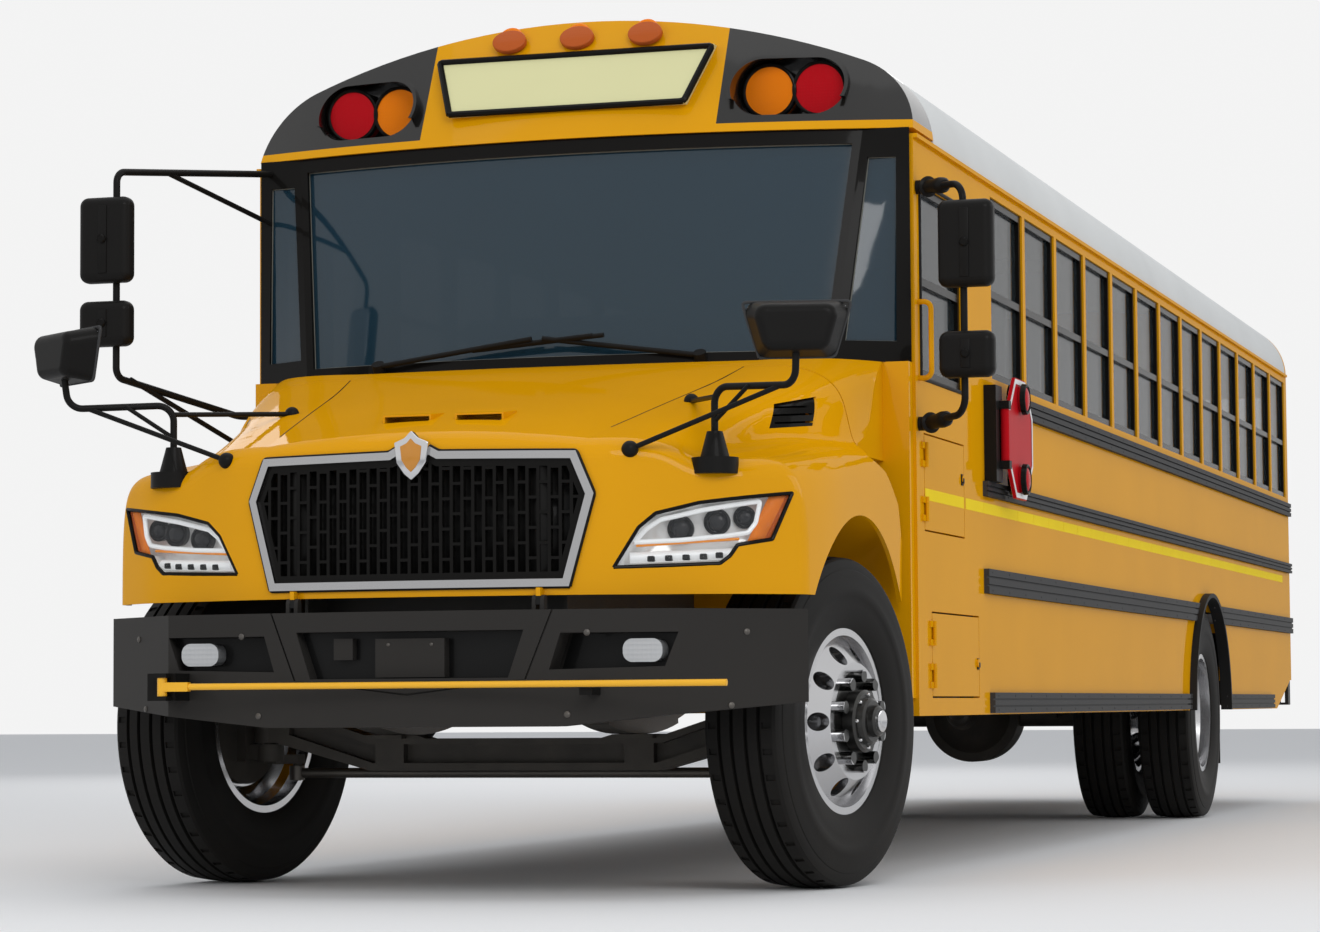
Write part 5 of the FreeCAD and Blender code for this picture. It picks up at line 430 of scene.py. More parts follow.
def finish(name, colour, roughness, spread, grain, bump=0.0, metallic=0.0, coat=0.0, dust=0.0,
           dust_top=0.9, alpha=1.0, glow=0.0, specular=0.5, cells=0.0):
    """A finish with grain in its gloss, a little colour variation, and dust low down."""
    material = bpy.data.materials.new("bus_" + name)
    material.use_nodes = True
    tree = material.node_tree
    shader = tree.nodes["Principled BSDF"]
    place = tree.nodes.new("ShaderNodeTexCoord").outputs["Object"]
    base = colour + (1.0,)
    darker = tuple(c * SHADE for c in colour) + (1.0,)
    shade = mix_colour(tree, noise(tree, place, 1.7, 2.0), darker, base)
    if dust:
        dusty = place_group(tree, "Road dust", place, Colour=shade, Dust=ROAD_DUST, Top=dust_top, Amount=dust)
        shade = dusty.outputs["Colour"]
    feed(tree, shade, shader.inputs["Base Color"])
    surface = place_group(tree, "Surface grain", place, Scale=grain, Roughness=roughness, Spread=spread)
    feed(tree, surface.outputs["Roughness"], shader.inputs["Roughness"])
    height = surface.outputs["Height"]
    if cells:
        pattern = tree.nodes.new("ShaderNodeTexVoronoi")
        pattern.inputs["Scale"].default_value = cells
        pattern.inputs["Randomness"].default_value = 0.0
        feed(tree, place, pattern.inputs["Vector"])
        height = pattern.outputs["Distance"]
    if bump:
        node = tree.nodes.new("ShaderNodeBump")
        node.inputs["Strength"].default_value = 0.5
        node.inputs["Distance"].default_value = bump
        feed(tree, height, node.inputs["Height"])
        feed(tree, node.outputs["Normal"], shader.inputs["Normal"])
    shader.inputs["Metallic"].default_value = metallic
    shader.inputs["Specular IOR Level"].default_value = specular
    shader.inputs["Coat Weight"].default_value = coat
    shader.inputs["Coat Roughness"].default_value = 0.04
    shader.inputs["Alpha"].default_value = alpha
    if glow:
        shader.inputs["Emission Color"].default_value = base
        shader.inputs["Emission Strength"].default_value = glow
    FINISHES[name] = material
    return tree


def object_place(tree):
    """The place on the piece, from the coordinates that the finish already reads."""
    return tree.nodes["Texture Coordinate"].outputs["Object"]


def repaint(tree, mask, colour):
    """Lays another colour over the finish's own where the mask is 1."""
    base = tree.nodes["Principled BSDF"].inputs["Base Color"]
    feed(tree, mix_colour(tree, mask, base.links[0].from_socket, colour), base)


def hood_finish(name, colour):
    """The hood's paint, black below its lower edge, where only its hinge arms are."""
    tree = finish(name, colour, **NOSE_PAINT)
    height = split_place(tree, object_place(tree))["Z"]
    repaint(tree, math_node(tree, "LESS_THAN", height, HOOD_EDGE), HINGE_BLACK)


def hub_finish(name, centre, axis):
    """Polished alloy that turns to dark metal near the wheel's axis, where the hub and nuts stand."""
    tree = finish(name, (0.56, 0.56, 0.57), 0.2, 0.14, 60, metallic=1.0)
    away = object_place(tree)
    for operation, value in (("SUBTRACT", centre), ("CROSS_PRODUCT", axis), ("LENGTH", None)):
        node = tree.nodes.new("ShaderNodeVectorMath")
        node.operation = operation
        feed(tree, away, node.inputs[0])
        if value is not None:
            node.inputs[1].default_value = value
        away = node.outputs["Value" if operation == "LENGTH" else "Vector"]
    repaint(tree, math_node(tree, "LESS_THAN", away, HUB_REACH), HUB_DARK)


def pane_finish(name, colour, panes):
    """Paint that turns to dark clear glass inside the boxes of a door's panes."""
    tree = finish(name, colour, 0.3, 0.08, 120, coat=0.25, specular=0.3)
    place = split_place(tree, object_place(tree))
    inside = 0.0
    for bounds in panes:
        part = 1.0
        for axis, (low, high) in zip("XYZ", bounds):
            above = math_node(tree, "GREATER_THAN", place[axis], low)
            below = math_node(tree, "LESS_THAN", place[axis], high)
            part = math_node(tree, "MULTIPLY", part, math_node(tree, "MULTIPLY", above, below))
        inside = math_node(tree, "MAXIMUM", inside, part)
    repaint(tree, inside, GLAZING)
    alpha = math_node(tree, "SUBTRACT", 1.0, math_node(tree, "MULTIPLY", inside, CLEAR_SHARE))
    feed(tree, alpha, tree.nodes["Principled BSDF"].inputs["Alpha"])


def colour_choice(name, description, default):
    """A colour that a user can pick."""
    return FloatVectorProperty(name=name, description=description, default=default, size=3,
                               subtype="COLOR", min=0, max=1)


class BusColours(bpy.types.PropertyGroup):
    """Colours of the bus that a user would change."""
    body: colour_choice("Body", "Gloss paint of the body and the hood", (0.76, 0.345, 0.002))
    roof: colour_choice("Roof", "Paint of the roof", (0.70, 0.71, 0.70))
    trim: colour_choice("Trim", "Grey of the rub rails", (0.052, 0.052, 0.053))
    tape: colour_choice("Tape", "Reflective tape along the sides", (0.95, 0.70, 0.02))
    glass: colour_choice("Glass", "Tint of the windshield", (0.012, 0.035, 0.055))


def length_choice(name, description, default):
    """A length that a user can set."""
    return FloatProperty(name=name, description=description, default=default, min=0, precision=4,
                         unit="LENGTH")


class BusSizes(bpy.types.PropertyGroup):
    """Sizes of the trim that a user would change."""
    tape_low: length_choice("Tape height", "Height of the tape's lower edge above the ground", 1.272)
    tape_width: length_choice("Tape width", "Width of the reflective tape", 0.040)
    rivet_step: length_choice("Rivet spacing", "Distance from one rivet of a rub rail to the next", 0.300)
    seam_shadow_radius: length_choice("Seam radius", "Radius of the lines along the hood's seams", 0.0022)


def build_finishes():
    """Makes every finish: its colour, roughness, spread of roughness, scale of grain and the rest."""
    build_groups()
    colours = bpy.context.scene.bus_colours
    body = tuple(colours.body)
    finish("hood_yellow", body, **NOSE_PAINT)
    finish("body_yellow", body, 0.42, 0.10, 140, coat=0.18, dust=0.08, specular=0.0)
    finish("roof_white", tuple(colours.roof), 0.45, 0.1, 60, coat=0.1, specular=0.0)
    finish("black_gloss", BLACK, 0.25, 0.08, 90, coat=0.10, specular=0.03)
    finish("black_plastic", (0.010, 0.0095, 0.009), 0.45, 0.12, 400, 0.0004, coat=0.04, specular=0.06)
    finish("bumper_grey", (0.031, 0.029, 0.027), 0.48, 0.12, 500, 0.0003, coat=0.04, dust=0.03, specular=0.06)
    finish("rail_grey", tuple(colours.trim), 0.5, 0.1, 120, coat=0.12, dust=0.05, specular=0.0)
    finish("tyre", (0.0085, 0.008, 0.0075), 0.62, 0.2, 180, 0.0006, dust=0.03, dust_top=1.1, specular=0.12)
    finish("rubber", (0.010, 0.010, 0.010), 0.6, 0.15, 150, 0.0004, dust=0.1, specular=0.15)
    finish("hub_grey", (0.055, 0.054, 0.052), 0.3, 0.15, 120, metallic=0.8, specular=0.3)
    finish("windshield_glass", tuple(colours.glass), 0.05, 0.02, 20, alpha=0.90)
    finish("window_glass", (0.03, 0.04, 0.045), 0.06, 0.02, 20, alpha=0.45)
    finish("chassis_black", (0.012, 0.012, 0.012), 0.5, 0.2, 90, 0.0004, dust=0.4, dust_top=1.3)
    finish("cast", (0.018, 0.017, 0.016), 0.65, 0.2, 220, 0.001, metallic=0.3, dust=0.4, dust_top=1.2)
    finish("steel", (0.09, 0.085, 0.08), 0.45, 0.25, 120, 0.0003, metallic=0.8, dust=0.4, dust_top=1.2)
    finish("chrome", (0.62, 0.62, 0.63), 0.12, 0.08, 60, metallic=1.0)
    finish("mirror_glass", (0.55, 0.57, 0.6), 0.02, 0.01, 20, metallic=1.0)
    finish("lamp_cover", (0.30, 0.31, 0.32), 0.05, 0.03, 60, alpha=0.06, specular=0.3)
    finish("lamp_red", LAMP_RED, 0.16, 0.06, 90, 0.0012, coat=0.03, cells=90, specular=0.03)
    finish("lamp_amber", (0.90, 0.22, 0.006), 0.16, 0.06, 90, 0.0012, coat=0.03, cells=90, specular=0.03)
    finish("marker_amber", (0.48, 0.10, 0.02), 0.2, 0.06, 90, 0.0008, coat=0.1, cells=120, specular=0.05)
    finish("amber_line", (0.92, 0.30, 0.01), 0.2, 0.05, 90, glow=0.1)
    finish("sign_panel", (0.72, 0.70, 0.38), 0.4, 0.08, 300, 0.0002, specular=0.3)
    finish("stop_red", LAMP_RED, 0.38, 0.08, 300, specular=0.03)
    finish("stop_white", (0.78, 0.78, 0.78), 0.38, 0.08, 300, specular=0.3)
    finish("arm_yellow", (0.90, 0.46, 0.015), 0.35, 0.1, 100)
    finish("seat_vinyl", (0.028, 0.033, 0.048), 0.5, 0.15, 250, 0.0006)
    finish("dash_grey", (0.02, 0.021, 0.023), 0.6, 0.1, 400, 0.0005)
    finish("floor_grey", (0.03, 0.03, 0.03), 0.7, 0.1, 150, 0.0005)
    finish("tape_yellow", tuple(colours.tape), 0.4, 0.1, 250, 0.0001, coat=0.06, specular=0.0, cells=300)
    finish("reflector", (0.78, 0.78, 0.77), 0.22, 0.1, 90, metallic=0.25, glow=0.10)
    finish("projector", (0.008, 0.008, 0.009), 0.05, 0.02, 60, coat=0.12, specular=0.2)
    finish("led_white", (0.85, 0.86, 0.86), 0.2, 0.05, 90, glow=0.22)
    finish("badge_orange", (0.55, 0.22, 0.015), 0.2, 0.06, 90, coat=0.3)
    finish("fog_lens", (0.50, 0.51, 0.52), 0.15, 0.06, 90, 0.0015, metallic=0.4, coat=0.3, cells=70)
    finish("satin", (0.44, 0.44, 0.445), 0.2, 0.1, 60, metallic=1.0)
    finish("pod_black", BLACK, 0.2, 0.06, 90, coat=0.55, specular=0.2)
    finish("gasket_grey", (0.16, 0.16, 0.14), 0.5, 0.1, 150, specular=0.2)
    finish("lamp_black", (0.006, 0.006, 0.006), 0.35, 0.1, 90, coat=0.1, specular=0.1)
    hood_finish("hood_paint", body)
    for side, label in BOTH:
        hub_finish("front_alloy_" + label, *wheel_place(side, True))
        hub_finish("rear_alloy_" + label, *wheel_place(side, False))
    pane_finish("leaf_glazed", (0.008, 0.008, 0.009), ENTRANCE_PANES)
    pane_finish("rear_door_glazed", body, REAR_DOOR_PANES)


# The nodes of the frame that each finish goes on.
COVERED = {
    "chassis_black": ("frame_rails", "fuel_tank", "radiator"),
    "cast": ("front_axle", "rear_axle", "engine", "knuckle_left", "knuckle_right"),
    "steel": ("leaf_springs", "driveshaft", "exhaust", "tie_rod"),
    "tyre": ("front_tyre_left", "front_tyre_right", "rear_tyres_left", "rear_tyres_right"),
    "front_alloy_left": ("front_wheel_left",),
    "front_alloy_right": ("front_wheel_right",),
    "rear_alloy_left": ("rear_wheels_left",),
    "rear_alloy_right": ("rear_wheels_right",),
    "bumper_grey": ("front_bumper", "rear_bumper"),
    "body_yellow": ("left_wall", "right_wall", "rear_wall", "upper_side_hatch", "lower_side_hatch"),
    "roof_white": ("roof", "roof_hatch_front", "roof_hatch_rear"),
    "floor_grey": ("floor", "entrance_steps"),
    "hood_yellow": ("cowl", "front_cap"),
    "hood_paint": ("hood",),
    "leaf_glazed": ("entrance_door_front", "entrance_door_rear"),
    "rear_door_glazed": ("emergency_door",),
    "black_gloss": ("windshield_frame", "grille", "side_windows"),
    "black_plastic": ("hood_mirrors", "side_mirrors", "arm_brackets", "wipers"),
    "pod_black": ("lamp_pods",),
    "satin": ("grille_surround",),
    "reflector": ("headlamps",),
    "fog_lens": ("fog_lamps",),
    "lamp_red": ("red_lamps",),
    "lamp_amber": ("amber_lamps",),
    "sign_panel": ("signs",),
    "windshield_glass": ("windshield",),
    "window_glass": ("window_glass",),
    "rail_grey": ("rub_rails",),
    "rubber": ("rear_arch_rubber",),
    "stop_red": ("stop_arm",),
    "arm_yellow": ("crossing_arm",),
    "seat_vinyl": ("seats",),
    "dash_grey": ("dashboard",),
}


class BUS_OT_finishes(bpy.types.Operator):
    """Makes every finish and gives each part of the frame its own"""
    bl_idname = "bus.finishes"
    bl_label = "Finishes"

    def execute(self, context):
        build_finishes()
        chosen = {node: name for name, nodes in COVERED.items() for node in nodes}
        for name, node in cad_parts.items():
            node.data.materials.clear()
            node.data.materials.append(FINISHES[chosen[name]])
        return {"FINISHED"}


# Tyres
TYRE_RADIUS = 0.527
TREAD_HALF = 0.112
TREAD_DROP = 0.008
TREAD_ANGLE = math.radians(28)
GROOVES = (-0.068, -0.024, 0.024, 0.068)
GROOVE_EDGES = ((-0.0065, 0.0), (-0.0042, 0.014), (0.0042, 0.014), (0.0065, 0.0))
SIDEWALL = ((0.100, 0.2885), (0.116, 0.2975), (0.1285, 0.325), (0.1370, 0.372), (0.1380, 0.396),
            (0.1393, 0.399), (0.1393, 0.424), (0.1380, 0.428), (0.1360, 0.455), (0.1310, 0.480),
            (0.1285, 0.483), (0.1262, 0.500), (0.1205, 0.5125))
LINER = ((0.094, 0.292), (0.115, 0.345), (0.122, 0.420), (0.106, 0.488), (0.0, 0.500))
TYRE_STEPS = 120
NOTCH_EVERY = 3
NOTCH_FROM = GROOVES[-1] + 0.010
NOTCH_RADIUS = TYRE_RADIUS - 0.012
NOTCH_INSET = 0.004
NOTCH_DEPTH = 0.006
STEER = math.radians(-11)
KINGPIN_HALF = 0.880
FRONT_TRACK_HALF = 1.010
REAR_TRACK_HALF = 0.892
DUAL_HALF = 0.1625


def crown(along):
    """Radius of the tread at a distance along the wheel's axis."""
    return TYRE_RADIUS - TREAD_DROP * (along / TREAD_HALF) ** 2


def tyre_profile():
    """Section of the tyre: sidewalls with a scuff band, a ribbed tread and the inner liner."""
    tread = [(-TREAD_HALF, crown(TREAD_HALF))]
    for middle in GROOVES:
        tread += [(middle + shift, crown(middle + shift) - sunk) for shift, sunk in GROOVE_EDGES]
    tread.append((TREAD_HALF, crown(TREAD_HALF)))
    left = [(-a, r) for a, r in SIDEWALL]
    right = list(reversed(SIDEWALL))
    inside = list(LINER) + [(-a, r) for a, r in reversed(LINER[:-1])]
    return left + tread + right + inside


def wheel_place(side, front, shift=0.0):
    """Centre and axis of a wheel's tyre, the axis pointing outboard."""
    if not front:
        return at(side * (REAR_TRACK_HALF + shift), WHEELBASE, AXLE_HEIGHT), Vector((side, 0, 0))
    axis = Matrix.Rotation(STEER, 3, "Z") @ Vector((side, 0, 0))
    pivot = at(side * KINGPIN_HALF, 0.0, AXLE_HEIGHT)
    return pivot + axis * (FRONT_TRACK_HALF - KINGPIN_HALF), axis


def add_tyre(centre, axis):
    """One tyre, with notches cut across its outer ribs."""
    piece = turned(tyre_profile(), centre, axis, TYRE_STEPS, TREAD_ANGLE)
    side = axis.orthogonal().normalized()
    other = axis.cross(side)

    def notch(middle, normal):
        away = middle - centre
        along = away.dot(axis)
        turn = math.atan2(away.dot(other), away.dot(side)) % (2 * math.pi)
        number = int(turn / (2 * math.pi) * TYRE_STEPS)
        outer_rib = NOTCH_FROM < abs(along) < TREAD_HALF
        return outer_rib and number % NOTCH_EVERY == 0 and (away - axis * along).length > NOTCH_RADIUS

    choose_faces(piece, notch)
    bpy.ops.mesh.inset(thickness=NOTCH_INSET, depth=0.0, use_individual=True)
    bpy.ops.mesh.extrude_region_shrink_fatten(TRANSFORM_OT_shrink_fatten={"value": -NOTCH_DEPTH})
    bpy.ops.mesh.select_mode(type="VERT")
    return done(piece, TREAD_ANGLE)


class BUS_OT_tyres(bpy.types.Operator):
    """Puts ribbed tyres on all six rims"""
    bl_idname = "bus.tyres"
    bl_label = "Tyres"

    def execute(self, context):
        for side, label in BOTH:
            tyre = add_tyre(*wheel_place(side, True))
            front = fitted("tyre_front_" + label, [tyre], "tyre", "wheel_front_" + label)
            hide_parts("front_tyre_" + label)
            pair = [add_tyre(*wheel_place(side, False, shift)) for shift in (-DUAL_HALF, DUAL_HALF)]
            rear = fitted("tyres_rear_" + label, pair, "tyre", "wheels_rear_" + label)
            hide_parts("rear_tyres_" + label)
        return {"FINISHED"}


# Hub caps, as (along, radius) pairs from the middle of the tyre outwards
HUB_PROFILE = ((0.1502, 0.0), (0.1502, 0.0988), (0.1848, 0.0988), (0.1912, 0.0906), (0.1912, 0.0768),
               (0.2068, 0.0728), (0.2130, 0.0648), (0.2130, 0.0508), (0.2308, 0.0488), (0.2368, 0.0408),
               (0.2368, 0.0))
OIL_CAP_PROFILE = ((0.2364, 0.0), (0.2364, 0.034), (0.2440, 0.034), (0.2460, 0.030), (0.2460, 0.022),
                   (0.2500, 0.018), (0.2510, 0.0))
HUB_STEPS = 64
OIL_CAP_STEPS = 48
HUB_STUDS = 8
STUD_FLOOR = 0.1912
STUD_CIRCLE = 0.0838
# Radius and height of a stud's head.
STUD_HEAD = (0.0062, 0.010)
BOLT_SIDES = 12


def bolt_head(radius, height):
    """A small domed head that stands on the floor plane, facing up."""
    profile = [(-height / 2, 0.0), (-height / 2, radius), (height * 0.4, radius),
               (height * 0.8, radius * 0.7), (height, 0.0)]
    return turned(profile, (0, 0, 0), (0, 0, 1), BOLT_SIDES)


class BUS_OT_hub_caps(bpy.types.Operator):
    """Covers the front hubs with their stepped caps, studs and oil caps"""
    bl_idname = "bus.hub_caps"
    bl_label = "Hub caps"

    def execute(self, context):
        for side, label in BOTH:
            centre, axis = wheel_place(side, True)
            body = "wheel_front_" + label
            cap = turned(HUB_PROFILE, centre, axis, HUB_STEPS)
            fitted("hub_cover_" + label, [cap], "hub_grey", body)
            oil_cap = turned(OIL_CAP_PROFILE, centre, axis, OIL_CAP_STEPS)
            fitted("oil_cap_" + label, [oil_cap], "chrome", body)
            first = axis.orthogonal().normalized()
            spots = []
            for number in range(HUB_STUDS):
                way = Matrix.Rotation(2 * math.pi * number / HUB_STUDS, 3, axis) @ first
                spots.append((centre + axis * STUD_FLOOR + way * STUD_CIRCLE, axis))
            studs = scattered(bolt_head(*STUD_HEAD), spots)
            fitted("hub_studs_" + label, studs, "chrome", body)
        return {"FINISHED"}


# Headlamps
HEADLAMP_OUTLINE = ((0.614, 0.996), (0.685, 1.117), (0.734, 1.160), (0.859, 1.191), (1.108, 1.222),
                    (1.056, 1.080), (0.966, 1.062), (0.945, 1.029), (0.917, 1.006))
AMBER_FROM = 1.018
MARKER_FROM = 1.062
AMBER_HIGH = 1.142
AMBER_LEAN = (0.145, 0, -0.060)
# How far the amber piece stands behind the cover, and the marker lamp's piece ahead of that one.
AMBER_SETBACK = 0.006
MARKER_AHEAD = 0.004
BOWL_SHEET = 0.003
AMBER_SHEET = 0.004
COVER_SHEET = 0.0025
RIM_DEEP = 0.004
RIM_RADIUS = 0.0065
RIM_BEND = 0.004
GUIDE_DEEP = 0.022
GUIDE_RADIUS = 0.0075
GUIDE_BEND = 0.01
LIGHT_GUIDE = ((0.668, 1.072), (0.702, 1.112), (0.742, 1.140), (0.862, 1.168), (1.022, 1.196), (1.010, 1.130),
               (0.990, 1.100), (0.930, 1.090), (0.800, 1.078))
PROJECTORS = ((0.790, 1.114, 0.030), (0.895, 1.134, 0.030), (0.972, 1.148, 0.024))
PROJECTOR_DEEP = 0.060
LENS_STEPS = 40
PROJECTOR_WAY = Vector((0.12, -1, 0)).normalized()
SMALL_LAMPS = ((0.715, 1.022), (0.765, 1.024), (0.815, 1.026), (0.865, 1.028), (0.910, 1.032))
SMALL_LAMP_DEEP = 0.016
SMALL_LAMP_BEVEL = 0.004
SMALL_LAMP_HALF = Vector((0.011, 0.0, 0.009))
SMALL_LAMP_DEPTH = Vector((0.0, 0.020, 0.0))
BAR_START = 0.672
AMBER_BAR = (0.672, 0.75, 0.83, 0.91, 0.965)
TRAY_BAR = (0.650, 0.75, 0.83, 0.91, 0.940)


def nose_y(x):
    """How far back the hood's bowed front stands at x, as the world's y."""
    return facing("hood", x, 0.93)[0].y


def on_nose(x, z, deep):
    """A point at x and z, set back from the hood's bowed front."""
    return Vector((x, nose_y(x) + deep, z))


def traced(outline, deep, steps=6):
    """Points along a closed outline of (x, z) corners, laid on the hood's bowed front."""
    points = []
    for (x0, z0), (x1, z1) in zip(outline, outline[1:] + outline[:1]):
        for step in range(steps):
            share = step / steps
            points.append(on_nose(x0 + (x1 - x0) * share, z0 + (z1 - z0) * share, deep))
    return points + points[:1]


def outboard_part(piece, shift, start):
    """A copy set back by shift, of which only the part outboard of start stays."""
    part = copied(piece, Matrix.Translation((0, shift, 0)))
    edit(part)
    bpy.ops.mesh.bisect(plane_co=at(start, 0, AMBER_HIGH), plane_no=AMBER_LEAN, clear_inner=True)
    return done(part)


def lamp_bar(columns, height, slope, deep, radius, sides):
    """A bar across the lamp, which rises by slope from where the lamp's bars start."""
    points = [on_nose(x, height + (x - BAR_START) * slope, deep) for x in columns]
    return tube(points, radius, 0.02, 2, sides)


class BUS_OT_headlamps(bpy.types.Operator):
    """Builds the headlamps: silver bowls, projectors, a row of small lamps, amber ends and covers"""
    bl_idname = "bus.headlamps"
    bl_label = "Headlamps"

    def execute(self, context):
        bowls = node_copy("headlamps")
        choose_faces(bowls, lambda middle, normal: normal.y < FRONTAL)
        drop_faces()
        done(bowls)
        modified(bowls, "SOLIDIFY", thickness=BOWL_SHEET, offset=-1.0)
        fitted("headlamp_bowls", [bowls], "reflector", "hood")

        cover = node_copy("headlamps")
        choose_faces(cover, lambda middle, normal: normal.y >= FRONTAL)
        drop_faces()
        done(cover)
        amber = outboard_part(cover, AMBER_SETBACK, AMBER_FROM)
        marker = outboard_part(amber, -MARKER_AHEAD, MARKER_FROM)
        for piece, name, finish_name in ((amber, "headlamp_amber", "lamp_amber"),
                                         (marker, "headlamp_marker", "marker_amber")):
            modified(piece, "SOLIDIFY", thickness=AMBER_SHEET, offset=-1.0)
            fitted(name, both_sides(piece), finish_name, "hood")
        modified(cover, "SOLIDIFY", thickness=COVER_SHEET, offset=-1.0)
        fitted("headlamp_covers", [cover], "lamp_cover", "hood")

        rims = [tube(traced(HEADLAMP_OUTLINE, RIM_DEEP), RIM_RADIUS, RIM_BEND, 2)]
        bezels = []
        lenses = []
        for x, z, radius in PROJECTORS:
            base = on_nose(x, z, PROJECTOR_DEEP)
            lens = [(-0.03, 0.0), (-0.03, radius), (0.0, radius), (radius * 0.3, radius * 0.8),
                    (radius * 0.46, radius * 0.45), (radius * 0.5, 0.0)]
            lenses.append(turned(lens, base, PROJECTOR_WAY, LENS_STEPS))
            ring = [(-0.032, radius + 0.001), (0.003, radius + 0.001), (0.008, radius + 0.005),
                    (0.004, radius + 0.011), (-0.010, radius + 0.009), (-0.032, radius + 0.007)]
            bezels.append(turned(ring, base, PROJECTOR_WAY, LENS_STEPS))
        small = []
        for x, z in SMALL_LAMPS:
            middle = on_nose(x, z, SMALL_LAMP_DEEP)
            small.append(rounded_box(middle - SMALL_LAMP_HALF, middle + SMALL_LAMP_HALF + SMALL_LAMP_DEPTH,
                                     SMALL_LAMP_BEVEL))
        amber_bar = [lamp_bar(AMBER_BAR, 1.062, 0.066, 0.026, 0.0045, 8)]
        tray = [lamp_bar(TRAY_BAR, 1.026, 0.040, 0.040, 0.017, 12)]
        guide = [tube(traced(LIGHT_GUIDE, GUIDE_DEEP, 3), GUIDE_RADIUS, GUIDE_BEND, 2)]
        for name, pieces, finish_name, slot in (
                ("headlamp_rims", rims, "black_gloss", "black_gloss"),
                ("headlamp_bezels", bezels, "lamp_black", "black_gloss"),
                ("headlamp_projectors", lenses, "projector", "lamp_glass"),
                ("headlamp_small_lamps", small, "lamp_black", "black_gloss"),
                ("headlamp_amber_line", amber_bar, "amber_line", "lamp_amber"),
                ("headlamp_trays", tray, "led_white", "lamp_glass"),
                ("headlamp_light_guides", guide, "led_white", "lamp_glass")):
            fitted(name, both_sides(joined(pieces)), finish_name, "hood")
        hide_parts("headlamps")
        return {"FINISHED"}


# Nose
# Places along the hood's seams, as x and station, where a thin black line is laid as painted shadow in the
# seam.
SEAM_PLACES = ((0.503, -0.890), (0.548, -0.700), (0.573, -0.550), (0.596, -0.400), (0.620, -0.250),
               (0.643, -0.100), (0.668, 0.060), (0.690, 0.200), (0.702, 0.272))
SEAM_SINK = 0.0008
# Just outside the side vent's outline, as y and z, and how far behind the skin its black sheet of painted
# shade stands.
VENT_SHADE_OUTLINE = ((-0.106, 1.550), (0.112, 1.590), (0.016, 1.466), (-0.242, 1.441))
VENT_SHADE_DEPTH = 0.040
GRILLE_HALF = ((0.488, 0.940), (0.563, 1.220), (0.510, 1.350), (0.082, 1.357), (0.0, 1.402))
GRILLE_EDGE = GRILLE_HALF + tuple((-x, z) for x, z in reversed(GRILLE_HALF[:-1]))
SCREEN_LOW = 0.952
SCREEN_RISE = 0.376
SCREEN_DEEP = 0.034
SCREEN_SHEET = 0.004
VENT_SHADE_SHEET = 0.004
EDGE_PROUD = 0.006
EDGE_RADIUS = 0.006
# The screen is cut along a line through each corner, square to the direction beside it.
SCREEN_CUTS = (((0.482, 0.945), (0.275, -0.075)), ((0.556, 1.220), (0.130, 0.053)))
BADGE = ((0.0, 1.420), (0.022, 1.398), (0.056, 1.384), (0.048, 1.322), (0.024, 1.288), (0.0, 1.268),
         (-0.024, 1.288), (-0.048, 1.322), (-0.056, 1.384), (-0.022, 1.398))
BADGE_PROUD = 0.030
BADGE_DEPTH = 0.026
BADGE_BEVEL = 0.004
BADGE_MIDDLE = sum(z for _, z in BADGE) / len(BADGE)
FIELD_WIDTH = 0.62
FIELD_HEIGHT = 0.68
FIELD_PROUD = 0.004
FIELD_DEPTH = 0.012
FIELD_BEVEL = 0.002


class BUS_OT_nose(bpy.types.Operator):
    """Adds black lines as painted shadow in the hood's seams, the grille's edge line and screen, black sheets
    as painted shade behind the vents, and the plain badge
    """
    bl_idname = "bus.nose"
    bl_label = "Nose"

    def execute(self, context):
        # The thin black lines sunk into the seams are painted shadow in the seam gaps.
        seam = []
        for x, y in SEAM_PLACES:
            place, normal = struck("hood", at(x, y, 2.2), (0, 0, -1))
            seam.append(place - normal * SEAM_SINK)
        lines = both_sides(tube(seam, context.scene.bus_sizes.seam_shadow_radius, 0.02, 2))
        fitted("hood_seams", lines, "black_plastic", "hood")

        columns = [x / 100 for x in range(-56, 57, 4)]
        screen = line([on_nose(x, SCREEN_LOW, SCREEN_DEEP) for x in columns])
        bpy.ops.mesh.extrude_region_move(TRANSFORM_OT_translate={"value": (0, 0, SCREEN_RISE)})
        for side in (-1, 1):
            for (x, z), (across, up) in SCREEN_CUTS:
                bpy.ops.mesh.select_all(action="SELECT")
                bpy.ops.mesh.bisect(plane_co=(side * x, 0, z), plane_no=(side * across, 0, up),
                                    clear_outer=True)
        done(screen)
        modified(screen, "SOLIDIFY", thickness=SCREEN_SHEET, offset=0.0)
        fitted("grille_screen", [screen], "black_plastic", "hood")

        edge = tube(traced(GRILLE_EDGE, -EDGE_PROUD), EDGE_RADIUS, 0.02, 3)
        fitted("grille_edge", [edge], "black_plastic", "hood")
        # A black sheet behind each vent is painted shade, standing for the dark inside of the hood.
        behind = Vector((VENT_SHADE_DEPTH, 0, 0))
        corners = [struck("hood", at(1.5, y, z), (-1, 0, 0))[0] - behind for y, z in VENT_SHADE_OUTLINE]
        back = plate(corners, Vector((-VENT_SHADE_SHEET, 0, 0)))
        fitted("vent_backs", both_sides(back), "black_plastic", "hood")

        face = nose_y(0.0) - BADGE_PROUD
        rim = plate([Vector((x, face, z)) for x, z in BADGE], Vector((0, BADGE_DEPTH, 0)), BADGE_BEVEL, 3)
        fitted("badge_rim", [rim], "chrome", "hood")
        face -= FIELD_PROUD
        inner = [Vector((x * FIELD_WIDTH, face, BADGE_MIDDLE + (z - BADGE_MIDDLE) * FIELD_HEIGHT))
                 for x, z in BADGE]
        field = plate(inner, Vector((0, FIELD_DEPTH, 0)), FIELD_BEVEL)
        fitted("badge_field", [field], "badge_orange", "hood")
        return {"FINISHED"}


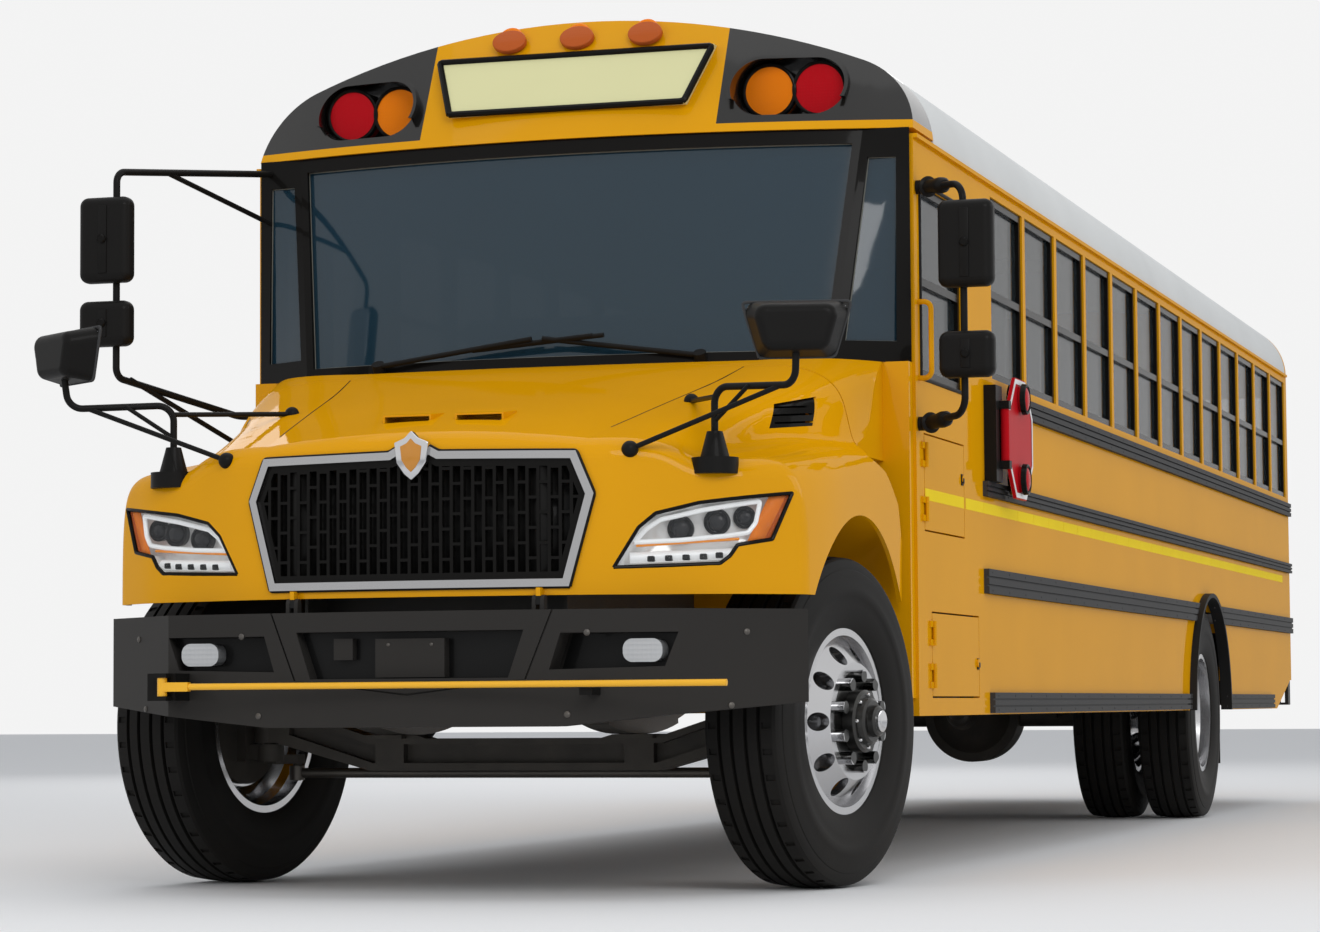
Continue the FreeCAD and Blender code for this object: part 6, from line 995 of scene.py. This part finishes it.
# Bumpers
BUMPER_BOLTS = ((0.560, 0.800), (0.500, 0.556), (1.000, 0.800), (0.960, 0.580))
PLATE_BOLTS = ((-0.070, 0.770), (0.070, 0.770))
# Radius and height of each head.
BUMPER_BOLT = (0.010, 0.006)
PLATE_SCREW = (0.006, 0.004)
# The bumper's openings as x and z, the station of each one's black sheet of painted shade and how thick the
# sheets are.
MOUTH = ((-0.318, 0.669), (0.318, 0.669), (0.366, 0.808), (-0.366, 0.808))
MOUTH_SHADE_STATION = -0.930
FOG_OPENING = ((0.447, 0.692), (0.788, 0.700), (0.827, 0.798), (0.482, 0.798))
FOG_SHADE_STATION = -0.853
MOUTH_SHADE_SHEET = 0.0015
FOG_SHADE_SHEET = 0.002


class BUS_OT_bumpers(bpy.types.Operator):
    """Adds the front bumper's bolts, the plate's screws and black sheets as painted shade in its openings"""
    bl_idname = "bus.bumpers"
    bl_label = "Bumper fittings"

    def execute(self, context):
        spots = [facing("front_bumper", side * x, z) for x, z in BUMPER_BOLTS for side in (-1, 1)]
        fitted("front_bumper_bolts", scattered(bolt_head(*BUMPER_BOLT), spots), "steel", "body")
        spots = [facing("front_bumper", x, z) for x, z in PLATE_BOLTS]
        fitted("front_plate_screws", scattered(bolt_head(*PLATE_SCREW), spots), "steel", "body")
        # The near-black sheets at the backs of the openings are painted shade in the recesses.
        fog = plate([at(x, FOG_SHADE_STATION, z) for x, z in FOG_OPENING], Vector((0, FOG_SHADE_SHEET, 0)))
        mouth = plate([at(x, MOUTH_SHADE_STATION, z) for x, z in MOUTH], Vector((0, MOUTH_SHADE_SHEET, 0)))
        fitted("bumper_opening_backs", [mouth] + both_sides(fog), "lamp_black", "body")
        return {"FINISHED"}


# Lamps
FRONT_LAMPS = (("red_lamps", 0.862, 2.690, 0.087), ("amber_lamps", 0.684, 2.690, 0.087))
REAR_LAMPS = (("red_lamps", 0.810, 2.600, 0.088), ("amber_lamps", 0.610, 2.600, 0.088),
              ("red_lamps", 0.980, 1.500, 0.088), ("amber_lamps", 0.760, 1.500, 0.088),
              ("red_lamps", 0.980, 1.290, 0.050))
RING_STEPS = 56


def lamp_ring(centre, way, radius):
    """A black rubber ring that stands proud round a lamp."""
    ring = [(-0.012, radius - 0.001), (0.004, radius - 0.002), (0.008, radius + 0.003),
            (0.006, radius + 0.009), (-0.012, radius + 0.011)]
    return turned(ring, centre, way, RING_STEPS)


class BUS_OT_lamps(bpy.types.Operator):
    """Sets rubber rings round the warning lamps and the tail lamps"""
    bl_idname = "bus.lamps"
    bl_label = "Lamp rings"

    def execute(self, context):
        for name, lamps, way in (("front_lamp_rings", FRONT_LAMPS, 1), ("rear_lamp_rings", REAR_LAMPS, -1)):
            rings = [lamp_ring(facing(node, x, z, way)[0], (0, -way, 0), radius)
                     for node, x, z, radius in lamps]
            fitted(name, both_sides(joined(rings)), "black_gloss", "body")
        return {"FINISHED"}


MARKERS = (-0.250, 0.0, 0.250)
MARKER_HIGH = 2.915
MARKER_LEAN = Vector((0, -1, 0.5)).normalized()
MARKER_HALF = (0.062, 0.0455)
MARKER_PROUD = 0.020
MARKER_DEPTH = 0.023
MARKER_ROUND = 0.010
GASKET_RADIUS = 0.0035
OVAL_STEPS = 32


class BUS_OT_markers(bpy.types.Operator):
    """Puts oval amber covers on the roof's three marker lamps"""
    bl_idname = "bus.markers"
    bl_label = "Marker lamps"

    def execute(self, context):
        across = Vector((1, 0, 0))
        up = across.cross(MARKER_LEAN).normalized()
        covers = []
        for x in MARKERS:
            middle = facing("amber_lamps", x, MARKER_HIGH)[0] - MARKER_LEAN * MARKER_PROUD
            outline = []
            for step in range(OVAL_STEPS):
                angle = 2 * math.pi * step / OVAL_STEPS
                outline.append(middle + across * math.cos(angle) * MARKER_HALF[0]
                               + up * math.sin(angle) * MARKER_HALF[1])
            covers.append(plate(outline, MARKER_LEAN * MARKER_DEPTH, MARKER_ROUND, 3))
        fitted("marker_covers", covers, "marker_amber", "body")
        return {"FINISHED"}


class BUS_OT_gaskets(bpy.types.Operator):
    """Runs a pale gasket line round the windshield and both quarter panes"""
    bl_idname = "bus.gaskets"
    bl_label = "Windshield gaskets"

    def execute(self, context):
        choose_faces(node_copy("windshield"), lambda middle, normal: normal.y > FRONTAL)
        bpy.ops.mesh.delete(type="FACE")
        bpy.ops.mesh.select_all(action="SELECT")
        bpy.ops.mesh.region_to_loop()
        bpy.ops.mesh.select_all(action="INVERT")
        bpy.ops.mesh.delete(type="EDGE_FACE")
        bpy.ops.mesh.select_mode(type="VERT")
        fitted("windshield_gaskets", [piped(GASKET_RADIUS, 8)], "gasket_grey", "body")
        return {"FINISHED"}


# Signs and stop arm
# Corners just inside the edges of the blank signs, as x and z.
FRONT_SIGN = ((-0.42785, 2.643), (0.42785, 2.643), (0.500485, 2.847), (-0.500485, 2.847))
REAR_SIGN = ((-0.44, 2.508), (0.44, 2.508), (0.44, 2.692), (-0.44, 2.692))
STOP_CENTRE = (1.262, 2.055, 1.564)
STOP_HALF = 0.225
STOP_FACE = 0.0066
STOP_BORDER = 0.018
BORDER_INSET = 0.004
BORDER_SHEET = 0.001
STOP_LAMP_FACE = 0.028
STOP_LAMP_RADIUS = 0.048
STOP_LAMP_SHIFT = 0.150
STOP_LENS = ((-0.002, 0.0), (-0.002, 0.045), (0.004, 0.043), (0.009, 0.028), (0.011, 0.0))


def octagon(x, size):
    """Corners of an upright octagon about the stop arm's middle, at x."""
    _, y, z = STOP_CENTRE
    flat = size * math.tan(math.radians(22.5))
    corners = ((-flat, -size), (flat, -size), (size, -flat), (size, flat), (flat, size), (-flat, size),
               (-size, flat), (-size, -flat))
    return [at(x, y + a, z + b) for a, b in corners]


class BUS_OT_signs(bpy.types.Operator):
    """Frames the blank signs and gives the stop arm its white borders and lamps"""
    bl_idname = "bus.signs"
    bl_label = "Signs"

    def execute(self, context):
        for name, sign, way, radius in (("front_sign_frame", FRONT_SIGN, 1, 0.012),
                                        ("rear_sign_frame", REAR_SIGN, -1, 0.009)):
            corners = [facing("signs", x, z, way)[0] for x, z in sign]
            rim = tube(corners + corners[:1], radius, 0.01, 2)
            fitted(name, [rim], "black_gloss", "body")
        borders = []
        for side in (-1, 1):
            x = STOP_CENTRE[0] + side * STOP_FACE
            border = plate(octagon(x, STOP_HALF - BORDER_INSET), Vector((side * BORDER_SHEET, 0, 0)))
            choose_faces(border, lambda middle, normal: abs(normal.x) > 0.9)
            bpy.ops.mesh.inset(thickness=STOP_BORDER, depth=0.0)
            drop_faces()
            borders.append(done(border))
        fitted("stop_arm_borders", borders, "stop_white", "stop_arm")
        rings = []
        lenses = []
        for shift in (-STOP_LAMP_SHIFT, STOP_LAMP_SHIFT):
            for side in (-1, 1):
                face = at(STOP_CENTRE[0] + side * STOP_LAMP_FACE, STOP_CENTRE[1], STOP_CENTRE[2] + shift)
                rings.append(lamp_ring(face, (side, 0, 0), STOP_LAMP_RADIUS))
                lenses.append(turned(STOP_LENS, face, (side, 0, 0), LENS_STEPS))
        fitted("stop_arm_rings", rings, "black_gloss", "stop_arm")
        fitted("stop_arm_lenses", lenses, "lamp_red", "stop_arm")
        return {"FINISHED"}


# Mirrors
# Each head's middle, width and height.
SIDE_MIRRORS = ((1.415, 0.480, 2.105, 0.188, 0.292), (1.415, 0.480, 1.735, 0.188, 0.155),
                (-1.415, -0.150, 2.165, 0.188, 0.292), (-1.415, -0.150, 1.880, 0.188, 0.155))
CASE_HALF = 0.038
CASE_EDGE = 0.034
PANE_SINK = 0.002
PANE_SHEET = 0.003
KNOB_PROFILE = ((-0.004, 0.0), (-0.004, 0.015), (0.010, 0.015), (0.014, 0.011), (0.014, 0.0))
LEFT_ARM = (((1.231, 0.680, 2.330), (1.400, 0.500, 2.310)), ((1.231, 0.680, 1.525), (1.400, 0.500, 1.540)))
CLAMP_PROFILE = ((0.0, 0.0), (0.0, 0.020), (0.014, 0.034), (0.022, 0.036), (0.028, 0.026), (0.060, 0.024),
                 (0.100, 0.028), (0.124, 0.026), (0.136, 0.018), (0.138, 0.0))
CROSS_MIRROR = (1.200, -0.900, 1.695)
CROSS_TURNS = ((1, 13), (-1, -37))


def mirror_pane(centre, width, height, corner=0.02, steps=4):
    """A flat pane with rounded corners, standing upright and facing backwards."""
    outline = []
    for across, up, start in ((-1, 1, 0), (1, 1, 90), (1, -1, 180), (-1, -1, 270)):
        middle = centre + Vector((across * (width / 2 - corner), 0, up * (height / 2 - corner)))
        for step in range(steps + 1):
            angle = math.radians(start + 90 * step / steps)
            outline.append(middle + Vector((-math.cos(angle) * corner, 0, math.sin(angle) * corner)))
    return plate(outline, Vector((0, PANE_SHEET, 0)))


def trapezium(bottom, top, half, y):
    """Corners of an upright shape from its half widths and its half height."""
    return [Vector((x, y, z)) for x, z in ((-bottom, -half), (bottom, -half), (top, half), (-top, half))]


class BUS_OT_mirrors(bpy.types.Operator):
    """Adds the mirrors' glass and rims, their clamps, and the knobs and ribs on their backs"""
    bl_idname = "bus.mirrors"
    bl_label = "Mirrors"

    def execute(self, context):
        panes = []
        knobs = []
        ribs = []
        for x, y, z, width, height in SIDE_MIRRORS:
            front = at(x, y + CASE_HALF - PANE_SINK, z)
            panes.append(mirror_pane(front, width - CASE_EDGE, height - CASE_EDGE))
            back = at(x, y - CASE_HALF, z)
            knobs.append(turned(KNOB_PROFILE, back, (0, -1, 0), 24))
            half = Vector((0.016, 0.004, height / 2 - 0.03))
            ribs.append(rounded_box(back - half, back + half, 0.003))
        fitted("side_mirror_glass", panes, "mirror_glass", "body")
        fitted("side_mirror_knobs", knobs, "black_gloss", "body")
        fitted("side_mirror_ribs", ribs, "black_plastic", "body")
        clamps = []
        for foot, bend in LEFT_ARM:
            start = at(*foot)
            clamps.append(turned(CLAMP_PROFILE, start, (at(*bend) - start).normalized(), 32))
        fitted("mirror_clamps", clamps, "black_plastic", "body")
        x, y, z = CROSS_MIRROR
        glasses = []
        rims = []
        for side, angle in CROSS_TURNS:
            turn = Matrix.Translation(at(side * x, y, z)) @ Matrix.Rotation(math.radians(angle), 4, "Z")
            glass = plate(trapezium(0.100, 0.148, 0.070, 0.046), Vector((0, 0.008, 0)), 0.003)
            glasses.append(moved(glass, turn))
            corners = trapezium(0.113, 0.163, 0.083, 0.050)
            rims.append(moved(tube(corners + corners[:1], 0.005, 0.012, 3), turn))
        fitted("cross_mirror_glass", glasses, "mirror_glass", "hood")
        fitted("cross_mirror_rims", rims, "rail_grey", "hood")
        return {"FINISHED"}


# Sides
TAPE_STEP = 0.305
TAPE_GAP = 0.004
TAPE_END = BODY_REAR - 0.06
# Each rub rail's lower edge, upper edge and the station where it starts.
RAILS = ((1.670, 1.745, 2.380), (1.335, 1.390, 1.690), (0.980, 1.070, 1.690), (0.545, 0.620, 1.770))
LOWEST_RAIL = RAILS[-1]
LOWEST_RAIL_END = 9.380
RAIL_END = BODY_REAR - 0.05
RAIL_FACE = 1.220
RIVET_PROFILE = ((-0.001, 0.0), (-0.001, 0.0045), (0.0012, 0.0035), (0.0018, 0.0))
RIVET_INSET = 0.012
# Each side hatch's latch: its name, station, height and body.
LATCHES = (("upper_hatch_latch", 1.338, 1.373, "side_hatch_upper"),
           ("lower_hatch_latch", 1.567, 0.722, "side_hatch_lower"))


def tape_strip(side, start, low, high):
    """Segments of tape along one side, a hair proud of the paint."""
    x = side * (BODY_HALF + 0.0002)
    stop = start + TAPE_STEP - TAPE_GAP
    corners = [at(x, start, low), at(x, stop, low), at(x, stop, high), at(x, start, high)]
    strip = plate(corners, Vector((side * 0.0006, 0, 0)))
    return rowed(strip, TAPE_STEP, int((TAPE_END - start) / TAPE_STEP))


class BUS_OT_sides(bpy.types.Operator):
    """Adds the reflective tape, the rails' rivets and the latches of the side hatches"""
    bl_idname = "bus.sides"
    bl_label = "Sides"

    def execute(self, context):
        sizes = context.scene.bus_sizes
        tape_low = sizes.tape_low
        tape_high = tape_low + sizes.tape_width
        tape = [tape_strip(1, 1.395, tape_low, tape_high), tape_strip(-1, 1.640, tape_low, tape_high)]
        fitted("side_tape", tape, "tape_yellow", "body")
        hatch_tape = rounded_box(at(BODY_HALF, 0.760, tape_low), at(BODY_HALF + 0.0008, 1.366, tape_high),
                                 0.0003, 1)
        fitted("hatch_tape", [hatch_tape], "tape_yellow", "side_hatch_upper")
        rivets = []
        for side in (-1, 1):
            for rail in RAILS:
                low, high, start = rail
                end = LOWEST_RAIL_END if rail == LOWEST_RAIL else RAIL_END
                for z in (low + RIVET_INSET, high - RIVET_INSET):
                    rivet = turned(RIVET_PROFILE, at(side * RAIL_FACE, start + 0.06, z), (side, 0, 0), 8)
                    count = int((end - start - 0.08) / sizes.rivet_step)
                    rivets.append(rowed(rivet, sizes.rivet_step, count))
        fitted("rail_rivets", rivets, "rail_grey", "body")
        for name, y, z, body in LATCHES:
            case = rounded_box(at(BODY_HALF - 0.001, y - 0.016, z - 0.020),
                               at(BODY_HALF + 0.004, y + 0.016, z + 0.020), 0.002)
            paddle = rounded_box(at(BODY_HALF + 0.003, y - 0.010, z - 0.013),
                                 at(BODY_HALF + 0.0085, y + 0.010, z + 0.006), 0.002)
            fitted(name, [case, paddle], "black_plastic", body)
        return {"FINISHED"}


# Windows
WINDOW_COUNT = 13
WINDOW_PITCH = 0.640
WINDOW_FIRST = 1.875
SASH_BAR = 2.100
SASH_FACES = (1.158, 1.176)
SASH_LATCHES = (0.09, 0.50)
DRIVER_WINDOW = ((0.714, 1.684), (1.376, 1.684), (1.376, 2.356), (0.714, 2.356))


class BUS_OT_windows(bpy.types.Operator):
    """Adds the latches on the sliding sashes and the driver window's seal"""
    bl_idname = "bus.windows"
    bl_label = "Window fittings"

    def execute(self, context):
        latches = []
        for side in (-1, 1):
            inner, outer = sorted(side * x for x in SASH_FACES)
            for shift in SASH_LATCHES:
                y = WINDOW_FIRST + shift
                latch = rounded_box(at(inner, y - 0.02, SASH_BAR + 0.004),
                                    at(outer, y + 0.02, SASH_BAR + 0.024), 0.003)
                latches.append(rowed(latch, WINDOW_PITCH, WINDOW_COUNT))
        fitted("window_latches", latches, "black_plastic", "body")
        corners = [at(BODY_HALF + 0.001, y, z) for y, z in DRIVER_WINDOW]
        seal = tube(corners + corners[:1], 0.007, 0.02, 3)
        fitted("driver_window_seal", [seal], "rubber", "body")
        return {"FINISHED"}


# Seats
FLOOR_TOP = 1.085
SEAT_FIRST = 2.050
SEAT_PITCH = 0.690
SEAT_ROWS = 12
SEAT_INNER = 0.208
SEAT_OUTER = 1.138
SEAT_EDGE = 0.008
BENCH_HINGE = 1.405
BENCH_LEAN = math.radians(5.5)
LEG_TOP = 1.330
DRIVER_HINGE = 1.490
DRIVER_LEAN = math.radians(4.5)
PAD_VOXEL = 0.022
PAD_ANGLE = math.radians(60)
PAD_PRESSURE = 4.0
CLOTH_FRAMES = 12


def inflated(pad, pressure, most):
    """Swells a closed pad with a short cloth run, and holds every point near where it began."""
    before = [point.co.copy() for point in pad.data.vertices]
    pick(pad)
    bpy.ops.object.modifier_add(type="CLOTH")
    cloth = pad.modifiers[-1]
    cloth.settings.use_pressure = True
    cloth.settings.uniform_pressure_force = pressure
    cloth.settings.effector_weights.gravity = 0
    cloth.settings.quality = 4
    for number in range(1, CLOTH_FRAMES + 1):
        bpy.context.scene.frame_set(number)
    bpy.ops.object.modifier_apply(modifier=cloth.name)
    bpy.context.scene.frame_set(1)
    for point, place in zip(pad.data.vertices, before):
        shift = point.co - place
        if shift.length > most:
            point.co = place + shift * (most / shift.length)


def pad_block(low, high, rise):
    """A pad with drawn-in sides and a crowned face, swollen by its filling."""
    piece = rounded_box(low, high, 0.022, 3)
    modified(piece, "REMESH", mode="VOXEL", voxel_size=PAD_VOXEL)
    edit(piece)
    bpy.ops.mesh.vertices_smooth(factor=0.5, repeat=2)
    done(piece, PAD_ANGLE)
    inflated(piece, PAD_PRESSURE, rise)
    return done(piece, PAD_ANGLE)


def leaned(back, angle, centre):
    """Tilts a seat's back about its foot."""
    edit(back)
    bpy.ops.transform.rotate(value=angle, orient_axis="X", center_override=centre)
    return done(back, PAD_ANGLE)


def bench_pads():
    """The cushion and the leaning back of the foremost bench on the left."""
    x0 = SEAT_INNER + SEAT_EDGE
    x1 = SEAT_OUTER - SEAT_EDGE
    y = SEAT_FIRST
    cushion = pad_block(at(x0, y + 0.012, 1.308), at(x1, y + 0.392, 1.505), 0.012)
    back = pad_block(at(x0, y + 0.386, BENCH_HINGE), at(x1, y + 0.460, 2.165), 0.010)
    leaned(back, BENCH_LEAN, at((SEAT_INNER + SEAT_OUTER) / 2, y + 0.420, BENCH_HINGE))
    return joined([cushion, back])


class BUS_OT_seats(bpy.types.Operator):
    """Makes the padded benches, their legs and the driver's seat"""
    bl_idname = "bus.seats"
    bl_label = "Seats"

    def execute(self, context):
        bench = bench_pads()
        x = SEAT_INNER + 0.06
        front = SEAT_FIRST + 0.04
        rear = SEAT_FIRST + 0.36
        corners = ((front, FLOOR_TOP), (front, LEG_TOP), (rear, LEG_TOP), (rear, FLOOR_TOP))
        leg = tube([at(x, y, z) for y, z in corners], 0.014, 0.04, 4)
        right_bench = mirrored(bench)
        legs = both_sides(leg)
        for name, pads in (("benches_left", bench), ("benches_right", right_bench)):
            rowed(pads, SEAT_PITCH, SEAT_ROWS)
            fitted(name, [pads], "seat_vinyl", "body")
        for piece in legs:
            rowed(piece, SEAT_PITCH, SEAT_ROWS)
        fitted("bench_legs", legs, "steel", "body")
        cushion = pad_block(at(0.385, 1.295, 1.455), at(0.875, 1.755, 1.560), 0.012)
        back = pad_block(at(0.395, 1.740, DRIVER_HINGE), at(0.865, 1.815, 2.220), 0.012)
        leaned(back, DRIVER_LEAN, at(0.63, 1.775, DRIVER_HINGE))
        driver = fitted("driver_seat", [cushion, back], "seat_vinyl", "body")
        base = rounded_box(at(0.50, 1.40, FLOOR_TOP), at(0.76, 1.66, 1.470), 0.02, 3)
        fitted("driver_seat_base", [base], "chassis_black", "body")
        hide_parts("seats")
        return {"FINISHED"}


# Stage
CAMERA_PLACE = at(3.9539, -11.1054, 0.5814)
CAMERA_YAW = 0.3020
CAMERA_PITCH = 0.0667
CAMERA_ROLL = -0.0066
CAMERA_LENS = 97.69
SENSOR_WIDTH = 36.0
FAR_CLIP = 300
FLOOR_SIZE = 120
# Each lamp: its name, place, target, size and power in watts.
LAMPS = (("key_light", (7.0, -15.0, 8.0), (0.3, -5.0, 1.4), (7, 5), 520),
         ("front_light", (-6.0, -16.0, 5.0), (0.0, -5.5, 1.4), (6, 5), 260),
         ("side_light", (14.0, 2.0, 7.0), (1.2, 0.0, 1.4), (12, 5), 330),
         ("rear_light", (-6.0, 13.0, 7.0), (0.0, 5.0, 1.5), (8, 5), 240),
         ("top_light", (0.0, -1.0, 11.0), (0.0, 0.0, 1.0), (10, 14), 330))


def add_area(name, place, target, size, power):
    """A soft rectangular lamp aimed at its target."""
    data = bpy.data.lights.new(name, "AREA")
    data.shape = "RECTANGLE"
    data.size, data.size_y = size
    data.energy = power
    light = bpy.data.objects.new(name, data)
    bpy.context.scene.collection.objects.link(light)
    light.location = place
    light.rotation_euler = (Vector(target) - Vector(place)).to_track_quat("-Z", "Y").to_euler()
    return light


def background(tree, colour, strength):
    """A plain even light from all around."""
    node = tree.nodes.new("ShaderNodeBackground")
    node.inputs["Color"].default_value = colour
    node.inputs["Strength"].default_value = strength
    return node.outputs[0]


class BUS_OT_stage(bpy.types.Operator):
    """Sets the floor, the backdrop, the lamps and the camera"""
    bl_idname = "bus.stage"
    bl_label = "Stage"

    def execute(self, context):
        scene = context.scene
        scene.view_settings.view_transform = "Standard"
        deselect()
        bpy.ops.mesh.primitive_plane_add(size=FLOOR_SIZE, location=(0, 0, 0))
        floor = context.object
        floor.name = "studio_floor"
        material = bpy.data.materials.new("studio_floor")
        material.use_nodes = True
        shader = material.node_tree.nodes["Principled BSDF"]
        shader.inputs["Base Color"].default_value = (0.82, 0.82, 0.82, 1)
        shader.inputs["Roughness"].default_value = 0.9
        floor.data.materials.append(material)
        world = bpy.data.worlds.new("studio")
        scene.world = world
        world.use_nodes = True
        tree = world.node_tree
        tree.nodes.clear()
        path = tree.nodes.new("ShaderNodeLightPath")
        shown = math_node(tree, "MAXIMUM", path.outputs["Is Camera Ray"], path.outputs["Is Transmission Ray"])
        shown = math_node(tree, "MAXIMUM", shown, path.outputs["Is Glossy Ray"])
        mix = tree.nodes.new("ShaderNodeMixShader")
        feed(tree, shown, mix.inputs[0])
        feed(tree, background(tree, (0.92, 0.95, 1.0, 1), 0.55), mix.inputs[1])
        feed(tree, background(tree, (0.9, 0.9, 0.9, 1), 1.0), mix.inputs[2])
        feed(tree, mix.outputs[0], tree.nodes.new("ShaderNodeOutputWorld").inputs[0])
        lights = {lamp[0]: add_area(*lamp) for lamp in LAMPS}
        lights["front_light"].visible_glossy = False
        data = bpy.data.cameras.new("photo_camera")
        camera = bpy.data.objects.new("photo_camera", data)
        scene.collection.objects.link(camera)
        data.sensor_width = SENSOR_WIDTH
        data.lens = CAMERA_LENS
        camera.location = CAMERA_PLACE
        turn = Matrix.Rotation(CAMERA_YAW, 4, "Z") @ Matrix.Rotation(math.pi / 2 + CAMERA_PITCH, 4, "X")
        turn = turn @ Matrix.Rotation(CAMERA_ROLL, 4, "Z")
        camera.rotation_euler = turn.to_euler()
        data.clip_end = FAR_CLIP
        scene.camera = camera
        return {"FINISHED"}


class BUS_PT_sidebar(bpy.types.Panel):
    """Lists the steps that build the bus"""
    bl_idname = "BUS_PT_sidebar"
    bl_label = "School bus"
    bl_space_type = "VIEW_3D"
    bl_region_type = "UI"
    bl_category = "Bus"

    def draw(self, context):
        for operator in OPERATORS:
            self.layout.operator(operator.bl_idname)


OPERATORS = [
    BUS_OT_finishes, BUS_OT_tyres, BUS_OT_hub_caps, BUS_OT_headlamps, BUS_OT_nose, BUS_OT_bumpers,
    BUS_OT_lamps, BUS_OT_markers, BUS_OT_gaskets, BUS_OT_signs, BUS_OT_mirrors, BUS_OT_sides,
    BUS_OT_windows, BUS_OT_seats, BUS_OT_stage]
CLASSES = [BusColours, BusSizes] + OPERATORS + [BUS_PT_sidebar]


def register():
    for item in CLASSES:
        bpy.utils.register_class(item)
    bpy.types.Scene.bus_colours = PointerProperty(type=BusColours)
    bpy.types.Scene.bus_sizes = PointerProperty(type=BusSizes)


def unregister():
    del bpy.types.Scene.bus_colours
    del bpy.types.Scene.bus_sizes
    for item in reversed(CLASSES):
        bpy.utils.unregister_class(item)


def main():
    register()
    for operator in OPERATORS:
        getattr(bpy.ops.bus, operator.bl_idname.split(".")[1])()
    deselect()
    bpy.context.view_layer.update()


if __name__ == "__main__":
    main()
